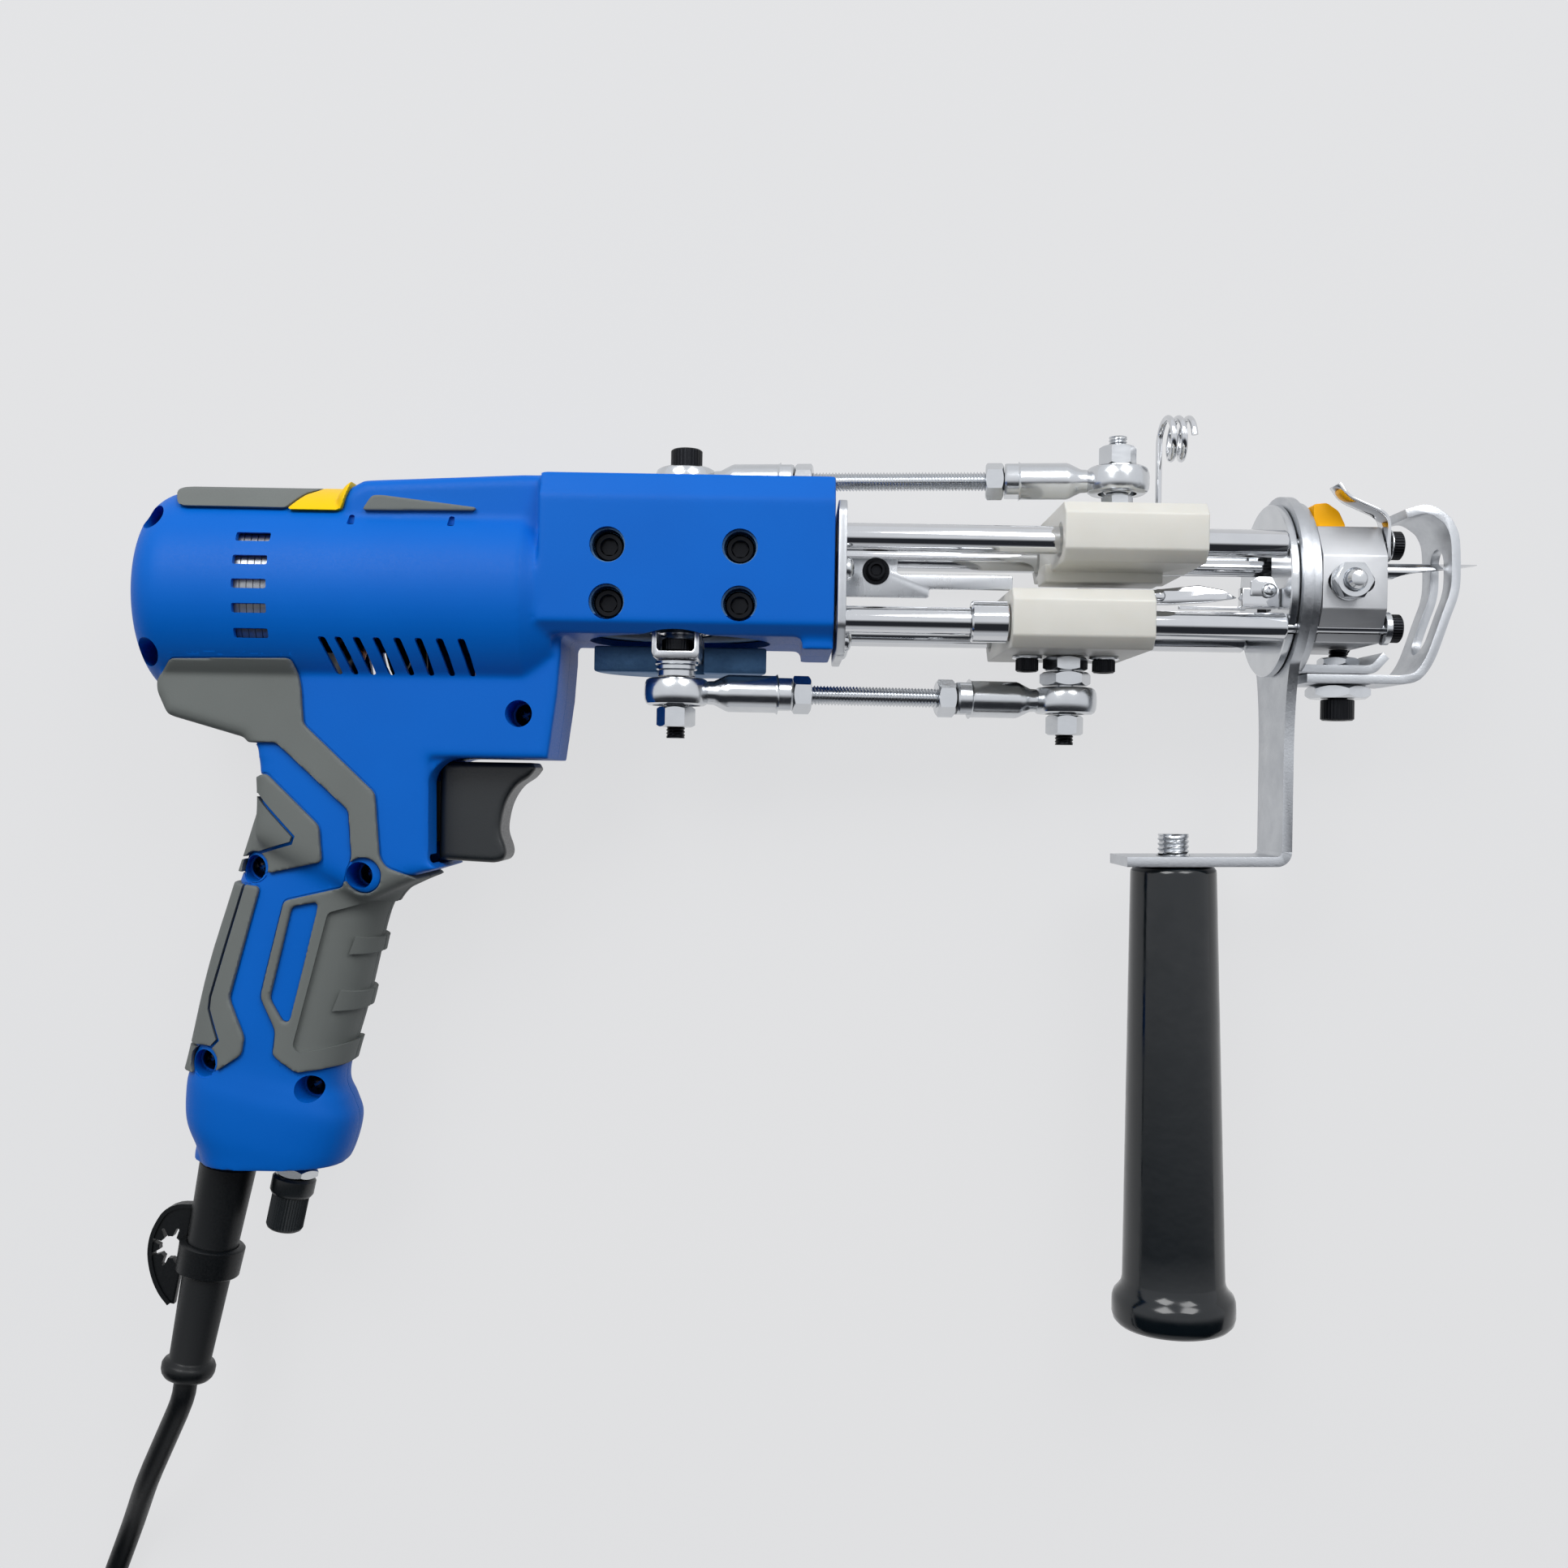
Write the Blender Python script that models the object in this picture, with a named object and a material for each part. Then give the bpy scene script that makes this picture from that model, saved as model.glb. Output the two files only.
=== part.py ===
"""Handheld tufting machine, lying on its left side.

Working frame: crank axis at X = 0, barrel axis at Y = 0, seam of the shells at Z = 0.
+X points to the needle, +Y to the top of the machine, +Z out of its right side.
The last step stands the finished model on Z = 0, with its middle over the origin.
"""
import math

import bmesh
import bpy
from mathutils import Matrix, Vector

for stale in list(bpy.data.objects):
    bpy.data.objects.remove(stale, do_unlink=True)

# Gaps and overruns
SEAT_GAP = 0.0003
RUN_GAP = 0.0004
OVERRUN = 0.002

# Motor barrel
MOTOR_RADIUS = 0.0325
MOTOR_AXIS_Y = -0.0065
MOTOR_REAR_X = -0.1607
MOTOR_FRONT_X = -0.0360
MOTOR_CORNER = 0.0120
MOTOR_NOSE_RADIUS = 0.0280
WALL = 0.0025
SEAM_GAP = 0.0003

# Gear block
BLOCK_REAR_X = -0.0400
BLOCK_FRONT_X = 0.0468
BLOCK_HALF_DEPTH = 0.0300
BLOCK_TOP_Y = 0.0295
BLOCK_BOTTOM_Y = -0.0185
BLOCK_TOP_CHAMFER = 0.0079
BLOCK_BOTTOM_CHAMFER = 0.0038
BLOCK_TOP_INSET = 0.0030
BLOCK_FOOT_LENGTH = 0.0100
BLOCK_FOOT_DROP = 0.0035
TOP_POCKET_RADIUS = 0.0253
LOW_POCKET_RADIUS = 0.0276
LINK_CHANNEL_FLOOR_Y = 0.0265
LINK_CHANNEL_NEAR_Z = 0.0080
LINK_CHANNEL_FAR_Z = -0.0215

# Shoulder over the motor, in shares of its length and height
SHOULDER_LENGTH = 0.0620
SHOULDER_HEIGHT = 0.0350
SHOULDER_HALF_DEPTH = 0.0240
SHOULDER_SHARES = [(0, 0), (0, 0.77), (0.04, 0.86), (0.11, 0.93), (0.87, 1), (1, 1), (1, 0)]

# Neck between motor and grip, in shares of its length and height
NECK_REAR_X = -0.1520
NECK_LENGTH = 0.1185
NECK_TOP_Y = -0.0100
NECK_HEIGHT = 0.0870
NECK_HALF_DEPTH = 0.0215
NECK_EDGE = 0.0040
NECK_SHARES = [(1, 0), (1, 0.16), (0.993, 0.30), (0.972, 0.52), (0.675, 0.52), (0.68, 0.867),
               (0.705, 0.895), (0.625, 0.93), (0.52, 1), (0.24, 0.8), (0.25, 0.70),
               (0.24, 0.49), (0.215, 0.447), (0.025, 0.375), (0, 0.30), (0, 0)]

# Grip: stations along its axis as shares (along, back, front, thickness)
GRIP_TOP_X = -0.1060
GRIP_TOP_Y = -0.0600
GRIP_TILT = math.radians(12.6)
GRIP_LENGTH = 0.1205
GRIP_DEPTH = 0.0500
GRIP_THICKNESS = 0.0370
GRIP_BASE_Y = -0.1793
GRIP_SHARES = [(0.03, 0.33, 0.50, 0.96), (0.13, 0.355, 0.60, 1.0), (0.22, 0.37, 0.60, 1.0),
               (0.31, 0.385, 0.535, 1.0), (0.54, 0.42, 0.535, 0.97), (0.73, 0.415, 0.52, 0.97),
               (0.79, 0.415, 0.60, 1.0), (0.84, 0.415, 0.665, 1.03), (0.93, 0.365, 0.66, 1.0),
               (1.0, 0.25, 0.60, 0.93), (1.1, 0.11, 0.52, 0.88)]
GRIP_SIDES = 14

# Soft pads: proud of the shell, outlines as shares of the grip's length and depth
PAD_PROUD = 0.0011
BAND_SHARES = [(-0.06, -0.55), (-0.20, -0.30), (-0.124, -0.141), (0.013, 0.413), (0.171, 0.539),
               (0.20, 0.36), (0.19, 0.343), (0.072, 0.254), (-0.047, -0.23), (-0.032, -0.42)]
UPPER_PANEL_SHARES = [(0.03, -0.46), (0.022, -0.207), (0.124, 0.117), (0.182, 0.151),
                      (0.264, -0.166), (0.246, -0.48)]
BACK_STRIP_SHARES = [(0.305, -0.50), (0.305, -0.202), (0.612, -0.173), (0.678, -0.069),
                     (0.782, -0.203), (0.755, -0.55)]
FRONT_PAD_SHARES = [(0.285, 0.056), (0.26, 0.281), (0.213, 0.503), (0.175, 0.80), (0.735, 0.80),
                    (0.715, 0.60), (0.735, 0.208), (0.607, -0.026), (0.538, -0.056), (0.326, -0.04)]
PAD_INSET_SHARES = [(0.334, 0.028), (0.309, 0.192), (0.355, 0.209), (0.619, 0.188),
                    (0.583, 0.049), (0.507, 0.024)]
MOTOR_PAD_X = -0.1530
MOTOR_PAD_LENGTH = 0.0440
MOTOR_PAD_TOP_Y = -0.0272
MOTOR_PAD_HEIGHT = 0.0230
MOTOR_PAD_SHARES = [(0.16, 0), (0.93, 0), (0.985, 0.44), (0.985, 1.3), (-0.1, 1.3), (-0.1, 0.62)]
TOP_STRIP_X = -0.1475
TOP_STRIP_LENGTH = 0.0370
TOP_INSERT_LENGTH = 0.0160
TOP_STRIP_LOW_Y = 0.0176
TOP_SLANT = 0.0040
WEDGE_X = -0.0915
WEDGE_LENGTH = 0.0330
WEDGE_LOW_Y = 0.0175
WEDGE_HEIGHT = 0.0045

# Vents
VENT_X = -0.1275
VENT_LENGTH = 0.0100
VENT_HEIGHT = 0.0027
VENT_PITCH = 0.0070
VENT_TOP_Y = 0.0082
VENT_COUNT = 5
SLOT_X = -0.1005
SLOT_PITCH = 0.0058
SLOT_COUNT = 8
SLOT_WIDTH = 0.0026
SLOT_HEIGHT = 0.0110
SLOT_Y = -0.0255
VENT_DEPTH = 0.0150

# Screws
SHELL_SCREW_HEAD = 0.0036
SHELL_SCREW_HEAD_HEIGHT = 0.0026
SHELL_SCREW_Z = 0.0060
SHELL_BOSS_RADIUS = 0.0060
BLOCK_HOLE_RADIUS = 0.0052
BLOCK_SCREW_SPACING_X = 0.0384
BLOCK_SCREW_SPACING_Y = 0.0165
BLOCK_SCREW_X = -0.0005
BLOCK_SCREW_Y = -0.0007
BLOCK_SCREW_Z = 0.0210
BLOCK_SCREW_HEAD = 0.0043
BLOCK_SCREW_HEAD_HEIGHT = 0.0030
BLOCK_SCREW_LENGTH = 0.0065

# Trigger, outline in shares of its length and height
TRIGGER_X = -0.0715
TRIGGER_LENGTH = 0.0290
TRIGGER_TOP_Y = -0.0558
TRIGGER_HEIGHT = 0.0305
TRIGGER_HALF_WIDTH = 0.0090
TRIGGER_TRAVEL = 0.0060
TRIGGER_TAIL = 0.0060
TRIGGER_SHARES = [(0, 0), (1, 0), (1, 0.07), (0.86, 0.18), (0.72, 0.33), (0.655, 0.50),
                  (0.64, 0.68), (0.70, 0.86), (0.68, 0.96), (0.56, 1), (0, 1)]
TRIGGER_EDGE = 0.0015
SWITCH_LENGTH = 0.0200
SWITCH_HEIGHT = 0.0240

# Base of the grip: relief boss, strain relief, speed knob
RELIEF_TILT = math.radians(10.2)
RELIEF_X = -0.1364
RELIEF_Y = -0.1802
RELIEF_BOSS_RADIUS = 0.0108
RELIEF_BOSS_LENGTH = 0.0160
RELIEF_TOP_RADIUS = 0.0085
RELIEF_END_RADIUS = 0.0062
RELIEF_RING_RADIUS = 0.0080
RELIEF_LENGTH = 0.0620
RELIEF_RING_LENGTH = 0.0054
KNOB_TILT = math.radians(11.0)
KNOB_X = -0.1153
KNOB_Y = -0.1805
KNOB_SEAT_RADIUS = 0.0078
KNOB_SEAT_LENGTH = 0.0060
KNOB_NUT_FLATS = 0.0120
KNOB_NUT_HEIGHT = 0.0028
KNOB_SHAFT_RADIUS = 0.0030
KNOB_COLLAR_RADIUS = 0.0066
KNOB_COLLAR_HEIGHT = 0.0060
KNOB_BODY_RADIUS = 0.0056
KNOB_BODY_HEIGHT = 0.0110
KNOB_FLUTES = 12
KNOB_FLUTE_DEPTH = 0.0006
KEY_HOLDER_THICKNESS = 0.0040
KEY_HOLDER_LENGTH = 0.0310
KEY_HOLDER_WIDTH = 0.0104
KEY_HOLDER_START = 0.0160
KEY_HOLDER_Z = -0.0030
KEY_HOLDER_SHARES = [(0, 0), (0.06, 0.62), (0.2, 0.88), (0.36, 1), (0.55, 0.97), (0.75, 0.75),
                     (0.9, 0.45), (1, 0.12), (1, 0)]
KEY_STAR_RADIUS = 0.0040
KEY_STAR_POINTS = 5
KEY_CLIP_WALL = 0.0020

# Gear case, crank and motor
CASE_GAP = 0.0004
CASE_FLOOR = 0.0060
CASE_TOP_Y = 0.0145
CASE_BOTTOM_Y = -0.0157
SHAFT_RADIUS = 0.0049
SHAFT_HALF_LENGTH = 0.0242
BEARING_RADIUS = 0.0095
BEARING_WIDTH = 0.0050
CRANK_RADIUS = 0.0150
CRANK_REST_LEAD = 0.0014
ARM_TOP_Y = 0.0169
ARM_FLOOR_Y = 0.0246
ARM_HALF_WIDTH = 0.0070
ARM_WALL = 0.0015
ARM_FLOOR = 0.0023
ARM_REACH = 0.0225
ARM_TAIL = 0.0070
WEIGHT_RADIUS = 0.0238
LOW_WEIGHT_RADIUS = 0.0265
WEIGHT_TOP_Y = 0.0192
WEIGHT_BOTTOM_Y = 0.0272
BEVEL_GEAR_RADIUS = 0.0200
BEVEL_RATIO = 4
BEVEL_FACE = 0.0080
BEVEL_BACK = 0.0050
ARMATURE_SHAFT = 0.0040
ARMATURE_CORE = 0.0150
STATOR_BORE = 0.0170
STATOR_X = -0.1400
STATOR_LENGTH = 0.0340
FAN_X = -0.0860
FAN_RADIUS = 0.0260
FAN_THICKNESS = 0.0060
FAN_BLADES = 12

# Links
LINK_Y = 0.0340
EYE_RADIUS = 0.0097
EYE_HALF_WIDTH = 0.0040
BALL_RADIUS = 0.0055
BALL_HALF_WIDTH = 0.0042
EYE_BORE = 0.0072
FRONT_EYE_BORE = 0.0059
PIN_RADIUS = 0.0029
LINK_BODY_RADIUS = 0.0056
LINK_NECK_RADIUS = 0.0036
LINK_COLLAR_RADIUS = 0.0062
LINK_BODY_START = 0.0150
LINK_BODY_END = 0.0300
LINK_COLLAR_END = 0.0345
LINK_BODY_WALL_BORE = 0.0033
LINK_ROD_RADIUS = 0.0030
LINK_ROD_IN_BODY = 0.0110
JAM_NUT_FLATS = 0.0100
JAM_NUT_WIDTH = 0.0055
LOWER_STUD_X = 0.1186
UPPER_STUD_X = 0.1337
NUT_FLATS = 0.0100
NUT_HEIGHT = 0.0060
WASHER_RADIUS = 0.0064
SCREW_HEAD_RADIUS = 0.0050

# Plate, shafts and carriages
PLATE_X = 0.0472
PLATE_THICKNESS = 0.0025
PLATE_TOP_Y = 0.0223
PLATE_BOTTOM_Y = -0.0230
PLATE_BOTTOM_CHAMFER = 0.0080
PLATE_SCREWS = [(0.0022, 0.0250), (-0.0178, 0.0150), (0.0022, -0.0250), (-0.0178, -0.0150)]
PLATE_SCREW_HEAD = 0.0034
PLATE_SCREW_HEIGHT = 0.0024
RAIL_LENGTH = 0.0500
RAIL_LOW_Y = -0.0045
RAIL_HEIGHT = 0.0116
RAIL_Z = 0.0120
RAIL_THICKNESS = 0.0020
RAIL_SHARES = [(0, 0), (0.5, 0), (0.5, 0.233), (1, 0.233), (1, 0.603), (0.31, 0.603), (0.31, 1),
               (0, 1)]
RAIL_SCREW = (0.0590, 0.0031)
RAIL_SCREW_HEAD = 0.0030
RAIL_SCREW_HEIGHT = 0.0035
SHAFT_SPACING_Y = 0.0244
SHAFT_SPACING_Z = 0.0420
GUIDE_RADIUS = 0.0041
DISC_X = 0.1795
DISC_RADIUS = 0.0263
DISC_THICKNESS = 0.0026
DISC_CENTRE_Y = 0.0008
BRACKET_HEAD_RADIUS = 0.0287
BRACKET_THICKNESS = 0.0030
BRACKET_HALF_WIDTH = 0.0125
BRACKET_WAIST_Y = -0.0470
BRACKET_BEND_Y = -0.0834
BRACKET_BEND_RADIUS = 0.0045
BRACKET_FOOT_END_X = 0.1360
BRACKET_SPLAY = math.radians(0.96)
FOOT_PLATE_RADIUS = 0.0270
FOOT_PLATE_THICKNESS = 0.0025
CHANNEL_HALF_WIDTH = 0.0070
CHANNEL_TOP_Y = 0.0120
CHANNEL_BOTTOM_Y = -0.0060
CARRIAGE_HALF_DEPTH = 0.0300
UPPER_CARRIAGE_X = 0.1127
UPPER_CARRIAGE_LENGTH = 0.0418
UPPER_CARRIAGE_TOP_Y = 0.0228
UPPER_CARRIAGE_LOW_Y = 0.0052
LOWER_CARRIAGE_X = 0.0980
LOWER_CARRIAGE_LENGTH = 0.0415
LOWER_CARRIAGE_TOP_Y = -0.0026
LOWER_CARRIAGE_LOW_Y = -0.0202
CARRIAGE_CHAMFER = 0.0035
CARRIAGE_BOSS_HALF_DEPTH = 0.0065
CARRIAGE_BOSS_LOW_Y = 0.0018
CARRIAGE_BOSS_LENGTH = 0.0360
STUD_IN_CARRIAGE = 0.0050
WIRE_IN_CARRIAGE = 0.0040
CARRIAGE_SCREW_HEAD = 0.0035
CARRIAGE_SCREW_HEIGHT = 0.0040
CARRIAGE_SCREW_SPACING = 0.0236
CARRIAGE_WASHER_RADIUS = 0.0046
CARRIAGE_WASHER = 0.0010
COLLAR_LENGTH = 0.0110
COLLAR_RADIUS = 0.0061
NEEDLE_Y = 0.0076
NEEDLE_RADIUS = 0.0025
NEEDLE_BORE = 0.0016
NEEDLE_TIP_X = 0.2445
NEEDLE_START_X = 0.1300
NEEDLE_SLANT = 0.0280
BLADE_X = 0.1203
BLADE_LENGTH = 0.0480
BLADE_Y = -0.0049
BLADE_HEIGHT = 0.0060
BLADE_THICKNESS = 0.0013
BLADE_Z = 0.0073
BLADE_FOOT_DEPTH = 0.0050
BLADE_FOOT_LENGTH = 0.0180
BLADE_PIVOT_X = 0.1445
BLADE_PIVOT_Y = -0.0024
BLADE_PIVOT_RADIUS = 0.0012
BLADE_SHARES = [(0, 0.45), (0, 0.783), (0.4625, 0.717), (0.758, 1), (0.9125, 0.783), (1, 0.383),
                (0.827, 0.15), (0.577, 0), (0.431, 0), (0.4146, 0.45)]
MOVING_SHARES = [(0.423, 0.42), (0.44, 0.70)] + BLADE_SHARES[2:9]

# Nose
NOSE_LENGTH = 0.0190
NOSE_HALF_DEPTH = 0.0265
NOSE_TOP_Y = 0.0178
NOSE_BOTTOM_Y = -0.0166
NOSE_FLAT_MIDDLE_Y = 0.0006
NOSE_FLAT_HALF = 0.0078
NOSE_TOP_HALF_DEPTH = 0.0205
NOSE_SCREW_SHANK = 0.0019
NOSE_SCREW_HEAD = 0.0042
NOSE_SCREW_HEIGHT = 0.0040
NOSE_WASHER_RADIUS = 0.0049
COVER_LOW_Y = -0.0036
COVER_TOP_Y = 0.0087
COVER_HALF_WIDTH = 0.0150
COVER_WINDOW_HALF = 0.0034
SPRING_THICKNESS = 0.0010
SPRING_HEIGHT = 0.0120
SPRING_Z = 0.0170
SPRING_WIDTH = 0.0080
SPRING_SHARES = [(1.042, -0.817), (1.042, 0.1), (0.968, 0.3), (0.416, 0.667), (0.263, 1.0)]
NOSE_WEDGE_LENGTH = 0.0112
NOSE_WEDGE_HEIGHT = 0.0073
NOSE_WEDGE_BACK = 0.0060
NOSE_WEDGE_SHARES = [(0, 0), (0, 0.94), (0.40, 1), (0.76, 0.67), (0.96, 0.12), (0.96, 0)]
CAM_LENGTH = 0.0112
CAM_LOW_Y = -0.0061
CAM_TOP_Y = 0.0
CAM_Z = 0.0118
CAM_DEPTH = 0.0045
CAM_BAR_X = 0.1500
CAM_BAR_DROP = 0.0005
CAM_PLATE_HEIGHT = 0.0092
CAM_PLATE_THICKNESS = 0.0010
CAM_PLATE_SHARES = [(0.21, 0.37), (0.21, 0.85), (0.40, 1), (0.77, 1), (0.95, 0.6), (0.77, 0.37)]
CAM_SCREW_RADIUS = 0.0022
CAM_SCREW_HEIGHT = 0.0014
NOSE_PLATE_THICKNESS = 0.0015
STUD_SLOT_INSET = 0.0015
STUD_SLOT_LENGTH = 0.0137
STUD_X = 0.1961
STUD_Y = 0.0007
STUD_NUT_HEIGHT = 0.0048
STUD_SLOT_HEIGHT = 0.0064
STUD_RADIUS = 0.0029

# Presser foot
FOOT_THICKNESS = 0.0027
FOOT_HALF_WIDTH = 0.0110
FOOT_SLOT_HALF_WIDTH = 0.0050
FOOT_X = 0.1895
FOOT_BOLT_X = 0.2026
FOOT_TRAVEL = 0.0030
FOOT_REACH = 0.0444
FOOT_RISE = 0.0515
FOOT_SHARES = [(0.642, 0), (0.72, 0.012), (0.777, 0.049), (0.845, 0.15), (0.935, 0.373),
               (0.985, 0.5), (1, 0.612), (0.991, 0.816), (0.96, 0.90), (0.912, 0.951), (0.80, 1),
               (0.655, 0.971)]
FOOT_SLOT_LOW_Y = -0.0180
FOOT_SLOT_TOP_Y = 0.0145
FOOT_BOLT_RADIUS = 0.0030
FOOT_SPACER_FLATS = 0.0170
FOOT_SPACER_HEIGHT = 0.0038
FOOT_HEAD_HEIGHT = 0.0064
FOOT_NUT_HEIGHT = 0.0050
FOOT_NUT_FLATS = 0.0110
TAB_DROP = 0.0056
TAB_THICKNESS = 0.0026
TAB_LENGTH = 0.0240
TAB_HALF_WIDTH = 0.0100

# Front handle
HANDLE_X = 0.1529
HANDLE_LENGTH = 0.1410
HANDLE_TOP_RADIUS = 0.0130
HANDLE_END_RADIUS = 0.0155
HANDLE_FLANGE_RADIUS = 0.0187
HANDLE_FLANGE_LENGTH = 0.0110
HANDLE_STUD_RADIUS = 0.0049
HANDLE_STUD_ABOVE = 0.0063
HANDLE_STUD_DEPTH = 0.0180

# Yarn guide
GUIDE_WIRE_RADIUS = 0.0010
GUIDE_COIL_RADIUS = 0.0062
GUIDE_COIL_PITCH = 0.0032
GUIDE_COIL_TURNS = 2.5
GUIDE_COIL_Y = 0.0480
GUIDE_X = 0.1485
GUIDE_Z = -0.0090

# Cord
CORD_RADIUS = 0.0035
CORD_SPAN = 0.1000
CORD_KNOT_SHARES = [(-0.165, -0.375, 0.45), (-0.255, -0.565, 0.85), (-0.335, -0.765, 1.0),
                    (-0.405, -0.965, 1.0)]
COIL_CENTRE_X = -0.1420
COIL_CENTRE_Y = -0.3800
COIL_INNER_RADIUS = 0.0310
COIL_PITCH = 0.0076
COIL_LAYER_TURNS = 3
COIL_LOOP_POINTS = 20
PLUG_LENGTH = 0.0420
PLUG_WIDTH = 0.0300
PLUG_HEIGHT = 0.0160
PLUG_PIN_RADIUS = 0.0020
PLUG_PIN_LENGTH = 0.0190
PLUG_PIN_SPACING = 0.0186

ALONG_X = Matrix(((0, 0, 1), (1, 0, 0), (0, 1, 0))).to_4x4()
ALONG_Y = Matrix(((0, 1, 0), (0, 0, 1), (1, 0, 0))).to_4x4()
ALONG_Z = Matrix.Identity(4)
HALF_TURN_X = Matrix.Rotation(math.pi, 4, 'X')

FINISHES = {
    "blue_shell": ((0.0, 0.12, 0.60), 0.45, 0.0),
    "grey_soft": ((0.21, 0.20, 0.195), 0.75, 0.0),
    "yellow_plastic": ((0.95, 0.60, 0.0), 0.45, 0.0),
    "black_plastic": ((0.012, 0.012, 0.013), 0.35, 0.0),
    "black_rubber": ((0.015, 0.015, 0.015), 0.6, 0.0),
    "black_steel": ((0.02, 0.02, 0.02), 0.4, 0.8),
    "zinc_steel": ((0.62, 0.64, 0.66), 0.3, 1.0),
    "chrome_steel": ((0.75, 0.76, 0.78), 0.1, 1.0),
    "white_nylon": ((0.80, 0.79, 0.75), 0.4, 0.0),
    "brushed_aluminium": ((0.66, 0.67, 0.68), 0.35, 1.0),
    "dark_casting": ((0.06, 0.07, 0.09), 0.6, 0.4),
    "copper_winding": ((0.45, 0.20, 0.09), 0.4, 0.9),
    "brass_pin": ((0.70, 0.55, 0.25), 0.3, 1.0),
}


def finish_of(name):
    found = bpy.data.materials.get(name)
    if found:
        return found
    color, roughness, metallic = FINISHES[name]
    made = bpy.data.materials.new(name)
    made.use_nodes = True
    shader = made.node_tree.nodes["Principled BSDF"]
    shader.inputs["Base Color"].default_value = (*color, 1)
    shader.inputs["Roughness"].default_value = roughness
    shader.inputs["Metallic"].default_value = metallic
    return made


def frame_for(direction, at):
    """Matrix whose +Z runs along direction from the point at."""
    turn = Vector(direction).to_track_quat('Z', 'Y').to_matrix().to_4x4()
    return Matrix.Translation(Vector(at)) @ turn


def placed(bm, matrix):
    bmesh.ops.transform(bm, matrix=matrix, verts=bm.verts)
    bmesh.ops.recalc_face_normals(bm, faces=bm.faces)
    return bm


def turned(profile, steps, matrix=ALONG_Z, closed=False):
    """Revolve (radius, height) points about +Z; closed profiles make rings."""
    bm = bmesh.new()
    verts = [bm.verts.new((r, 0, h)) for r, h in profile]
    pairs = list(zip(verts, verts[1:] + verts[:1])) if closed else list(zip(verts, verts[1:]))
    edges = [bm.edges.new(pair) for pair in pairs]
    bmesh.ops.spin(bm, geom=verts + edges, cent=(0, 0, 0), axis=(0, 0, 1),
                   angle=math.tau, steps=steps, use_merge=True)
    bmesh.ops.remove_doubles(bm, verts=bm.verts, dist=SEAT_GAP / 30)
    return placed(bm, matrix)


def rod(radius, start, end, steps=14, matrix=ALONG_Z):
    return turned([(0, start), (radius, start), (radius, end), (0, end)], steps, matrix)


def ring(outer, bore, start, end, steps=16, matrix=ALONG_Z):
    return turned([(bore, start), (outer, start), (outer, end), (bore, end)], steps, matrix, True)


def prism(outline, start, end, matrix=ALONG_Z, edge=0):
    """Extrude a closed outline of (x, y) points from start to end along +Z."""
    bm = bmesh.new()
    face = bm.faces.new([bm.verts.new((x, y, start)) for x, y in outline])
    moved = bmesh.ops.extrude_face_region(bm, geom=[face])["geom"]
    top = [item for item in moved if isinstance(item, bmesh.types.BMVert)]
    bmesh.ops.translate(bm, verts=top, vec=(0, 0, end - start))
    bmesh.ops.recalc_face_normals(bm, faces=bm.faces)
    if edge:
        rim = [e for e in bm.edges if abs(e.verts[0].co.z - e.verts[1].co.z) < SEAT_GAP / 30]
        bmesh.ops.bevel(bm, geom=rim, offset=edge, segments=2, affect='EDGES', profile=0.5,
                        clamp_overlap=True)
    return placed(bm, matrix)


def box(low, high, edge=0):
    outline = [(low[0], low[1]), (high[0], low[1]), (high[0], high[1]), (low[0], high[1])]
    bm = prism(outline, low[2], high[2])
    if edge:
        bmesh.ops.bevel(bm, geom=list(bm.edges), offset=edge, segments=1, affect='EDGES')
    return bm


def hexagon(flats, bore, start, end, matrix=ALONG_Z):
    """Hexagonal nut. Without a bore it is a solid prism, for a union with its bolt."""
    if not bore:
        reach = flats / 2 / math.cos(math.pi / 6)
        return prism([(reach * math.cos(math.tau * k / 6), reach * math.sin(math.tau * k / 6))
                      for k in range(6)], start, end, matrix)
    bm = bmesh.new()
    loops = []
    for height in (start, end):
        outer, inner = [], []
        for k in range(12):
            angle = math.tau * k / 12
            reach = flats / 2 / (math.cos(math.pi / 6) if k % 2 == 0 else 1)
            outer.append(bm.verts.new((reach * math.cos(angle), reach * math.sin(angle), height)))
            inner.append(bm.verts.new((bore * math.cos(angle), bore * math.sin(angle), height)))
        loops.append((outer, inner))
    (low_out, low_in), (high_out, high_in) = loops
    for k in range(12):
        n = (k + 1) % 12
        bm.faces.new((low_out[k], low_out[n], high_out[n], high_out[k]))
        bm.faces.new((low_in[n], low_in[k], high_in[k], high_in[n]))
        bm.faces.new((high_out[k], high_out[n], high_in[n], high_in[k]))
        bm.faces.new((low_out[n], low_out[k], low_in[k], low_in[n]))
    return placed(bm, matrix)


def strip(centre_line, thickness, start, end, matrix=ALONG_Z):
    """Bent sheet: a centre line thickened both ways, extruded along +Z."""
    left, right = [], []
    for k, (x, y) in enumerate(centre_line):
        before = Vector(centre_line[max(k - 1, 0)])
        after = Vector(centre_line[min(k + 1, len(centre_line) - 1)])
        here = Vector((x, y))
        normals = []
        for a, b in ((before, here), (here, after)):
            if (b - a).length > SEAT_GAP / 30:
                along = (b - a).normalized()
                normals.append(Vector((-along.y, along.x)))
        mean = sum(normals, Vector((0, 0))).normalized()
        side = mean * (thickness / 2 / max(mean.dot(normals[0]), 0.5))
        left.append(tuple(here + side))
        right.append(tuple(here - side))
    return prism(left + right[::-1], start, end, matrix)


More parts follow.
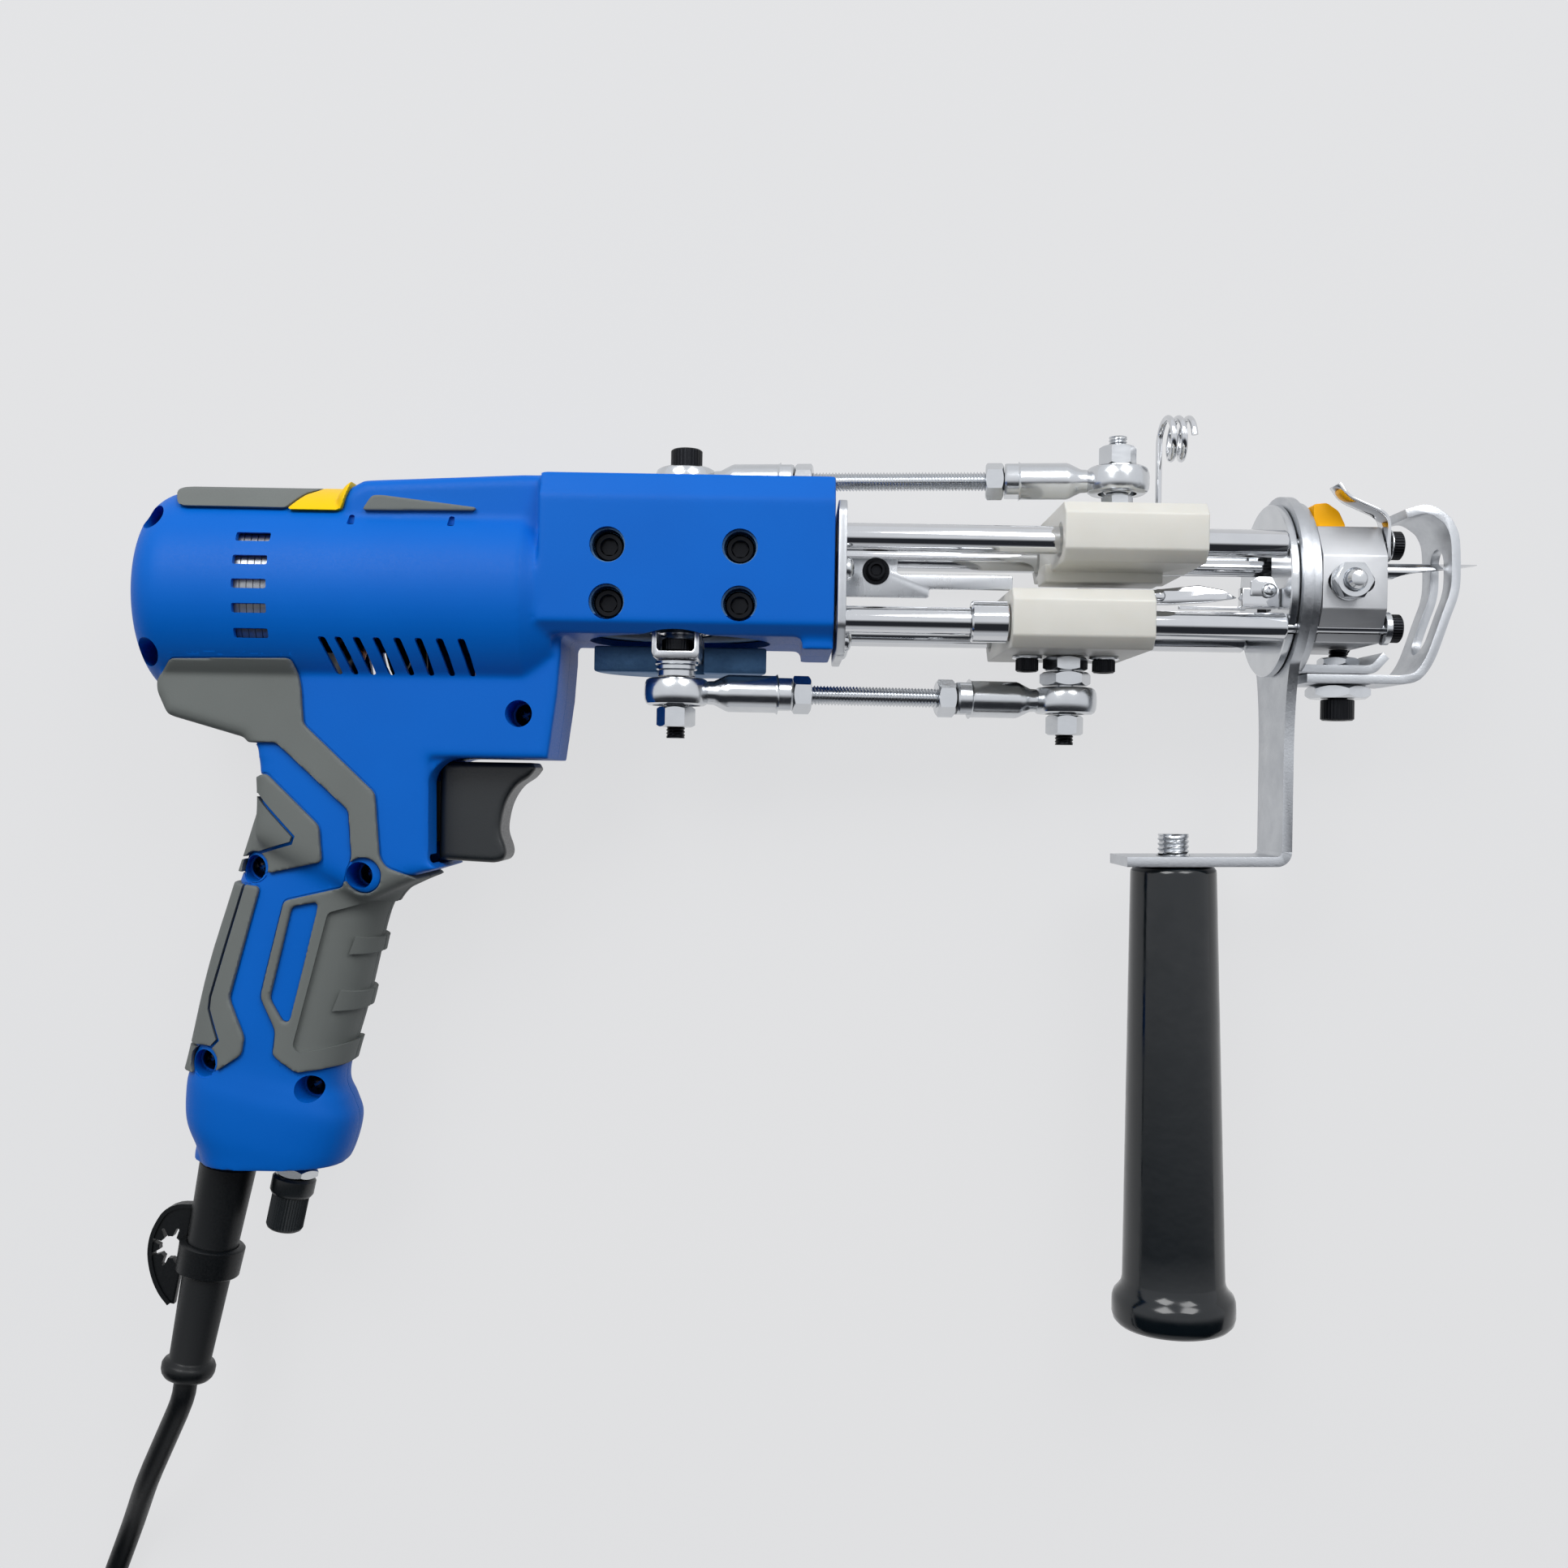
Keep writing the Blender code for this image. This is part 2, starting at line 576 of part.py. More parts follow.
def tube(points, radius, sides):
    """Round wire along points, with square ends."""
    curve = bpy.data.curves.new("wire", 'CURVE')
    curve.dimensions = '3D'
    curve.bevel_depth = radius
    curve.bevel_resolution = sides
    curve.use_fill_caps = True
    line = curve.splines.new('POLY')
    line.points.add(len(points) - 1)
    for point, place in zip(line.points, points):
        point.co = (*place, 1)
    holder = bpy.data.objects.new("wire", curve)
    bpy.context.collection.objects.link(holder)
    mesh = bpy.data.meshes.new_from_object(
        holder.evaluated_get(bpy.context.evaluated_depsgraph_get()))
    bm = bmesh.new()
    bm.from_mesh(mesh)
    bmesh.ops.remove_doubles(bm, verts=bm.verts, dist=SEAT_GAP / 30)
    bmesh.ops.recalc_face_normals(bm, faces=bm.faces)
    bpy.data.objects.remove(holder, do_unlink=True)
    bpy.data.curves.remove(curve)
    bpy.data.meshes.remove(mesh)
    return bm


def joined(*parts):
    """Separate bodies in one mesh."""
    whole = bmesh.new()
    for part in parts:
        mesh = bpy.data.meshes.new("part")
        part.to_mesh(mesh)
        whole.from_mesh(mesh)
        bpy.data.meshes.remove(mesh)
    return whole


def boolean(first, second, operation):
    """Exact Boolean of two closed shapes."""
    holders = []
    for bm in (first, second):
        mesh = bpy.data.meshes.new("operand")
        bm.to_mesh(mesh)
        holder = bpy.data.objects.new("operand", mesh)
        bpy.context.collection.objects.link(holder)
        holders.append(holder)
    step = holders[0].modifiers.new("step", 'BOOLEAN')
    step.operation = operation
    step.solver = 'EXACT'
    step.object = holders[1]
    mesh = bpy.data.meshes.new_from_object(
        holders[0].evaluated_get(bpy.context.evaluated_depsgraph_get()))
    result = bmesh.new()
    result.from_mesh(mesh)
    bmesh.ops.dissolve_degenerate(result, edges=result.edges, dist=SEAT_GAP / 60)
    bpy.data.meshes.remove(mesh)
    for holder in holders:
        data = holder.data
        bpy.data.objects.remove(holder, do_unlink=True)
        bpy.data.meshes.remove(data)
    return result


def united(first, *others):
    for other in others:
        first = boolean(first, other, 'UNION')
    return first


def cut(first, *others):
    for other in others:
        first = boolean(first, other, 'DIFFERENCE')
    return first


def common(first, second):
    return boolean(first, second, 'INTERSECT')


MACHINE = bpy.data.objects.new("machine_frame", None)
bpy.context.collection.objects.link(MACHINE)


def piece(name, bm, finish, origin=(0, 0, 0), smooth=30):
    """Named sub-part whose object origin is at the given point."""
    bmesh.ops.translate(bm, verts=bm.verts, vec=-Vector(origin))
    mesh = bpy.data.meshes.new(name)
    bm.to_mesh(mesh)
    bm.free()
    mesh.materials.append(finish_of(finish))
    mesh.shade_smooth()
    mesh.set_sharp_from_angle(angle=math.radians(smooth))
    made = bpy.data.objects.new(name, mesh)
    made.location = origin
    made.parent = MACHINE
    bpy.context.collection.objects.link(made)
    return made


def from_shares(shares, start, size):
    return [(start[0] + u * size[0], start[1] + v * size[1]) for u, v in shares]


def grip_point(along, across):
    """Point of the side view, along the grip and forward of its axis."""
    down = Vector((-math.sin(GRIP_TILT), -math.cos(GRIP_TILT)))
    forward = Vector((math.cos(GRIP_TILT), -math.sin(GRIP_TILT)))
    return Vector((GRIP_TOP_X, GRIP_TOP_Y)) + down * along + forward * across


def grip_outline(shares):
    return [tuple(grip_point(s * GRIP_LENGTH, t * GRIP_DEPTH)) for s, t in shares]


def grip_body(grow):
    """Loft of rounded sections along the grip, cut level at its base."""
    bm = bmesh.new()
    rings = []
    for along, back, front, thick in GRIP_SHARES:
        rear = -back * GRIP_DEPTH - grow
        fore = front * GRIP_DEPTH + grow
        half = thick * GRIP_THICKNESS / 2 + grow
        middle, reach = (rear + fore) / 2, (fore - rear) / 2
        loop = []
        for k in range(GRIP_SIDES):
            angle = math.tau * (k + 0.5) / GRIP_SIDES
            c, s = math.cos(angle), math.sin(angle)
            across = middle + reach * math.copysign(abs(c) ** 0.75, c)
            place = grip_point(along * GRIP_LENGTH, across)
            loop.append(bm.verts.new((*place, half * math.copysign(abs(s) ** 0.75, s))))
        rings.append(loop)
    for low, high in zip(rings, rings[1:]):
        for k in range(GRIP_SIDES):
            n = (k + 1) % GRIP_SIDES
            bm.faces.new((low[k], low[n], high[n], high[k]))
    bm.faces.new(rings[0])
    bm.faces.new(rings[-1][::-1])
    base = GRIP_BASE_Y - min(grow, 0)
    found = bmesh.ops.bisect_plane(bm, geom=bm.verts[:] + bm.edges[:] + bm.faces[:],
                                   plane_co=(0, base, 0), plane_no=(0, -1, 0), clear_outer=True)
    rim = [e for e in found["geom_cut"] if isinstance(e, bmesh.types.BMEdge)]
    bmesh.ops.holes_fill(bm, edges=rim)
    bmesh.ops.recalc_face_normals(bm, faces=bm.faces)
    return bm


def motor_body(grow):
    radius = MOTOR_RADIUS + grow
    rear, front = MOTOR_REAR_X - grow, MOTOR_FRONT_X + grow
    profile = [(0, rear)]
    for k in range(4):
        angle = math.pi / 2 * k / 3
        profile.append((radius - MOTOR_CORNER * (1 - math.sin(angle)),
                        rear + MOTOR_CORNER * (1 - math.cos(angle))))
    taper = front - (MOTOR_RADIUS - MOTOR_NOSE_RADIUS) * 2
    profile += [(radius, taper), (MOTOR_NOSE_RADIUS + grow, front), (0, front)]
    return turned(profile, 32, Matrix.Translation((0, MOTOR_AXIS_Y, 0)) @ ALONG_X)


def block_section(grow):
    half = BLOCK_HALF_DEPTH + grow
    top, low = BLOCK_TOP_Y + grow, BLOCK_BOTTOM_Y - grow
    side = [(low, half - BLOCK_BOTTOM_CHAMFER), (low + BLOCK_BOTTOM_CHAMFER, half),
            (top - BLOCK_TOP_CHAMFER, half), (top, half - BLOCK_TOP_INSET)]
    return [(y, -z) for y, z in side[::-1]] + side


def block_body(grow):
    body = prism(block_section(grow), BLOCK_REAR_X - grow, BLOCK_FRONT_X + min(grow, 0), ALONG_X)
    return body


def shoulder_body(grow):
    start = (BLOCK_REAR_X - SHOULDER_LENGTH + WALL - grow, BLOCK_TOP_Y - SHOULDER_HEIGHT)
    outline = from_shares(SHOULDER_SHARES, start, (SHOULDER_LENGTH + grow, SHOULDER_HEIGHT + grow))
    half = SHOULDER_HALF_DEPTH + grow
    return prism(outline, -half, half, edge=NECK_EDGE)


def neck_body(grow):
    start = (NECK_REAR_X - grow, NECK_TOP_Y)
    size = (NECK_LENGTH + 2 * grow, -NECK_HEIGHT - grow)
    half = NECK_HALF_DEPTH + grow
    return prism(from_shares(NECK_SHARES, start, size), -half, half, edge=NECK_EDGE)


def casing(grow):
    return united(motor_body(grow), shoulder_body(grow), block_body(grow), neck_body(grow),
                  grip_body(grow))


def slant(tilt):
    return (-math.sin(tilt), -math.cos(tilt), 0)


RELIEF_FRAME = frame_for(slant(RELIEF_TILT), (RELIEF_X, RELIEF_Y, 0))
KNOB_FRAME = frame_for(slant(KNOB_TILT), (KNOB_X, KNOB_Y, 0))
SCREW_PLACES = [(-0.1548, 0.0147), (-0.1548, -0.0253), (-0.0460, -0.0415),
                (-0.1252, -0.0888), (-0.0922, -0.0900), (-0.1392, -0.1472), (-0.1076, -0.1543)]
BLOCK_SCREWS = [(BLOCK_SCREW_X + sx * BLOCK_SCREW_SPACING_X / 2,
                 BLOCK_SCREW_Y + sy * BLOCK_SCREW_SPACING_Y / 2)
                for sx in (-1, 1) for sy in (-1, 1)]
DEEP = BLOCK_HALF_DEPTH * 2


def column(radius, low, high, at, steps=8):
    return rod(radius, low, high, steps, Matrix.Translation((*at, 0)))


def outer_casing(grow=0):
    body = united(casing(grow),
                  rod(RELIEF_BOSS_RADIUS, -RELIEF_BOSS_LENGTH, OVERRUN, 18, RELIEF_FRAME),
                  rod(KNOB_SEAT_RADIUS, -KNOB_SEAT_LENGTH, 0, 16, KNOB_FRAME),
                  box((BLOCK_FRONT_X - BLOCK_FOOT_LENGTH, BLOCK_BOTTOM_Y - BLOCK_FOOT_DROP,
                       BLOCK_BOTTOM_CHAMFER - BLOCK_HALF_DEPTH),
                      (BLOCK_FRONT_X, BLOCK_BOTTOM_Y + WALL,
                       BLOCK_HALF_DEPTH - BLOCK_BOTTOM_CHAMFER)))
    return body


def trigger_outline(grow):
    size = (TRIGGER_LENGTH + grow, -TRIGGER_HEIGHT - 2 * grow)
    return from_shares(TRIGGER_SHARES, (TRIGGER_X, TRIGGER_TOP_Y + grow), size)


def make_shells():
    inner = cut(casing(-WALL), *[column(SHELL_BOSS_RADIUS, -DEEP, DEEP, at) for at in SCREW_PLACES])
    body = cut(outer_casing(), inner)
    rise = Matrix.Rotation(-math.pi / 2, 4, 'X')
    body = cut(body, rod(TOP_POCKET_RADIUS, CASE_TOP_Y, DEEP, 20, rise),
               rod(LOW_POCKET_RADIUS, -DEEP / 2, BLOCK_BOTTOM_Y + WALL + CASE_GAP, 20, rise))
    body = cut(body, box((0, LINK_CHANNEL_FLOOR_Y, LINK_CHANNEL_FAR_Z),
                         (BLOCK_FRONT_X + OVERRUN, DEEP, LINK_CHANNEL_NEAR_Z)))
    pocket_low = (TRIGGER_X - TRIGGER_TRAVEL - TRIGGER_TAIL - RUN_GAP,
                  TRIGGER_TOP_Y - TRIGGER_HEIGHT - RUN_GAP, -TRIGGER_HALF_WIDTH - RUN_GAP)
    pocket_high = (TRIGGER_X + TRIGGER_LENGTH, TRIGGER_TOP_Y + RUN_GAP,
                   TRIGGER_HALF_WIDTH + RUN_GAP)
    body = cut(body, box(pocket_low, pocket_high))
    vents = [box((VENT_X, VENT_TOP_Y - k * VENT_PITCH - VENT_HEIGHT / 2, -DEEP),
                 (VENT_X + VENT_LENGTH, VENT_TOP_Y - k * VENT_PITCH + VENT_HEIGHT / 2, DEEP))
             for k in range(VENT_COUNT)]
    slots = [box((SLOT_X + k * SLOT_PITCH - SLOT_WIDTH / 2, SLOT_Y - SLOT_HEIGHT / 2, VENT_DEPTH),
                 (SLOT_X + k * SLOT_PITCH + SLOT_WIDTH / 2, SLOT_Y + SLOT_HEIGHT / 2, DEEP))
             for k in range(SLOT_COUNT)]
    far_slots = [box((SLOT_X + k * SLOT_PITCH - SLOT_WIDTH / 2, SLOT_Y - SLOT_HEIGHT / 2, -DEEP),
                     (SLOT_X + k * SLOT_PITCH + SLOT_WIDTH / 2, SLOT_Y + SLOT_HEIGHT / 2,
                      -VENT_DEPTH)) for k in range(SLOT_COUNT)]
    body = cut(body, joined(*vents), joined(*slots, *far_slots))
    body = cut(body, rod(KNOB_SHAFT_RADIUS + SEAT_GAP, -KNOB_SEAT_LENGTH * 2, OVERRUN, 14,
                         KNOB_FRAME),
               rod(RELIEF_BOSS_RADIUS + WALL, 0, RELIEF_BOSS_LENGTH, 18, RELIEF_FRAME),
               rod(ARMATURE_SHAFT + OVERRUN, BLOCK_REAR_X - WALL * 2, BLOCK_REAR_X + WALL * 4, 12,
                   Matrix.Translation((0, MOTOR_AXIS_Y, 0)) @ ALONG_X))
    reach = GRIP_LENGTH * 2
    near = box((-reach, -reach, SEAM_GAP / 2), (reach, reach, DEEP))
    far = box((-reach, -reach, -DEEP), (reach, reach, -SEAM_GAP / 2))
    right, left = common(body.copy(), near), common(body, far)
    rooms = [column(SHELL_SCREW_HEAD + RUN_GAP, SHELL_SCREW_Z, DEEP, at) for at in SCREW_PLACES]
    block_holes = [column(BLOCK_HOLE_RADIUS, BLOCK_SCREW_Z, DEEP, at, 12) for at in BLOCK_SCREWS]
    heads = []
    for at in SCREW_PLACES:
        heads.append(turned([(0, SHELL_SCREW_Z - SHELL_SCREW_HEAD_HEIGHT),
                             (SHELL_SCREW_HEAD, SHELL_SCREW_Z - SHELL_SCREW_HEAD_HEIGHT),
                             (SHELL_SCREW_HEAD, SHELL_SCREW_Z + SHELL_SCREW_HEAD_HEIGHT / 2),
                             (SHELL_SCREW_HEAD / 2, SHELL_SCREW_Z + SHELL_SCREW_HEAD_HEIGHT),
                             (0, SHELL_SCREW_Z + SHELL_SCREW_HEAD_HEIGHT)], 8,
                            Matrix.Translation((*at, 0))))
    pads = soft_pads()
    mirrored = pads.copy()
    bmesh.ops.scale(mirrored, vec=(1, 1, -1), verts=mirrored.verts)
    bmesh.ops.reverse_faces(mirrored, faces=mirrored.faces)
    right = united(cut(united(right, pads), joined(*rooms), joined(*block_holes)), joined(*heads))
    piece("right_housing", right, "blue_shell")
    piece("left_housing", united(left, mirrored), "blue_shell")


def soft_pads():
    """Overmoulded patches of the right shell, rooted in its wall and proud of it."""
    layer = cut(casing(PAD_PROUD), casing(-WALL / 2))
    motor_pad = from_shares(MOTOR_PAD_SHARES, (MOTOR_PAD_X, MOTOR_PAD_TOP_Y),
                            (MOTOR_PAD_LENGTH, -MOTOR_PAD_HEIGHT))
    band = united(prism(motor_pad, SEAM_GAP, DEEP), prism(grip_outline(BAND_SHARES), SEAM_GAP, DEEP))
    inset = prism(grip_outline(PAD_INSET_SHARES), -DEEP, DEEP)
    front = cut(prism(grip_outline(FRONT_PAD_SHARES), SEAM_GAP, DEEP), inset)
    panels = joined(band, prism(grip_outline(UPPER_PANEL_SHARES), SEAM_GAP, DEEP),
                    prism(grip_outline(BACK_STRIP_SHARES), SEAM_GAP, DEEP), front)
    wedge = [(WEDGE_X, WEDGE_LOW_Y + WEDGE_HEIGHT), (WEDGE_X, WEDGE_LOW_Y),
             (WEDGE_X + WEDGE_LENGTH, WEDGE_LOW_Y)]
    inlay = common(cut(outer_wedge(PAD_PROUD), outer_wedge(-WALL / 2)), prism(wedge, SEAM_GAP, DEEP))
    return united(common(layer, panels), inlay)


def make_top_strips():
    top = BLOCK_TOP_Y + OVERRUN
    low = TOP_STRIP_LOW_Y
    end = TOP_STRIP_X + TOP_STRIP_LENGTH
    strip_shape = [(TOP_STRIP_X - TOP_SLANT, top), (TOP_STRIP_X + TOP_SLANT, low),
                   (end - TOP_SLANT, low), (end + TOP_SLANT, top)]
    insert_end = end + TOP_INSERT_LENGTH
    insert_shape = [(end + TOP_SLANT + SEAT_GAP, top), (end - TOP_SLANT + SEAT_GAP, low),
                    (insert_end - TOP_SLANT / 2, low), (insert_end + TOP_SLANT / 2, top)]
    layer = cut(motor_body(PAD_PROUD), motor_body(SEAT_GAP))
    clear = shoulder_body(SEAT_GAP)
    piece("top_strip", cut(common(layer.copy(), prism(strip_shape, -DEEP, DEEP)), clear.copy()),
          "grey_soft")
    piece("yellow_insert", cut(common(layer, prism(insert_shape, -DEEP, DEEP)), clear),
          "yellow_plastic")


def outer_wedge(grow):
    return united(motor_body(grow), shoulder_body(grow))


def make_trigger():
    body = prism(trigger_outline(0), -TRIGGER_HALF_WIDTH, TRIGGER_HALF_WIDTH, edge=TRIGGER_EDGE)
    tail = box((TRIGGER_X - TRIGGER_TAIL, TRIGGER_TOP_Y - TRIGGER_HEIGHT * 0.8,
                -TRIGGER_HALF_WIDTH / 2),
               (TRIGGER_X + TRIGGER_EDGE, TRIGGER_TOP_Y - TRIGGER_HEIGHT * 0.2,
                TRIGGER_HALF_WIDTH / 2))
    piece("trigger", united(body, tail), "black_plastic", (TRIGGER_X, TRIGGER_TOP_Y, 0))
    back = TRIGGER_X - TRIGGER_TRAVEL - TRIGGER_TAIL - RUN_GAP * 2
    half = NECK_HALF_DEPTH - WALL - SEAT_GAP
    middle = TRIGGER_TOP_Y - TRIGGER_HEIGHT / 2
    piece("trigger_switch", box((back - SWITCH_LENGTH, middle - SWITCH_HEIGHT / 2, -half + WALL),
                                (back, middle + SWITCH_HEIGHT / 2, half - WALL)), "black_plastic")


def make_grip_base():
    piece("knob_nut", hexagon(KNOB_NUT_FLATS, KNOB_SHAFT_RADIUS + SEAT_GAP, SEAT_GAP,
                              SEAT_GAP + KNOB_NUT_HEIGHT, KNOB_FRAME), "zinc_steel")
    start = SEAT_GAP * 2 + KNOB_NUT_HEIGHT
    mid, end = start + KNOB_COLLAR_HEIGHT, start + KNOB_COLLAR_HEIGHT + KNOB_BODY_HEIGHT
    fluted = []
    for k in range(KNOB_FLUTES * 2):
        angle = math.tau * k / (KNOB_FLUTES * 2)
        reach = KNOB_BODY_RADIUS - (KNOB_FLUTE_DEPTH if k % 2 else 0)
        fluted.append((reach * math.cos(angle), reach * math.sin(angle)))
    body = united(prism(fluted, mid - SEAT_GAP, end), rod(KNOB_COLLAR_RADIUS, start, mid, 20),
                  rod(KNOB_SHAFT_RADIUS, -KNOB_SEAT_LENGTH, start + SEAT_GAP, 12))
    piece("speed_knob", placed(body, KNOB_FRAME), "black_plastic", (KNOB_X, KNOB_Y, 0))
    total = SEAT_GAP + RELIEF_LENGTH
    profile = [(0, SEAT_GAP), (RELIEF_TOP_RADIUS, SEAT_GAP), (RELIEF_END_RADIUS, total),
               (RELIEF_RING_RADIUS, total), (RELIEF_RING_RADIUS, total + RELIEF_RING_LENGTH * 0.7),
               (RELIEF_END_RADIUS, total + RELIEF_RING_LENGTH), (0, total + RELIEF_RING_LENGTH)]
    piece("strain_relief", turned(profile, 20, RELIEF_FRAME), "black_plastic")
    across = Matrix(((-math.sin(RELIEF_TILT), -math.cos(RELIEF_TILT), 0, RELIEF_X),
                     (-math.cos(RELIEF_TILT), math.sin(RELIEF_TILT), 0, RELIEF_Y),
                     (0, 0, 1, KEY_HOLDER_Z), (0, 0, 0, 1)))
    edge = RELIEF_TOP_RADIUS + SEAT_GAP
    outline = [(KEY_HOLDER_START + u * KEY_HOLDER_LENGTH,
                edge + v * KEY_HOLDER_WIDTH) for u, v in KEY_HOLDER_SHARES]
    plate = prism(outline, -KEY_HOLDER_THICKNESS / 2, KEY_HOLDER_THICKNESS / 2)
    points = []
    for k in range(KEY_STAR_POINTS * 2):
        reach = KEY_STAR_RADIUS * (1 if k % 2 else 0.5)
        angle = math.pi * k / KEY_STAR_POINTS
        points.append((KEY_HOLDER_START + KEY_HOLDER_LENGTH * 0.45 + reach * math.cos(angle),
                       edge + KEY_HOLDER_WIDTH * 0.5 + reach * math.sin(angle)))
    star = prism(points, -KEY_HOLDER_THICKNESS, KEY_HOLDER_THICKNESS)
    taper = (RELIEF_TOP_RADIUS - RELIEF_END_RADIUS) / RELIEF_LENGTH
    low = KEY_HOLDER_START + KEY_HOLDER_LENGTH * 0.3
    high = KEY_HOLDER_START + KEY_HOLDER_LENGTH * 0.6
    bores = [RELIEF_TOP_RADIUS - taper * h + SEAT_GAP for h in (low, high)]
    clip = turned([(bores[0], low), (bores[0] + KEY_CLIP_WALL, low),
                   (bores[1] + KEY_CLIP_WALL, high), (bores[1], high)], 20, RELIEF_FRAME, True)
    piece("key_holder", united(placed(cut(plate, star), across), clip), "black_rubber")


def make_drive():
    """Gear case, bearings and motor."""
    half = BLOCK_HALF_DEPTH
    section = block_section(-WALL - CASE_GAP)
    front = BLOCK_FRONT_X - WALL - CASE_GAP
    rear = BLOCK_REAR_X + WALL
    solid = common(prism(section, rear, front, ALONG_X),
                   box((rear - OVERRUN, CASE_BOTTOM_Y, -half), (front + OVERRUN, CASE_TOP_Y, half)))
    rise = Matrix.Rotation(-math.pi / 2, 4, 'X')
    low, high = CASE_BOTTOM_Y + CASE_FLOOR, CASE_TOP_Y - CASE_FLOOR
    room = rod(BEVEL_GEAR_RADIUS + OVERRUN / 2, low, high, 20, rise)
    seats = rod(BEARING_RADIUS + SEAT_GAP, CASE_BOTTOM_Y - OVERRUN, CASE_TOP_Y + OVERRUN, 18, rise)
    motor_line = Matrix.Translation((0, MOTOR_AXIS_Y, 0)) @ ALONG_X
    passage = rod(ARMATURE_SHAFT + OVERRUN, rear, -SHAFT_RADIUS, 12, motor_line)
    rooms = [column(BLOCK_SCREW_HEAD + RUN_GAP, BLOCK_SCREW_Z, DEEP, at) for at in BLOCK_SCREWS]
    heads = [column(BLOCK_SCREW_HEAD, BLOCK_SCREW_Z - BLOCK_SCREW_LENGTH / 2,
                    BLOCK_SCREW_Z + BLOCK_SCREW_HEAD_HEIGHT, at) for at in BLOCK_SCREWS]
    case = cut(solid, room, seats, passage, joined(*rooms))
    piece("gear_case", united(case, joined(*heads)), "dark_casting")
    bore = SHAFT_RADIUS + SEAT_GAP
    piece("upper_crank_bearing", ring(BEARING_RADIUS, bore, CASE_TOP_Y - BEARING_WIDTH - SEAT_GAP,
                                      CASE_TOP_Y - SEAT_GAP, 16, rise), "chrome_steel")
    piece("lower_crank_bearing", ring(BEARING_RADIUS, bore, CASE_BOTTOM_Y + SEAT_GAP,
                                      CASE_BOTTOM_Y + BEARING_WIDTH + SEAT_GAP, 16, rise),
          "chrome_steel")
    wall = MOTOR_REAR_X + WALL + SEAT_GAP
    shell = MOTOR_RADIUS - WALL - SEAT_GAP
    piece("motor_stator", ring(shell, STATOR_BORE, STATOR_X, STATOR_X + STATOR_LENGTH, 20,
                               motor_line), "zinc_steel")
    tip = -BEVEL_GEAR_RADIUS + BEVEL_FACE
    core_start = STATOR_X + OVERRUN
    core_end = STATOR_X + STATOR_LENGTH - OVERRUN
    profile = [(0, wall), (ARMATURE_SHAFT, wall), (ARMATURE_SHAFT, core_start - BEARING_WIDTH * 2),
               (ARMATURE_CORE * 0.6, core_start - BEARING_WIDTH * 2),
               (ARMATURE_CORE * 0.6, core_start - OVERRUN), (ARMATURE_CORE, core_start),
               (ARMATURE_CORE, core_end), (ARMATURE_CORE * 0.7, core_end + BEARING_WIDTH),
               (ARMATURE_SHAFT, core_end + BEARING_WIDTH), (ARMATURE_SHAFT, -BEVEL_GEAR_RADIUS),
               (BEVEL_GEAR_RADIUS / BEVEL_RATIO, -BEVEL_GEAR_RADIUS), (-tip / BEVEL_RATIO, tip),
               (0, tip)]
    piece("armature", turned(profile, 16, motor_line), "copper_winding",
          (STATOR_X, MOTOR_AXIS_Y, 0))
    blades = []
    for k in range(FAN_BLADES * 2):
        reach = FAN_RADIUS * (1 if k % 2 else 0.72)
        angle = math.pi * k / FAN_BLADES
        blades.append((reach * math.cos(angle), reach * math.sin(angle)))
    fan = cut(prism(blades, FAN_X, FAN_X + FAN_THICKNESS),
              rod(ARMATURE_SHAFT + SEAT_GAP, FAN_X - OVERRUN, FAN_X + FAN_THICKNESS + OVERRUN, 12))
    piece("cooling_fan", placed(fan, motor_line), "black_plastic", (FAN_X, MOTOR_AXIS_Y, 0))


OUTWARD_LOW = Matrix(((1, 0, 0, 0), (0, 0, -1, 0), (0, 1, 0, 0), (0, 0, 0, 1)))
OUTWARD_HIGH = HALF_TURN_X @ OUTWARD_LOW


def outward(upper, x, z):
    """Frame at (x, z) whose +Z is the way out of the machine's top or underside."""
    base = OUTWARD_HIGH if upper else OUTWARD_LOW
    return Matrix.Translation((x, 0, z)) @ base


def crank_arm(upper):
    profile = [(-ARM_HALF_WIDTH, ARM_TOP_Y), (-ARM_HALF_WIDTH + ARM_WALL, ARM_TOP_Y),
               (-ARM_HALF_WIDTH + ARM_WALL, ARM_FLOOR_Y - ARM_FLOOR),
               (ARM_HALF_WIDTH - ARM_WALL, ARM_FLOOR_Y - ARM_FLOOR),
               (ARM_HALF_WIDTH - ARM_WALL, ARM_TOP_Y), (ARM_HALF_WIDTH, ARM_TOP_Y),
               (ARM_HALF_WIDTH, ARM_FLOOR_Y), (-ARM_HALF_WIDTH, ARM_FLOOR_Y)]
    channel = prism([(x, -y) for x, y in profile], -ARM_TAIL, ARM_REACH)
    arm = cut(channel, rod(SHAFT_RADIUS + SEAT_GAP, 0, SHAFT_HALF_LENGTH * 2, 16, outward(False, 0, 0)),
              rod(PIN_RADIUS + SEAT_GAP, 0, SHAFT_HALF_LENGTH * 2, 12, outward(False, 0, CRANK_RADIUS)))
    return placed(arm, HALF_TURN_X if upper else ALONG_Z)


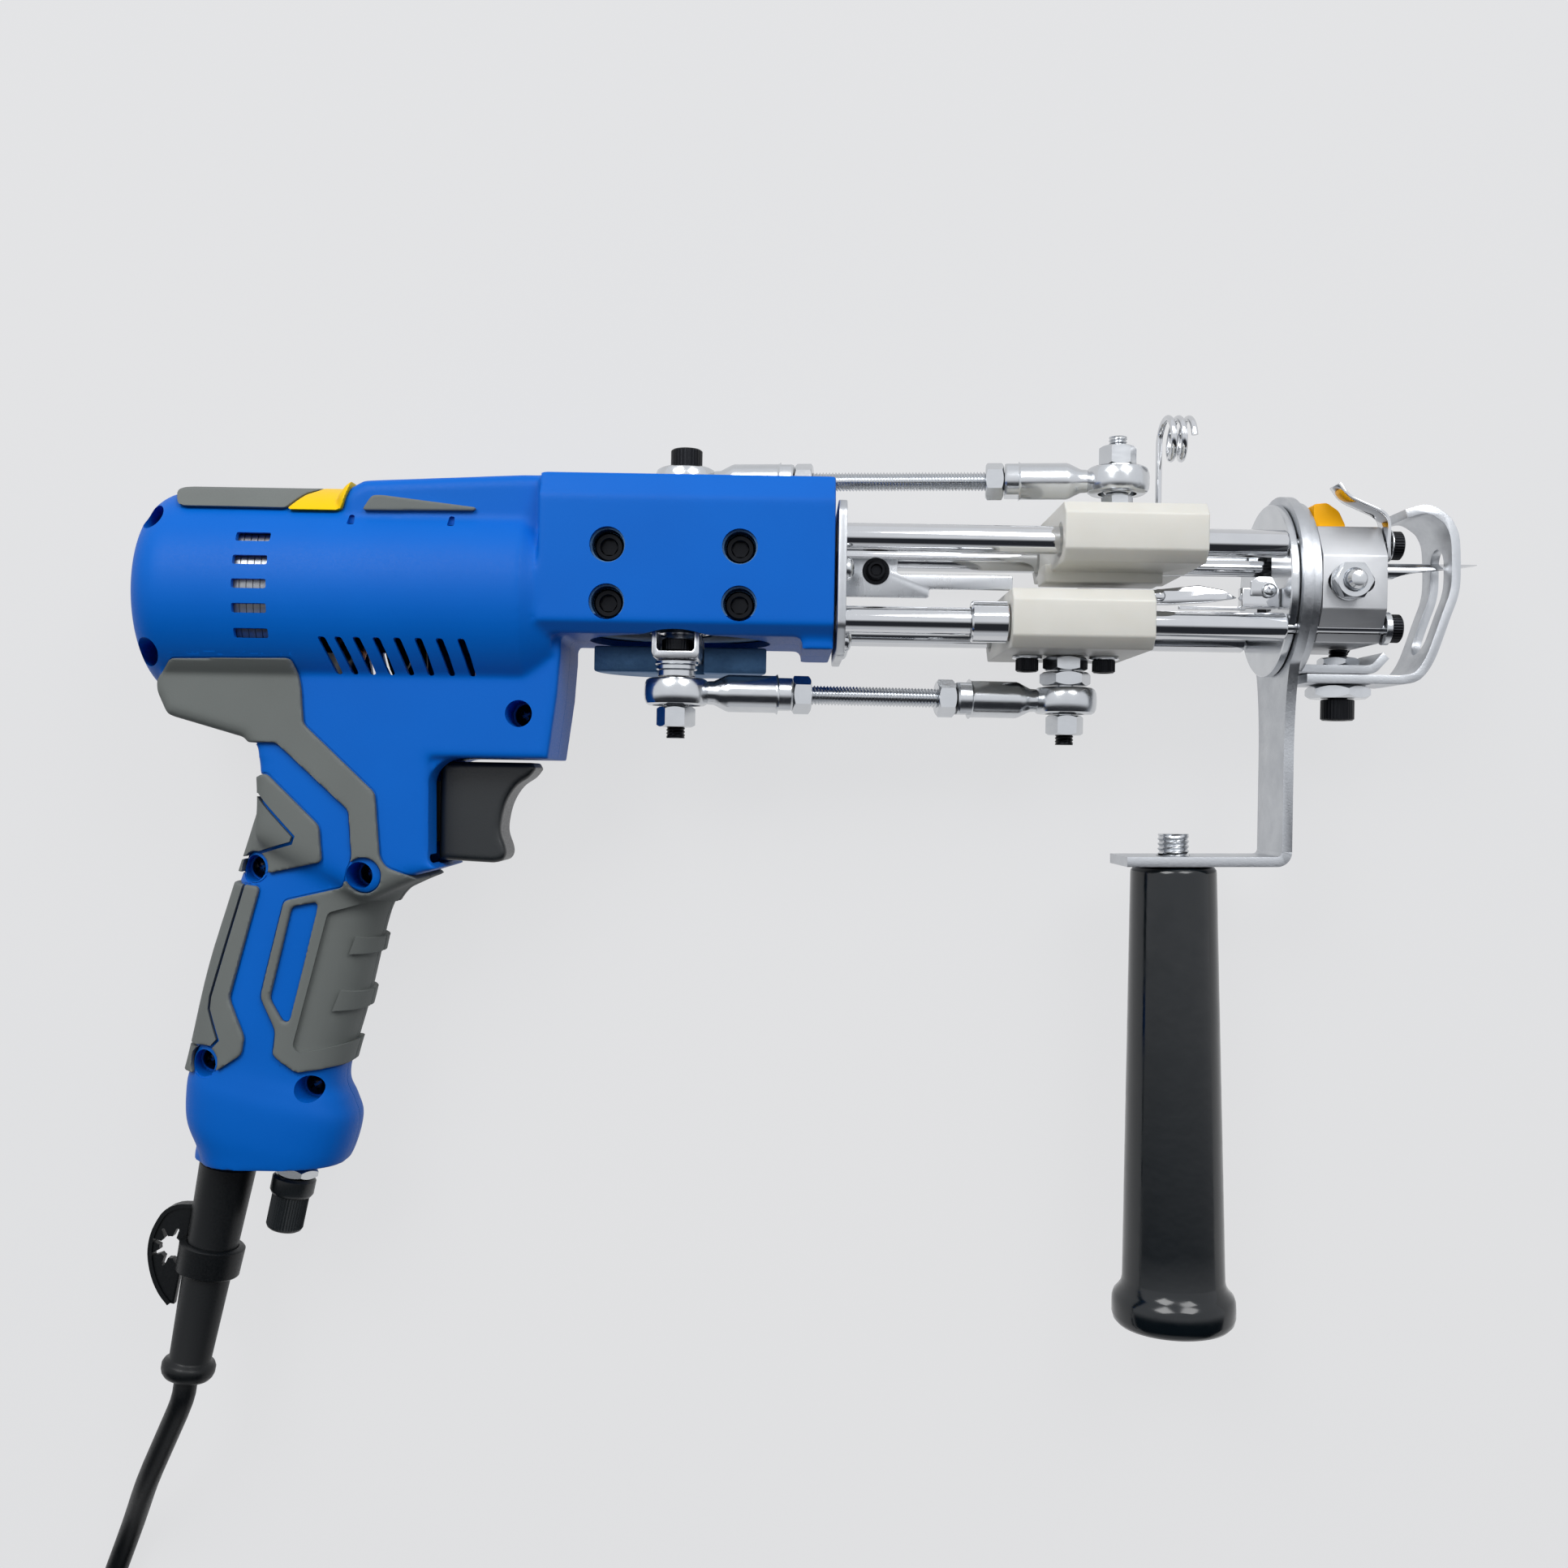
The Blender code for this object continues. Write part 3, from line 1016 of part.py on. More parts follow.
def counterweight(upper):
    outline = []
    radius = WEIGHT_RADIUS if upper else LOW_WEIGHT_RADIUS
    for k in range(11):
        angle = math.pi * k / 10
        outline.append((radius * math.cos(angle), -radius * math.sin(angle)))
    # In the outward frame +Y of the outline is the machine's +Z
    disc = prism(outline, WEIGHT_TOP_Y, WEIGHT_BOTTOM_Y, outward(False, 0, -SEAT_GAP))
    clear = ARM_HALF_WIDTH + SEAT_GAP
    notch = box((-clear, -SHAFT_HALF_LENGTH * 2, -ARM_TAIL - SEAT_GAP), (clear, 0, ARM_TAIL))
    return placed(cut(disc, notch), HALF_TURN_X if upper else ALONG_Z)


def ball(bore, matrix):
    profile = []
    edge = math.asin(BALL_HALF_WIDTH / BALL_RADIUS)
    for k in range(4):
        angle = -edge + 2 * edge * k / 3
        profile.append((BALL_RADIUS * math.cos(angle), LINK_Y + BALL_RADIUS * math.sin(angle)))
    return turned([(bore, LINK_Y - BALL_HALF_WIDTH)] + profile + [(bore, LINK_Y + BALL_HALF_WIDTH)],
                  9, matrix, True)


def make_crank():
    rise = Matrix.Rotation(-math.pi / 2, 4, 'X')
    edge = BEVEL_GEAR_RADIUS
    inner = edge - BEVEL_FACE
    face = MOTOR_AXIS_Y + SEAT_GAP
    top = face + edge / BEVEL_RATIO + BEVEL_BACK
    profile = [(0, -SHAFT_HALF_LENGTH), (SHAFT_RADIUS, -SHAFT_HALF_LENGTH),
               (SHAFT_RADIUS, face + inner / BEVEL_RATIO), (inner, face + inner / BEVEL_RATIO),
               (edge, face + edge / BEVEL_RATIO), (edge, top - BEVEL_BACK / 2), (inner, top),
               (SHAFT_RADIUS, top), (SHAFT_RADIUS, SHAFT_HALF_LENGTH), (0, SHAFT_HALF_LENGTH)]
    piece("crank_shaft", turned(profile, 18, rise), "zinc_steel")
    for upper in (True, False):
        side = "upper" if upper else "lower"
        piece(side + "_crank_arm", crank_arm(upper), "zinc_steel")
        piece(side + "_counterweight", counterweight(upper), "dark_casting")
    low, high = outward(False, 0, CRANK_RADIUS), outward(True, 0, -CRANK_RADIUS)
    bore = PIN_RADIUS / 2
    floor = ARM_FLOOR_Y - ARM_FLOOR
    out = LINK_Y + BALL_HALF_WIDTH + SEAT_GAP
    head = SCREW_HEAD_RADIUS * 0.92
    bolt = turned([(0, floor - SEAT_GAP - NUT_HEIGHT * 0.6),
                   (head, floor - SEAT_GAP - NUT_HEIGHT * 0.6), (head, floor - SEAT_GAP),
                   (PIN_RADIUS, floor - SEAT_GAP), (PIN_RADIUS, out + NUT_HEIGHT * 1.55),
                   (0, out + NUT_HEIGHT * 1.55)], 12, low)
    nut = hexagon(NUT_FLATS, 0, out, out + NUT_HEIGHT, low)
    screw = turned([(0, floor - NUT_HEIGHT * 0.6), (PIN_RADIUS, floor - NUT_HEIGHT * 0.6),
                    (PIN_RADIUS, out), (SCREW_HEAD_RADIUS, out),
                    (SCREW_HEAD_RADIUS, out + NUT_HEIGHT), (0, out + NUT_HEIGHT)], 14, high)
    inner_nut = hexagon(NUT_FLATS * 0.92, 0, floor - SEAT_GAP - NUT_HEIGHT * 0.55, floor - SEAT_GAP, high)
    washers = [ring(WASHER_RADIUS, bore, ARM_FLOOR_Y + SEAT_GAP,
                    LINK_Y - BALL_HALF_WIDTH - SEAT_GAP, 14, at) for at in (low, high)]
    piece("lower_crank_pin", united(bolt, nut, washers[0], ball(bore, low)), "black_steel")
    piece("upper_crank_pin", united(screw, inner_nut, washers[1], ball(bore, high)), "black_steel")


def rod_end(upper, at, direction, eye_bore):
    """Eye round a ball, its threaded body running along direction."""
    side = LINK_Y if upper else -LINK_Y
    body = turned([(0, EYE_RADIUS - OVERRUN), (LINK_NECK_RADIUS, EYE_RADIUS - OVERRUN),
                   (LINK_NECK_RADIUS, EYE_RADIUS + OVERRUN), (LINK_BODY_RADIUS, LINK_BODY_START),
                   (LINK_BODY_RADIUS, LINK_BODY_END), (LINK_COLLAR_RADIUS, LINK_BODY_END),
                   (LINK_COLLAR_RADIUS, LINK_COLLAR_END), (LINK_BODY_WALL_BORE, LINK_COLLAR_END),
                   (LINK_BODY_WALL_BORE, LINK_COLLAR_END - LINK_ROD_IN_BODY - SEAT_GAP),
                   (0, LINK_COLLAR_END - LINK_ROD_IN_BODY - SEAT_GAP)], 10,
                  frame_for(direction, (at[0], side, at[1])))
    frame = outward(upper, at[0], at[1])
    crown = EYE_HALF_WIDTH * 0.6
    eye = turned([(eye_bore, LINK_Y - EYE_HALF_WIDTH), (EYE_RADIUS - OVERRUN / 2,
                  LINK_Y - EYE_HALF_WIDTH), (EYE_RADIUS, LINK_Y - crown),
                  (EYE_RADIUS, LINK_Y + crown), (EYE_RADIUS - OVERRUN / 2,
                  LINK_Y + EYE_HALF_WIDTH), (eye_bore, LINK_Y + EYE_HALF_WIDTH)], 12, frame, True)
    return united(eye, body)


def make_link(upper):
    name = "upper" if upper else "lower"
    sign = -1 if upper else 1
    rear = (0, sign * (CRANK_RADIUS - CRANK_REST_LEAD))
    front = (UPPER_STUD_X if upper else LOWER_STUD_X, 0)
    along = Vector((front[0] - rear[0], 0, front[1] - rear[1]))
    length = along.length
    along.normalize()
    piece(name + "_rear_rod_end", rod_end(upper, rear, along, EYE_BORE), "zinc_steel")
    piece(name + "_front_rod_end", rod_end(upper, front, -along, FRONT_EYE_BORE), "zinc_steel")
    frame = frame_for(along, (rear[0], LINK_Y if upper else -LINK_Y, rear[1]))
    start = LINK_COLLAR_END
    shank = rod(LINK_ROD_RADIUS, start - LINK_ROD_IN_BODY, length - start + LINK_ROD_IN_BODY, 12,
                frame)
    nuts = [hexagon(JAM_NUT_FLATS, 0, h, h + JAM_NUT_WIDTH, frame)
            for h in (start + SEAT_GAP, length - start - SEAT_GAP - JAM_NUT_WIDTH)]
    piece(name + "_link_rod", united(shank, *nuts), "zinc_steel")


def carriage_section(top, low):
    half, c = CARRIAGE_HALF_DEPTH, CARRIAGE_CHAMFER
    side = [(low, half - c), (low + c, half), (top - c, half), (top, half - c)]
    return [(y, -z) for y, z in side[::-1]] + side


def shaft_places(y_sign):
    return [(y_sign * SHAFT_SPACING_Y / 2, z * SHAFT_SPACING_Z / 2) for z in (1, -1)]


def bore_x(radius, start, end, at, steps=12):
    return rod(radius, start, end, steps, Matrix.Translation((0, *at)) @ ALONG_X)


def stud_set(upper, x, base, spacers):
    """Stud, ball, spacers under the ball and nut above it, all along the way out."""
    frame = outward(upper, x, 0)
    bore = PIN_RADIUS / 2
    out = LINK_Y + BALL_HALF_WIDTH + SEAT_GAP
    parts = [rod(PIN_RADIUS, base - STUD_IN_CARRIAGE, out + NUT_HEIGHT * 1.5, 12, frame),
             ball(bore, frame), hexagon(NUT_FLATS, 0, out, out + NUT_HEIGHT, frame)]
    height = base + SEAT_GAP
    room = LINK_Y - BALL_HALF_WIDTH - base
    for flats, share in spacers:
        step = room * share - SEAT_GAP
        parts.append(hexagon(flats, 0, height, height + step - SEAT_GAP, frame))
        height += step + SEAT_GAP / 2
    return united(*parts)


def make_carriages():
    body = prism(carriage_section(UPPER_CARRIAGE_TOP_Y, UPPER_CARRIAGE_LOW_Y), UPPER_CARRIAGE_X,
                 UPPER_CARRIAGE_X + UPPER_CARRIAGE_LENGTH, ALONG_X)
    boss = box((UPPER_CARRIAGE_X - OVERRUN, CARRIAGE_BOSS_LOW_Y, -CARRIAGE_BOSS_HALF_DEPTH),
               (UPPER_CARRIAGE_X - OVERRUN + CARRIAGE_BOSS_LENGTH,
                UPPER_CARRIAGE_LOW_Y + OVERRUN, CARRIAGE_BOSS_HALF_DEPTH))
    start = UPPER_CARRIAGE_X - OVERRUN * 2
    end = UPPER_CARRIAGE_X + UPPER_CARRIAGE_LENGTH + OVERRUN
    bores = [bore_x(GUIDE_RADIUS + RUN_GAP, start, end, at) for at in shaft_places(1)]
    stud_hole = rod(PIN_RADIUS + SEAT_GAP, UPPER_CARRIAGE_TOP_Y - STUD_IN_CARRIAGE - SEAT_GAP,
                    UPPER_CARRIAGE_TOP_Y + OVERRUN, 12, outward(True, UPPER_STUD_X, 0))
    wire_hole = rod(GUIDE_WIRE_RADIUS + SEAT_GAP, UPPER_CARRIAGE_TOP_Y - WIRE_IN_CARRIAGE - SEAT_GAP,
                    UPPER_CARRIAGE_TOP_Y + OVERRUN, 8, outward(True, GUIDE_X, GUIDE_Z))
    needle_hole = bore_x(NEEDLE_RADIUS + SEAT_GAP, NEEDLE_START_X - SEAT_GAP, end, (NEEDLE_Y, 0), 12)
    piece("upper_carriage", cut(united(body, boss), joined(*bores), stud_hole, wire_hole,
                                needle_hole), "white_nylon")
    piece("upper_stud", stud_set(True, UPPER_STUD_X, UPPER_CARRIAGE_TOP_Y,
                                 [(NUT_FLATS * 1.2, 0.35), (NUT_FLATS * 0.85, 0.65)]), "zinc_steel")
    needle = turned([(NEEDLE_BORE, NEEDLE_START_X), (NEEDLE_RADIUS, NEEDLE_START_X),
                     (NEEDLE_RADIUS, NEEDLE_TIP_X), (NEEDLE_BORE, NEEDLE_TIP_X)], 14,
                    Matrix.Translation((0, NEEDLE_Y, 0)) @ ALONG_X, True)
    low, high = NEEDLE_Y - NEEDLE_RADIUS - OVERRUN, NEEDLE_Y + NEEDLE_RADIUS * 0.8
    slanted = prism([(NEEDLE_TIP_X - NEEDLE_SLANT, low), (NEEDLE_TIP_X + OVERRUN, low),
                     (NEEDLE_TIP_X + OVERRUN, high + NEEDLE_RADIUS),
                     (NEEDLE_TIP_X - SEAT_GAP, high),
                     (NEEDLE_TIP_X - NEEDLE_SLANT * 0.8, NEEDLE_Y - NEEDLE_RADIUS * 0.4)],
                    -NEEDLE_RADIUS * 2, NEEDLE_RADIUS * 2)
    piece("needle", cut(needle, slanted), "chrome_steel")
    centre_y, centre_z = GUIDE_COIL_Y, GUIDE_Z + GUIDE_COIL_RADIUS
    wire = [(GUIDE_X, UPPER_CARRIAGE_TOP_Y - WIRE_IN_CARRIAGE, GUIDE_Z),
            (GUIDE_X, UPPER_CARRIAGE_TOP_Y + OVERRUN, GUIDE_Z),
            (GUIDE_X, centre_y - GUIDE_COIL_RADIUS, GUIDE_Z)]
    steps = round(GUIDE_COIL_TURNS * 12)
    for k in range(steps + 1):
        angle = math.tau * k / 12
        wire.append((GUIDE_X + GUIDE_COIL_PITCH * k / 12,
                     centre_y + GUIDE_COIL_RADIUS * math.sin(angle),
                     centre_z - GUIDE_COIL_RADIUS * math.cos(angle)))
    piece("yarn_guide", tube(wire, GUIDE_WIRE_RADIUS, 1), "zinc_steel")

    body = prism(carriage_section(LOWER_CARRIAGE_TOP_Y, LOWER_CARRIAGE_LOW_Y), LOWER_CARRIAGE_X,
                 LOWER_CARRIAGE_X + LOWER_CARRIAGE_LENGTH, ALONG_X)
    start, end = LOWER_CARRIAGE_X - OVERRUN, LOWER_CARRIAGE_X + LOWER_CARRIAGE_LENGTH + OVERRUN
    bores = [bore_x(GUIDE_RADIUS + RUN_GAP, start, end, at) for at in shaft_places(-1)]
    stud_hole = rod(PIN_RADIUS + SEAT_GAP, -LOWER_CARRIAGE_LOW_Y - STUD_IN_CARRIAGE - SEAT_GAP,
                    OVERRUN - LOWER_CARRIAGE_LOW_Y, 12, outward(False, LOWER_STUD_X, 0))
    screws = []
    face = -LOWER_CARRIAGE_LOW_Y
    for s in (-1, 1):
        frame = outward(False, LOWER_STUD_X + s * CARRIAGE_SCREW_SPACING / 2, 0)
        screws.append(turned([(0, face - CARRIAGE_WASHER), (CARRIAGE_WASHER_RADIUS, face - CARRIAGE_WASHER),
                              (CARRIAGE_WASHER_RADIUS, face + CARRIAGE_WASHER),
                              (CARRIAGE_SCREW_HEAD, face + CARRIAGE_WASHER),
                              (CARRIAGE_SCREW_HEAD, face + CARRIAGE_WASHER + CARRIAGE_SCREW_HEIGHT),
                              (0, face + CARRIAGE_WASHER + CARRIAGE_SCREW_HEIGHT)], 12, frame))
    piece("lower_carriage", united(cut(body, joined(*bores), stud_hole), joined(*screws)),
          "white_nylon")
    piece("lower_stud", stud_set(False, LOWER_STUD_X, -LOWER_CARRIAGE_LOW_Y,
                                 [(NUT_FLATS * 1.2, 0.5), (NUT_FLATS * 1.36, 0.5)]), "zinc_steel")
    collar_end = LOWER_CARRIAGE_X - SEAT_GAP
    piece("bearing_collar", ring(COLLAR_RADIUS, GUIDE_RADIUS + RUN_GAP, collar_end - COLLAR_LENGTH,
                                 collar_end, 16, Matrix.Translation((0, *shaft_places(-1)[0])) @ ALONG_X),
          "chrome_steel")


def make_blades():
    start, length = BLADE_X, BLADE_LENGTH
    outline = from_shares(BLADE_SHARES, (start, BLADE_Y), (length, BLADE_HEIGHT))
    near = BLADE_Z
    hole = column(BLADE_PIVOT_RADIUS + SEAT_GAP, near - OVERRUN, near + OVERRUN * 3,
                  (BLADE_PIVOT_X, BLADE_PIVOT_Y), 12)
    fixed = prism(outline, near, near + BLADE_THICKNESS)
    foot = box((start, LOWER_CARRIAGE_TOP_Y + SEAT_GAP, near - BLADE_FOOT_DEPTH),
               (start + BLADE_FOOT_LENGTH, BLADE_Y + BLADE_HEIGHT * 0.70, near + BLADE_THICKNESS))
    pivot = column(BLADE_PIVOT_RADIUS, near - BLADE_THICKNESS,
                   near + BLADE_THICKNESS * 2 + SEAT_GAP * 2, (BLADE_PIVOT_X, BLADE_PIVOT_Y), 12)
    cap = column(BLADE_PIVOT_RADIUS * 1.7, near + BLADE_THICKNESS * 2 + SEAT_GAP * 2,
                 near + BLADE_THICKNESS * 2.6 + SEAT_GAP * 2, (BLADE_PIVOT_X, BLADE_PIVOT_Y), 12)
    piece("fixed_blade", united(fixed, foot, pivot, cap), "chrome_steel")
    low = near + BLADE_THICKNESS + SEAT_GAP
    edge = from_shares(MOVING_SHARES, (start, BLADE_Y), (length, BLADE_HEIGHT))
    moving = cut(prism(edge, low, low + BLADE_THICKNESS), hole)
    piece("moving_blade", moving, "zinc_steel", (BLADE_PIVOT_X, BLADE_PIVOT_Y, low))


def channel_hole(start, end):
    return box((start, CHANNEL_BOTTOM_Y, -CHANNEL_HALF_WIDTH),
               (end, CHANNEL_TOP_Y, CHANNEL_HALF_WIDTH))


def shaft_holes(radius, start, end):
    return joined(*[bore_x(radius, start, end, at) for s in (1, -1) for at in shaft_places(s)])


def make_barrel():
    half = CARRIAGE_HALF_DEPTH
    drop = PLATE_BOTTOM_Y + PLATE_BOTTOM_CHAMFER
    side = [(PLATE_BOTTOM_Y, half - PLATE_BOTTOM_CHAMFER), (drop, half),
            (PLATE_TOP_Y - CARRIAGE_CHAMFER, half), (PLATE_TOP_Y, half - CARRIAGE_CHAMFER)]
    section = [(y, -z) for y, z in side[::-1]] + side
    end = PLATE_X + PLATE_THICKNESS
    plate = prism(section, PLATE_X, end, ALONG_X)
    plate = cut(plate, shaft_holes(GUIDE_RADIUS + SEAT_GAP, PLATE_X - OVERRUN, end + OVERRUN))
    heads = []
    for at in PLATE_SCREWS:
        heads.append(turned([(0, PLATE_X + SEAT_GAP), (PLATE_SCREW_HEAD, PLATE_X + SEAT_GAP),
                             (PLATE_SCREW_HEAD, end + PLATE_SCREW_HEIGHT * 0.6),
                             (PLATE_SCREW_HEAD * 0.6, end + PLATE_SCREW_HEIGHT),
                             (0, end + PLATE_SCREW_HEIGHT)], 8,
                            Matrix.Translation((0, *at)) @ ALONG_X))
    piece("rear_plate", united(plate, joined(*heads)), "zinc_steel")
    rail = prism(from_shares(RAIL_SHARES, (end + SEAT_GAP, RAIL_LOW_Y), (RAIL_LENGTH, RAIL_HEIGHT)),
                 RAIL_Z, RAIL_Z + RAIL_THICKNESS)
    top = RAIL_Z + RAIL_THICKNESS
    screw = turned([(0, RAIL_Z + SEAT_GAP), (RAIL_SCREW_HEAD * 1.35, RAIL_Z + SEAT_GAP),
                    (RAIL_SCREW_HEAD * 1.35, top + CARRIAGE_WASHER),
                    (RAIL_SCREW_HEAD, top + CARRIAGE_WASHER), (RAIL_SCREW_HEAD, top + RAIL_SCREW_HEIGHT),
                    (0, top + RAIL_SCREW_HEIGHT)], 12, Matrix.Translation((*RAIL_SCREW, 0)))
    piece("rear_rail", united(rail, screw), "zinc_steel")


def disc_at(radius, start, thickness, steps=28):
    return rod(radius, start, start + thickness, steps,
               Matrix.Translation((0, DISC_CENTRE_Y, 0)) @ ALONG_X)


def make_front():
    after_disc = DISC_X + DISC_THICKNESS + SEAT_GAP
    after_bracket = after_disc + BRACKET_THICKNESS + SEAT_GAP
    nose_start = after_bracket + FOOT_PLATE_THICKNESS + SEAT_GAP
    nose_end = nose_start + NOSE_LENGTH
    start, end = DISC_X - OVERRUN, nose_end + OVERRUN
    channel = channel_hole(start, end)
    holes = shaft_holes(NOSE_SCREW_SHANK + SEAT_GAP, start, end)
    disc = cut(disc_at(DISC_RADIUS, DISC_X, DISC_THICKNESS), channel, holes)
    piece("front_disc", disc, "zinc_steel")

    # Handle bracket: round head, arm, then a foot bent back under the barrel
    head = disc_at(BRACKET_HEAD_RADIUS, after_disc, BRACKET_THICKNESS)
    low = BRACKET_BEND_Y + BRACKET_BEND_RADIUS
    arm = box((after_disc, low, -BRACKET_HALF_WIDTH),
              (after_disc + BRACKET_THICKNESS, 0, BRACKET_HALF_WIDTH))
    haunch = prism([(-BRACKET_HALF_WIDTH, BRACKET_WAIST_Y), (BRACKET_HALF_WIDTH, BRACKET_WAIST_Y),
                    (BRACKET_HEAD_RADIUS * 0.72, DISC_CENTRE_Y - BRACKET_HEAD_RADIUS * 0.69),
                    (-BRACKET_HEAD_RADIUS * 0.72, DISC_CENTRE_Y - BRACKET_HEAD_RADIUS * 0.69)],
                   after_disc, after_disc + BRACKET_THICKNESS,
                   Matrix(((0, 0, 1, 0), (0, 1, 0, 0), (-1, 0, 0, 0), (0, 0, 0, 1))))
    middle = BRACKET_BEND_RADIUS - BRACKET_THICKNESS / 2
    bend_x = after_disc + BRACKET_THICKNESS - BRACKET_BEND_RADIUS
    line = [(after_disc + BRACKET_THICKNESS / 2, low)]
    for k in range(1, 7):
        angle = math.pi / 2 * k / 6
        line.append((bend_x + middle * math.cos(angle), low - middle * math.sin(angle)))
    foot_y = low - middle
    reach = bend_x - BRACKET_FOOT_END_X
    line.append((BRACKET_FOOT_END_X, foot_y - reach * math.tan(BRACKET_SPLAY)))
    foot = strip(line, BRACKET_THICKNESS, -BRACKET_HALF_WIDTH, BRACKET_HALF_WIDTH)
    stud_hole = rod(HANDLE_STUD_RADIUS + SEAT_GAP, -OVERRUN * 4, OVERRUN * 2, 14, handle_frame())
    bracket = cut(united(head, haunch, arm, foot), channel, holes, stud_hole)
    piece("handle_bracket", bracket, "zinc_steel")

    # Presser foot bracket: disc with a tab bent forward under the nose
    plate = disc_at(FOOT_PLATE_RADIUS, after_bracket, FOOT_PLATE_THICKNESS)
    tab_y = NOSE_BOTTOM_Y - TAB_DROP
    flat = box((after_bracket, tab_y - TAB_THICKNESS, -TAB_HALF_WIDTH),
               (after_bracket + TAB_LENGTH, tab_y, TAB_HALF_WIDTH))
    shield = cut(plate, box((start, DISC_CENTRE_Y - FOOT_PLATE_RADIUS - OVERRUN, -BRACKET_HEAD_RADIUS),
                            (end, tab_y - TAB_THICKNESS, BRACKET_HEAD_RADIUS)))
    bolt_line = Matrix.Translation((FOOT_BOLT_X, 0, 0)) @ ALONG_Y
    bolt_hole = rod(FOOT_BOLT_RADIUS + SEAT_GAP, tab_y - TAB_THICKNESS - OVERRUN, tab_y + OVERRUN, 12,
                    bolt_line)
    tab = cut(united(shield, flat), channel, holes, bolt_hole)
    piece("foot_bracket", tab, "zinc_steel")

    # Nose block
    side = [(NOSE_BOTTOM_Y, NOSE_TOP_HALF_DEPTH), (NOSE_FLAT_MIDDLE_Y - NOSE_FLAT_HALF, NOSE_HALF_DEPTH),
            (NOSE_FLAT_MIDDLE_Y + NOSE_FLAT_HALF, NOSE_HALF_DEPTH), (NOSE_TOP_Y, NOSE_TOP_HALF_DEPTH)]
    section = [(y, -z) for y, z in side[::-1]] + side
    block = prism(section, nose_start, nose_end, ALONG_X)
    slot_start = nose_start + STUD_SLOT_INSET
    half = STUD_SLOT_HEIGHT / 2
    slot = box((slot_start, STUD_Y - half, CHANNEL_HALF_WIDTH - OVERRUN),
               (slot_start + STUD_SLOT_LENGTH, STUD_Y + half, NOSE_HALF_DEPTH + OVERRUN))
    nose = cut(block, channel, holes, slot)
    piece("nose_block", nose, "brushed_aluminium")
    face = nose_end + SEAT_GAP
    seat = face + SPRING_THICKNESS + SEAT_GAP
    for row, s in (("upper", 1), ("lower", -1)):
        for side, at in zip(("right", "left"), shaft_places(s)):
            washer = seat if (row, side) == ("upper", "right") else face
            shaft = turned([(0, PLATE_X), (GUIDE_RADIUS, PLATE_X), (GUIDE_RADIUS, DISC_X - SEAT_GAP),
                            (NOSE_SCREW_SHANK, DISC_X - SEAT_GAP), (NOSE_SCREW_SHANK, washer),
                            (NOSE_WASHER_RADIUS, washer), (NOSE_WASHER_RADIUS, seat + OVERRUN / 4),
                            (NOSE_SCREW_HEAD, seat + OVERRUN / 4),
                            (NOSE_SCREW_HEAD, seat + NOSE_SCREW_HEIGHT),
                            (0, seat + NOSE_SCREW_HEIGHT)], 12,
                           Matrix.Translation((0, *at)) @ ALONG_X)
            piece(row + "_" + side + "_shaft", shaft, "chrome_steel")
    cover = box((face, COVER_LOW_Y, -COVER_HALF_WIDTH),
                (face + NOSE_PLATE_THICKNESS, COVER_TOP_Y, COVER_HALF_WIDTH))
    window = box((face - OVERRUN, NEEDLE_Y - NEEDLE_RADIUS - OVERRUN / 2, -COVER_WINDOW_HALF),
                 (end + OVERRUN, COVER_TOP_Y + OVERRUN, COVER_WINDOW_HALF))
    piece("nose_plate", cut(cover, window), "zinc_steel")

    # Depth stud: a knurled screw through the slot with its nut
    stud_line = Matrix.Translation((STUD_X, STUD_Y, 0))
    outer = NOSE_HALF_DEPTH + SEAT_GAP
    stud = turned([(0, CHANNEL_HALF_WIDTH + OVERRUN / 2),
                   (STUD_RADIUS, CHANNEL_HALF_WIDTH + OVERRUN / 2),
                   (STUD_RADIUS, outer + STUD_NUT_HEIGHT * 1.7), (0, outer + STUD_NUT_HEIGHT * 1.7)],
                  12, stud_line)
    nut = hexagon(NUT_FLATS, 0, outer, outer + STUD_NUT_HEIGHT, stud_line)
    piece("depth_stud", united(stud, nut), "zinc_steel", (STUD_X, STUD_Y, NOSE_HALF_DEPTH))

    # Leaf spring and its wedge on the nose's top
    spring = strip(from_shares(SPRING_SHARES, (nose_start, NOSE_TOP_Y), (NOSE_LENGTH, SPRING_HEIGHT)),
                   SPRING_THICKNESS, SPRING_Z, SPRING_Z + SPRING_WIDTH)
    spring_hole = bore_x(NOSE_SCREW_SHANK + SEAT_GAP, face - OVERRUN, face + OVERRUN * 2,
                         shaft_places(1)[0], 12)
    piece("leaf_spring", cut(spring, spring_hole), "zinc_steel")
    wedge = prism(from_shares(NOSE_WEDGE_SHARES, (nose_start + SEAT_GAP, NOSE_TOP_Y + SEAT_GAP),
                              (NOSE_WEDGE_LENGTH, NOSE_WEDGE_HEIGHT)),
                  -NOSE_WEDGE_BACK, SPRING_Z - SEAT_GAP)
    piece("yellow_wedge", wedge, "yellow_plastic")

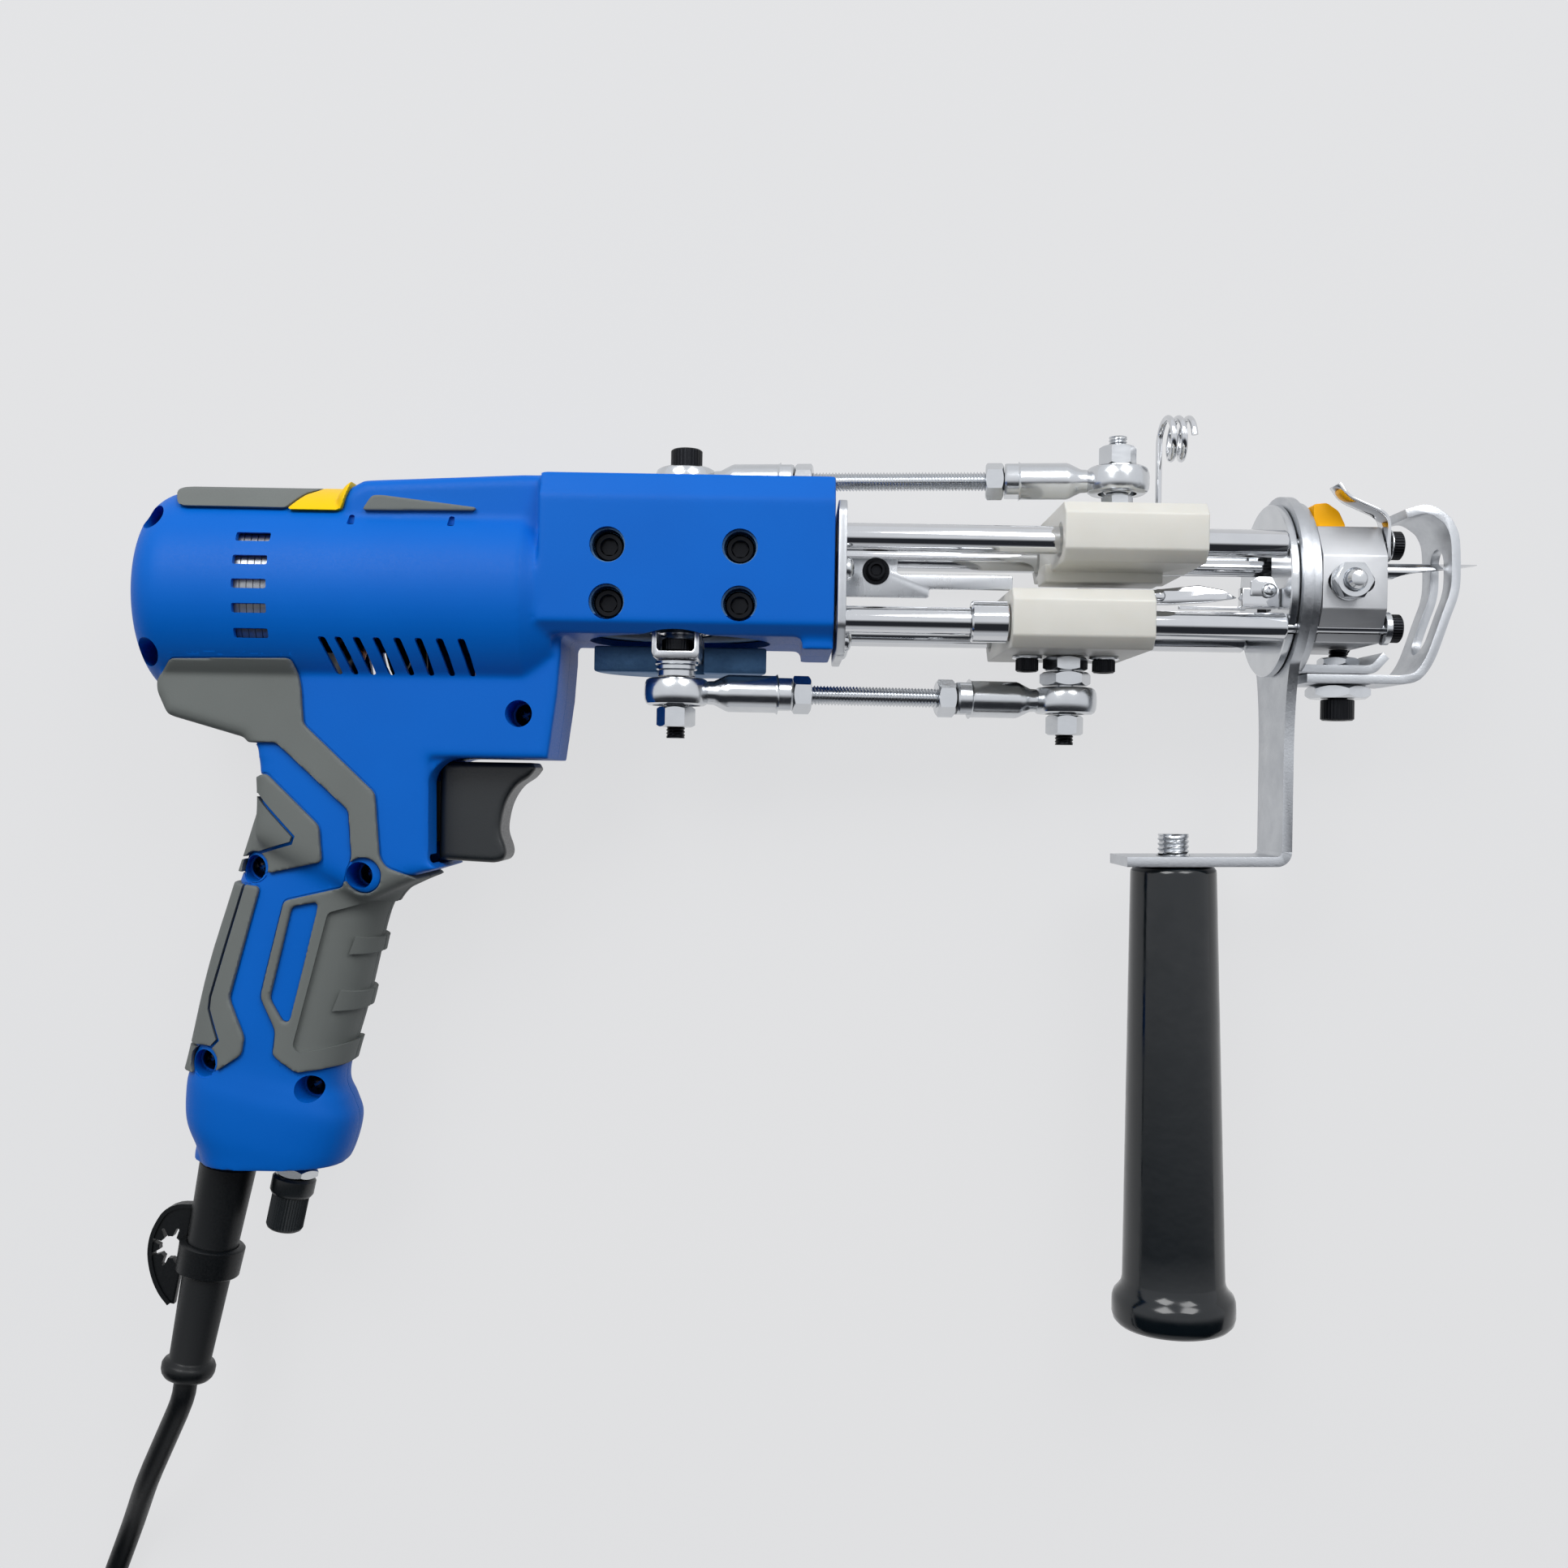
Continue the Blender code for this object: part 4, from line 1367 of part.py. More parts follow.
    # Cam block under the needle channel, at the back of the disc
    cam_end = DISC_X - SEAT_GAP
    block = box((cam_end - CAM_LENGTH, CAM_LOW_Y, CAM_Z),
                (cam_end, CAM_TOP_Y, CAM_Z + CAM_DEPTH))
    bar = box((CAM_BAR_X, CAM_LOW_Y - CAM_BAR_DROP, CAM_Z),
              (cam_end - CAM_LENGTH + OVERRUN, CAM_LOW_Y + CAM_BAR_DROP, CAM_Z + CAM_DEPTH * 0.4))
    plate_z = CAM_Z + CAM_DEPTH - SEAT_GAP
    cam_plate = prism(from_shares(CAM_PLATE_SHARES, (cam_end - CAM_LENGTH, CAM_LOW_Y),
                                  (CAM_LENGTH, CAM_PLATE_HEIGHT)), plate_z, plate_z + CAM_PLATE_THICKNESS)
    cam_screw = column(CAM_SCREW_RADIUS, plate_z + SEAT_GAP,
                       plate_z + CAM_PLATE_THICKNESS + CAM_SCREW_HEIGHT,
                       (cam_end - CAM_LENGTH * 0.3, CAM_LOW_Y + CAM_PLATE_HEIGHT * 0.55), 12)
    piece("cam_block", united(block, bar, cam_plate, cam_screw), "zinc_steel")

    # Presser foot: bent sheet with a long slot, held by a bolt under the tab
    spacer_top = tab_y - TAB_THICKNESS
    foot_top = spacer_top - SEAT_GAP
    line = [(FOOT_X, foot_top - FOOT_THICKNESS / 2)]
    line += [(x, foot_top - FOOT_THICKNESS / 2 + y)
             for x, y in from_shares(FOOT_SHARES, (FOOT_X, 0), (FOOT_REACH, FOOT_RISE))]
    sheet = strip(line, FOOT_THICKNESS, -FOOT_HALF_WIDTH, FOOT_HALF_WIDTH)
    needle_slot = box((FOOT_X + FOOT_REACH * 0.6, FOOT_SLOT_LOW_Y, -FOOT_SLOT_HALF_WIDTH),
                      (FOOT_X + FOOT_REACH * 1.2, FOOT_SLOT_TOP_Y, FOOT_SLOT_HALF_WIDTH))
    bolt_slot = box((FOOT_BOLT_X - FOOT_BOLT_RADIUS - FOOT_TRAVEL - SEAT_GAP,
                     foot_top - FOOT_THICKNESS - OVERRUN, -FOOT_BOLT_RADIUS - SEAT_GAP),
                    (FOOT_BOLT_X + FOOT_BOLT_RADIUS + FOOT_TRAVEL + SEAT_GAP, foot_top + OVERRUN,
                     FOOT_BOLT_RADIUS + SEAT_GAP))
    piece("presser_foot", cut(sheet, needle_slot, bolt_slot), "zinc_steel",
          (FOOT_BOLT_X, foot_top, 0))
    under = foot_top - FOOT_THICKNESS - SEAT_GAP
    bolt_end = tab_y + SEAT_GAP + FOOT_NUT_HEIGHT
    bolt = turned([(0, under - FOOT_SPACER_HEIGHT - SEAT_GAP - FOOT_HEAD_HEIGHT),
                   (SCREW_HEAD_RADIUS, under - FOOT_SPACER_HEIGHT - SEAT_GAP - FOOT_HEAD_HEIGHT),
                   (SCREW_HEAD_RADIUS, under - FOOT_SPACER_HEIGHT - SEAT_GAP),
                   (FOOT_BOLT_RADIUS, under - FOOT_SPACER_HEIGHT - SEAT_GAP),
                   (FOOT_BOLT_RADIUS, bolt_end), (0, bolt_end)], 14, bolt_line)
    spacer = hexagon(FOOT_SPACER_FLATS, 0, under - FOOT_SPACER_HEIGHT, under,
                     bolt_line)
    nut = hexagon(FOOT_NUT_FLATS, 0, tab_y + SEAT_GAP,
                  tab_y + SEAT_GAP + FOOT_NUT_HEIGHT * 0.5, bolt_line)
    piece("foot_bolt", united(bolt, spacer, nut), "zinc_steel")


def handle_frame():
    """Frame on the underside of the bracket's foot whose +Z runs down the handle."""
    bend_x = DISC_X + DISC_THICKNESS + SEAT_GAP + BRACKET_THICKNESS - BRACKET_BEND_RADIUS
    top = BRACKET_BEND_Y - (bend_x - HANDLE_X) * math.tan(BRACKET_SPLAY)
    turn = Matrix.Rotation(BRACKET_SPLAY, 4, 'Z') @ Matrix.Rotation(math.pi / 2, 4, 'X')
    return Matrix.Translation((HANDLE_X, top, 0)) @ turn


def make_handle():
    frame = handle_frame()
    bore = HANDLE_STUD_RADIUS + SEAT_GAP
    flange = HANDLE_LENGTH - HANDLE_FLANGE_LENGTH
    lip = HANDLE_FLANGE_RADIUS - HANDLE_END_RADIUS
    profile = [(bore, SEAT_GAP), (HANDLE_TOP_RADIUS - lip / 2, SEAT_GAP),
               (HANDLE_TOP_RADIUS, lip / 2)]
    for k in range(1, 6):
        share = k / 5
        profile.append((HANDLE_TOP_RADIUS + (HANDLE_END_RADIUS - HANDLE_TOP_RADIUS) * share,
                        flange * share))
    profile += [(HANDLE_FLANGE_RADIUS, flange + lip), (HANDLE_FLANGE_RADIUS, HANDLE_LENGTH - lip / 2),
                (HANDLE_FLANGE_RADIUS - lip / 2, HANDLE_LENGTH), (0, HANDLE_LENGTH)]
    profile = [(0, HANDLE_STUD_DEPTH + SEAT_GAP), (bore, HANDLE_STUD_DEPTH + SEAT_GAP)] + profile
    piece("front_handle", turned(profile, 16, frame), "black_plastic")
    nut_start = BRACKET_THICKNESS + SEAT_GAP
    stud = rod(HANDLE_STUD_RADIUS, -HANDLE_STUD_ABOVE - nut_start, HANDLE_STUD_DEPTH, 14, frame)
    piece("handle_stud", stud, "zinc_steel")


def smooth_line(knots, spacing):
    """Points along a Catmull-Rom curve through the knots."""
    points = [knots[0]]
    padded = [knots[0] * 2 - knots[1]] + knots + [knots[-1] * 2 - knots[-2]]
    for a, b, c, d in zip(padded, padded[1:], padded[2:], padded[3:]):
        steps = max(1, round((c - b).length / spacing))
        for k in range(1, steps + 1):
            t = k / steps
            points.append(0.5 * ((2 * b) + (c - a) * t + (2 * a - 5 * b + 4 * c - d) * t ** 2
                                 + (3 * b - a - 3 * c + d) * t ** 3))
    return points


def cord_points(low):
    """Free stretch: from the relief down to the floor, then beside the coil."""
    start = Vector((RELIEF_X, RELIEF_Y, 0))
    start += Vector(slant(RELIEF_TILT)) * (RELIEF_LENGTH + RELIEF_RING_LENGTH + SEAT_GAP * 2)
    knots = [start, start + Vector(slant(RELIEF_TILT)) * CORD_RADIUS * 2]
    for across, along, drop in CORD_KNOT_SHARES:
        knots.append(start + Vector((across * CORD_SPAN, along * CORD_SPAN, drop * low)))
    side = COIL_CENTRE_X - COIL_INNER_RADIUS - COIL_PITCH * COIL_LAYER_TURNS
    end_y = COIL_CENTRE_Y + CORD_RADIUS * 2 + SEAT_GAP
    knots.append(Vector((side, end_y + CORD_RADIUS * 2, low)))
    knots.append(Vector((side, end_y, low)))
    return smooth_line(knots, CORD_RADIUS * 5)


def coil_points(low):
    """Spiral inward, a climb in the half turn where it reverses, and outward again."""
    outer = COIL_INNER_RADIUS + COIL_PITCH * COIL_LAYER_TURNS
    count = COIL_LAYER_TURNS * COIL_LOOP_POINTS
    half = COIL_LOOP_POINTS // 2
    turns = [(outer - COIL_PITCH * k / COIL_LOOP_POINTS, 0) for k in range(count + 1)]
    turns += [(COIL_INNER_RADIUS - COIL_PITCH * math.sin(math.pi * k / half) / 3,
               (1 - math.cos(math.pi * k / half)) / 2) for k in range(1, half + 1)]
    back = count - COIL_LOOP_POINTS // 4
    turns += [(COIL_INNER_RADIUS + COIL_PITCH * k / COIL_LOOP_POINTS, 1) for k in range(1, back + 1)]
    points = [Vector((COIL_CENTRE_X - outer, COIL_CENTRE_Y + CORD_RADIUS * 2, low))]
    for k, (radius, rise) in enumerate(turns):
        angle = math.pi + math.tau * k / COIL_LOOP_POINTS
        points.append(Vector((COIL_CENTRE_X + radius * math.cos(angle),
                              COIL_CENTRE_Y + radius * math.sin(angle), low + COIL_PITCH * rise)))
    last = points[-1]
    points.append(last + Vector((CORD_RADIUS * 2, 0, 0)))
    points.append(last + Vector((CORD_RADIUS * 5, 0, 0)))
    points.append(last + Vector((CORD_RADIUS * 9, 0, (PLUG_HEIGHT / 2 - CORD_RADIUS) - COIL_PITCH)))
    points.append(points[-1] + Vector((CORD_RADIUS * 2, 0, 0)))
    return points


def self_gap(points):
    """Least face to face distance between stretches that are apart along the line."""
    apart = COIL_LOOP_POINTS // 3
    least = min((a - b).length for i, a in enumerate(points) for b in points[i + apart:])
    return least - CORD_RADIUS * 2


def cord_object(name, points, sides):
    curve = bpy.data.curves.new(name, 'CURVE')
    curve.dimensions = '3D'
    curve.bevel_depth = CORD_RADIUS
    curve.bevel_resolution = sides
    curve.use_fill_caps = True
    line = curve.splines.new('POLY')
    line.points.add(len(points) - 1)
    for point, place in zip(line.points, points):
        point.co = (*place, 1)
    curve.materials.append(finish_of("black_rubber"))
    made = bpy.data.objects.new(name, curve)
    made.parent = MACHINE
    bpy.context.collection.objects.link(made)


def make_cord(floor):
    low = floor + CORD_RADIUS + SEAT_GAP
    free = cord_points(low)
    cord_object("cord", free, 2)
    coil = coil_points(low)
    cord_object("cord_coil", coil, 1)
    print("cord points", [tuple(round(v, 5) for v in point) for point in free])
    length = sum((b - a).length for line in (free, coil) for a, b in zip(line, line[1:]))
    print("cord length", round(length, 4), "least coil gap", round(self_gap(coil), 5))
    end = coil[-1]
    start = SEAT_GAP
    half = PLUG_HEIGHT / 2
    wide = PLUG_WIDTH / 2
    outline = [(-wide, start + PLUG_LENGTH * 0.45), (-wide * 0.45, start), (wide * 0.45, start),
               (wide, start + PLUG_LENGTH * 0.45), (wide, start + PLUG_LENGTH),
               (-wide, start + PLUG_LENGTH)]
    frame = Matrix.Translation(end) @ Matrix.Rotation(-math.pi / 2, 4, 'Z')
    body = prism(outline, -half, half, frame, SEAT_GAP * 4)
    pins = [rod(PLUG_PIN_RADIUS, start + PLUG_LENGTH - OVERRUN, start + PLUG_LENGTH + PLUG_PIN_LENGTH,
                10, frame @ Matrix.Translation((side * PLUG_PIN_SPACING / 2, 0, 0)) @ ALONG_Y)
            for side in (1, -1)]
    piece("cord_plug", united(body, *pins), "black_rubber")


def lowest_and_middle():
    """Box of everything made so far, in the working frame."""
    corners = []
    bpy.context.view_layer.update()
    for thing in MACHINE.children:
        corners += [thing.matrix_world @ Vector(corner) for corner in thing.bound_box]
    lows = [min(c[k] for c in corners) for k in range(3)]
    highs = [max(c[k] for c in corners) for k in range(3)]
    return lows, highs


make_shells()
make_top_strips()
make_trigger()
make_grip_base()
make_drive()
make_crank()
make_link(True)
make_link(False)
make_carriages()
make_blades()
make_barrel()
make_front()
make_handle()
lows, highs = lowest_and_middle()
make_cord(lows[2])
MACHINE.location = (-(lows[0] + highs[0]) / 2, -(lows[1] + highs[1]) / 2, -lows[2])
bpy.context.view_layer.update()
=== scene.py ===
import math
import bmesh
import bpy
from mathutils import Matrix, Vector


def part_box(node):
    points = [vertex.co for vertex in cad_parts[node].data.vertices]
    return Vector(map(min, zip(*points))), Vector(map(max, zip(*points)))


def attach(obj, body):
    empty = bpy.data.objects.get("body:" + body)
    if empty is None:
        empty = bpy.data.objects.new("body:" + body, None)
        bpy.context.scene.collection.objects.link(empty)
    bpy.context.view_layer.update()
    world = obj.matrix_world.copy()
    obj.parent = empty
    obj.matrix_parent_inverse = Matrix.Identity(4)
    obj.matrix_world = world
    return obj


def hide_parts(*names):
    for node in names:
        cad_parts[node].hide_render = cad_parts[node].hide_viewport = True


# Handheld tufting machine lying on its left side, in its own parts and finishes.
# Lengths are millimetres in the machine's own frame: crank axis at X 0, barrel axis at Y 0,
# seam at Z 0, +X to the needle, +Y to its top, +Z out of its right side.

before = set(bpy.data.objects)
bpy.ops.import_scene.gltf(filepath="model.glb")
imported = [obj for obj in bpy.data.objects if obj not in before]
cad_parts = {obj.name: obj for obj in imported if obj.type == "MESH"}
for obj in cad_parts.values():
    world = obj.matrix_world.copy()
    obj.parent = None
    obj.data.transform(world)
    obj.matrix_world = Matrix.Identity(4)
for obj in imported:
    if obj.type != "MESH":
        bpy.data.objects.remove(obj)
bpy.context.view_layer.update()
low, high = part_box("crank_shaft")
machineOrigin = (low + high) / 2
toRow = Matrix.Translation(machineOrigin) @ Matrix.Scale(0.001, 4)
alongX = Matrix(((0, 0, 1), (1, 0, 0), (0, 1, 0))).to_4x4()  # turns a shape's Z onto the barrel's X
alongY = Matrix(((0, 1, 0), (0, 0, 1), (1, 0, 0))).to_4x4()
identity = Matrix.Identity(4)
halfTurn = Matrix.Rotation(math.pi, 4, 'X')
downward = Matrix(((1, 0, 0, 0), (0, 0, -1, 0), (0, 1, 0, 0), (0, 0, 0, 1)))  # and its Z onto the machine's -Y
print("frame loaded, origin", [round(v, 4) for v in machineOrigin])


# Shapes
def shifted(x, y=0, z=0):
    return Matrix.Translation((x, y, z))


def alongAt(y, z):  # a line parallel to the barrel
    return shifted(0, y, z) @ alongX


def placed(bm, matrix):
    bmesh.ops.transform(bm, matrix=matrix, verts=bm.verts)
    bmesh.ops.recalc_face_normals(bm, faces=bm.faces)
    return bm


def turned(profile, steps=64, matrix=identity, closed=False):
    bm = bmesh.new()
    verts = [bm.verts.new((r, 0, h)) for r, h in profile]
    ends = verts[1:] + verts[:1] if closed else verts[1:]
    edges = [bm.edges.new(pair) for pair in zip(verts, ends)]
    bmesh.ops.spin(bm, geom=verts + edges, cent=(0, 0, 0), axis=(0, 0, 1),
                   angle=math.tau, steps=steps, use_merge=True)
    bmesh.ops.remove_doubles(bm, verts=bm.verts, dist=0.002)
    return placed(bm, matrix)


def rod(radius, start, end, matrix=identity, steps=48, edge=0.25):
    edge = min(edge, radius * 0.4)
    return turned([(0, start), (radius - edge, start), (radius, start + edge), (radius, end - edge),
                   (radius - edge, end), (0, end)], steps, matrix)


def ring(outer, bore, start, end, matrix=identity, steps=48, edge=0.2):
    return turned([(bore, start), (outer - edge, start), (outer, start + edge), (outer, end - edge),
                   (outer - edge, end), (bore, end)], steps, matrix, True)


def prism(outline, start, end, matrix=identity, edge=0, segments=3):
    bm = bmesh.new()
    face = bm.faces.new([bm.verts.new((x, y, start)) for x, y in outline])
    moved = bmesh.ops.extrude_face_region(bm, geom=[face])["geom"]
    top = [item for item in moved if isinstance(item, bmesh.types.BMVert)]
    bmesh.ops.translate(bm, verts=top, vec=(0, 0, end - start))
    bmesh.ops.recalc_face_normals(bm, faces=bm.faces)
    if edge:
        rim = [e for e in bm.edges if abs(e.verts[0].co.z - e.verts[1].co.z) < 0.001]
        bmesh.ops.bevel(bm, geom=rim, offset=edge, segments=segments, affect='EDGES', profile=0.5,
                        clamp_overlap=True)
    return placed(bm, matrix)


def box(lowCorner, highCorner, matrix=identity):
    (x, y, z), (X, Y, Z) = lowCorner, highCorner
    return prism([(x, y), (X, y), (X, Y), (x, Y)], z, Z, matrix)


def rounded(outline, radius, steps=4):  # the outline with its corners turned into arcs
    points = []
    count = len(outline)
    for k in range(count):
        before, here, after = (Vector(outline[(k + d) % count]) for d in (-1, 0, 1))
        back, ahead = before - here, after - here
        reach = min(radius, back.length * 0.45, ahead.length * 0.45)
        start, end = here + back.normalized() * reach, here + ahead.normalized() * reach
        for s in range(steps + 1):
            t = s / steps
            points.append(tuple(start * (1 - t) ** 2 + here * 2 * t * (1 - t) + end * t * t))
    return points


def strip(centreLine, thickness, start, end, matrix=identity):  # bent sheet
    left, right = [], []
    for k, place in enumerate(centreLine):
        here = Vector(place)
        normals = []
        for a, b in ((centreLine[max(k - 1, 0)], place),
                     (place, centreLine[min(k + 1, len(centreLine) - 1)])):
            along = Vector(b) - Vector(a)
            if along.length > 0.001:
                along.normalize()
                normals.append(Vector((-along.y, along.x)))
        mean = sum(normals, Vector((0, 0))).normalized()
        side = mean * (thickness / 2 / max(mean.dot(normals[0]), 0.5))
        left.append(tuple(here + side))
        right.append(tuple(here - side))
    return prism(left + right[::-1], start, end, matrix)


def hexOutline(flats):
    corner = flats / 1.732
    return [(corner * math.cos(math.tau * k / 6), corner * math.sin(math.tau * k / 6)) for k in range(6)]


def hexagon(flats, start, end, matrix=identity, chamfer=0.1225):  # nut with turned corners
    corner, inner = flats / 1.732 + 0.2, flats / 2 * 0.98
    drop = flats / 1.732 * chamfer
    tool = turned([(0, start - 1), (inner, start - 0.001), (corner, start + drop), (corner, end - drop),
                   (inner, end + 0.001), (0, end + 1)], 48)
    return placed(common(prism(hexOutline(flats), start, end), tool), matrix)


def joined(*parts):
    whole = bmesh.new()
    for part in parts:
        mesh = bpy.data.meshes.new("part")
        part.to_mesh(mesh)
        whole.from_mesh(mesh)
        bpy.data.meshes.remove(mesh)
    return whole


def smoothLine(knots, spacing=1, times=0):  # a curve through all the knots
    knots = [Vector(k) for k in knots]
    points = [knots[0]]
    padded = [knots[0] * 2 - knots[1]] + knots + [knots[-1] * 2 - knots[-2]]
    for a, b, c, d in zip(padded, padded[1:], padded[2:], padded[3:]):
        steps = times or max(1, round((c - b).length / spacing))
        for k in range(1, steps + 1):
            t = k / steps
            points.append(0.5 * ((2 * b) + (c - a) * t + (2 * a - 5 * b + 4 * c - d) * t ** 2
                                 + (3 * b - a - 3 * c + d) * t ** 3))
    return points


def flatLine(knots, spacing):
    return [tuple(point) for point in smoothLine(knots, spacing)]


def meshOf(thing):
    return bpy.data.meshes.new_from_object(thing.evaluated_get(bpy.context.evaluated_depsgraph_get()))


def holderOf(bm, name="operand"):
    mesh = bpy.data.meshes.new(name)
    bm.to_mesh(mesh)
    holder = bpy.data.objects.new(name, mesh)
    bpy.context.collection.objects.link(holder)
    return holder


def bmeshOf(mesh):
    bm = bmesh.new()
    bm.from_mesh(mesh)
    bpy.data.meshes.remove(mesh)
    return bm


def discard(*holders):
    for holder in holders:
        data = holder.data
        bpy.data.objects.remove(holder, do_unlink=True)
        (bpy.data.curves if isinstance(data, bpy.types.Curve) else bpy.data.meshes).remove(data)


def boolean(first, second, operation):
    holders = [holderOf(first), holderOf(second)]
    step = holders[0].modifiers.new("step", 'BOOLEAN')
    step.operation, step.solver, step.object = operation, 'EXACT', holders[1]
    result = bmeshOf(meshOf(holders[0]))
    discard(*holders)
    bmesh.ops.dissolve_degenerate(result, edges=result.edges, dist=0.002)
    return result


def united(first, *others):
    for other in others:
        first = boolean(first, other, 'UNION')
    return first


def cut(first, *others):
    for other in others:
        first = boolean(first, other, 'DIFFERENCE')
    return first


def common(first, second):
    return boolean(first, second, 'INTERSECT')


def tube(points, radius, sides=6):
    curve = bpy.data.curves.new("wire", 'CURVE')
    curve.dimensions = '3D'
    curve.bevel_depth, curve.bevel_resolution, curve.use_fill_caps = radius, sides, True
    line = curve.splines.new('POLY')
    line.points.add(len(points) - 1)
    for point, place in zip(line.points, points):
        point.co = (*place, 1)
    holder = bpy.data.objects.new("wire", curve)
    bpy.context.collection.objects.link(holder)
    bm = bmeshOf(meshOf(holder))
    discard(holder)
    bmesh.ops.remove_doubles(bm, verts=bm.verts, dist=0.002)
    bmesh.ops.recalc_face_normals(bm, faces=bm.faces)
    return bm


def moulded(bm, voxel, passes, factor=0.5):  # soft fillets, as a moulding has them
    holder = holderOf(bm)
    remesh = holder.modifiers.new("remesh", 'REMESH')
    remesh.mode, remesh.voxel_size, remesh.adaptivity = 'VOXEL', voxel, 0
    soften = holder.modifiers.new("soften", 'SMOOTH')
    soften.factor, soften.iterations = factor, passes
    result = bmeshOf(meshOf(holder))
    discard(holder)
    return result


def bevelled(bm, width, segments=2, angle=32):
    holder = holderOf(bm)
    step = holder.modifiers.new("edge", 'BEVEL')
    step.width, step.segments, step.limit_method = width, segments, 'ANGLE'
    step.angle_limit, step.use_clamp_overlap, step.miter_outer = math.radians(angle), True, 'MITER_ARC'
    result = bmeshOf(meshOf(holder))
    discard(holder)
    return result


def threaded(radius, depth, pitch, start, end, matrix=identity, steps=28):  # real helical thread
    bm = bmesh.new()
    rows = max(2, round((end - start) / pitch * 6))
    loops = []
    for row in range(rows + 1):
        height = start + (end - start) * row / rows
        fade = min(1, (height - start) / pitch, (end - height) / pitch)
        loop = []
        for k in range(steps):
            phase = ((height - start) / pitch - k / steps) % 1
            wave = 1 - abs(2 * phase - 1)
            reach = radius - depth * (1 - wave) * max(fade, 0) - depth * 0.3 * (1 - max(fade, 0))
            angle = math.tau * k / steps
            loop.append(bm.verts.new((reach * math.cos(angle), reach * math.sin(angle), height)))
        loops.append(loop)
    for lowRow, highRow in zip(loops, loops[1:]):
        for k in range(steps):
            n = (k + 1) % steps
            bm.faces.new((lowRow[k], lowRow[n], highRow[n], highRow[k]))
    bm.faces.new(loops[0][::-1])
    bm.faces.new(loops[-1])
    return placed(bm, matrix)


def makePiece(name, bm, material, body, replaces=(), smooth=35):
    bmesh.ops.transform(bm, matrix=toRow, verts=bm.verts)
    mesh = bpy.data.meshes.new(name)
    bm.to_mesh(mesh)
    bm.free()
    mesh.materials.append(material)
    mesh.shade_smooth()
    mesh.set_sharp_from_angle(angle=math.radians(smooth))
    made = bpy.data.objects.new(name, mesh)
    bpy.context.collection.objects.link(made)
    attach(made, body)
    if replaces:
        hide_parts(*replaces)
    return made


# Finishes
def linear(code):
    values = [int(code[k:k + 2], 16) / 255 for k in (1, 3, 5)]
    return (*[v / 12.92 if v <= 0.04045 else ((v + 0.055) / 1.055) ** 2.4 for v in values], 1)


def addNode(tree, kind, settings=None, links=None):
    node = tree.nodes.new(kind)
    for key, value in (settings or {}).items():
        if isinstance(key, str) and hasattr(node, key):
            setattr(node, key, value)
        else:
            node.inputs[key].default_value = value
    for key, source in (links or {}).items():
        tree.links.new(source, node.inputs[key])
    return node


def newMaterial(name, roughness=0.5, metallic=0.0, ior=None, coat=0.0, subsurface=0.0):
    material = bpy.data.materials.new(name)
    material.use_nodes = True
    tree = material.node_tree
    shader = tree.nodes["Principled BSDF"]
    shader.inputs["Roughness"].default_value = roughness
    shader.inputs["Metallic"].default_value = metallic
    if ior:
        shader.inputs["IOR"].default_value = ior
    if coat:
        shader.inputs["Coat Weight"].default_value = coat
        shader.inputs["Coat Roughness"].default_value = 0.1
    if subsurface:
        shader.inputs["Subsurface Weight"].default_value = subsurface
        shader.inputs["Subsurface Radius"].default_value = (0.004, 0.0035, 0.003)
        shader.inputs["Subsurface Scale"].default_value = 1.0
    place = addNode(tree, "ShaderNodeTexCoord").outputs["Object"]
    return material, tree, shader, place


def blended(tree, factor, first, second):
    mix = addNode(tree, "ShaderNodeMix", {"data_type": 'RGBA'})
    tree.links.new(factor, mix.inputs[0])
    mix.inputs[6].default_value = first
    mix.inputs[7].default_value = second
    return mix.outputs[2]


def spread(tree, value, low, high, fromLow=0.0, fromHigh=1.0):
    return addNode(tree, "ShaderNodeMapRange", {1: fromLow, 2: fromHigh, 3: low, 4: high},
                   {0: value}).outputs[0]


def larger(tree, first, second):
    return addNode(tree, "ShaderNodeMath", {"operation": 'MAXIMUM'}, {0: first, 1: second}).outputs[0]


def noise(tree, place, millimetres, detail=3, roughness=0.55):
    return addNode(tree, "ShaderNodeTexNoise",
                   {"Scale": 1000 / millimetres, "Detail": detail, "Roughness": roughness},
                   {"Vector": place}).outputs["Fac"]


def stretched(tree, place, scale):
    return addNode(tree, "ShaderNodeMapping", {"Scale": scale}, {"Vector": place}).outputs[0]


def raised(tree, shader, height, millimetres, strength=1.0):
    bump = addNode(tree, "ShaderNodeBump", {"Strength": strength, "Distance": millimetres / 1000},
                   {"Height": height})
    tree.links.new(bump.outputs[0], shader.inputs["Normal"])


def mouldedPlastic(name, colour, shade, roughness, grain, depth, ior=1.53, coat=0.0, glint=0.5):
    # A moulded skin: fine spark-eroded grain breaks up the highlight, and the colour drifts a little
    material, tree, shader, place = newMaterial(name, roughness, 0.0, ior, coat)
    cloud = noise(tree, place, 26, 2)
    tree.links.new(blended(tree, cloud, linear(colour), linear(shade)), shader.inputs["Base Color"])
    fine = noise(tree, place, grain, 2)
    tree.links.new(spread(tree, fine, roughness - 0.06, roughness + 0.08, 0.3, 0.7),
                   shader.inputs["Roughness"])
    raised(tree, shader, fine, depth)
    shader.inputs["Specular IOR Level"].default_value = glint
    return material


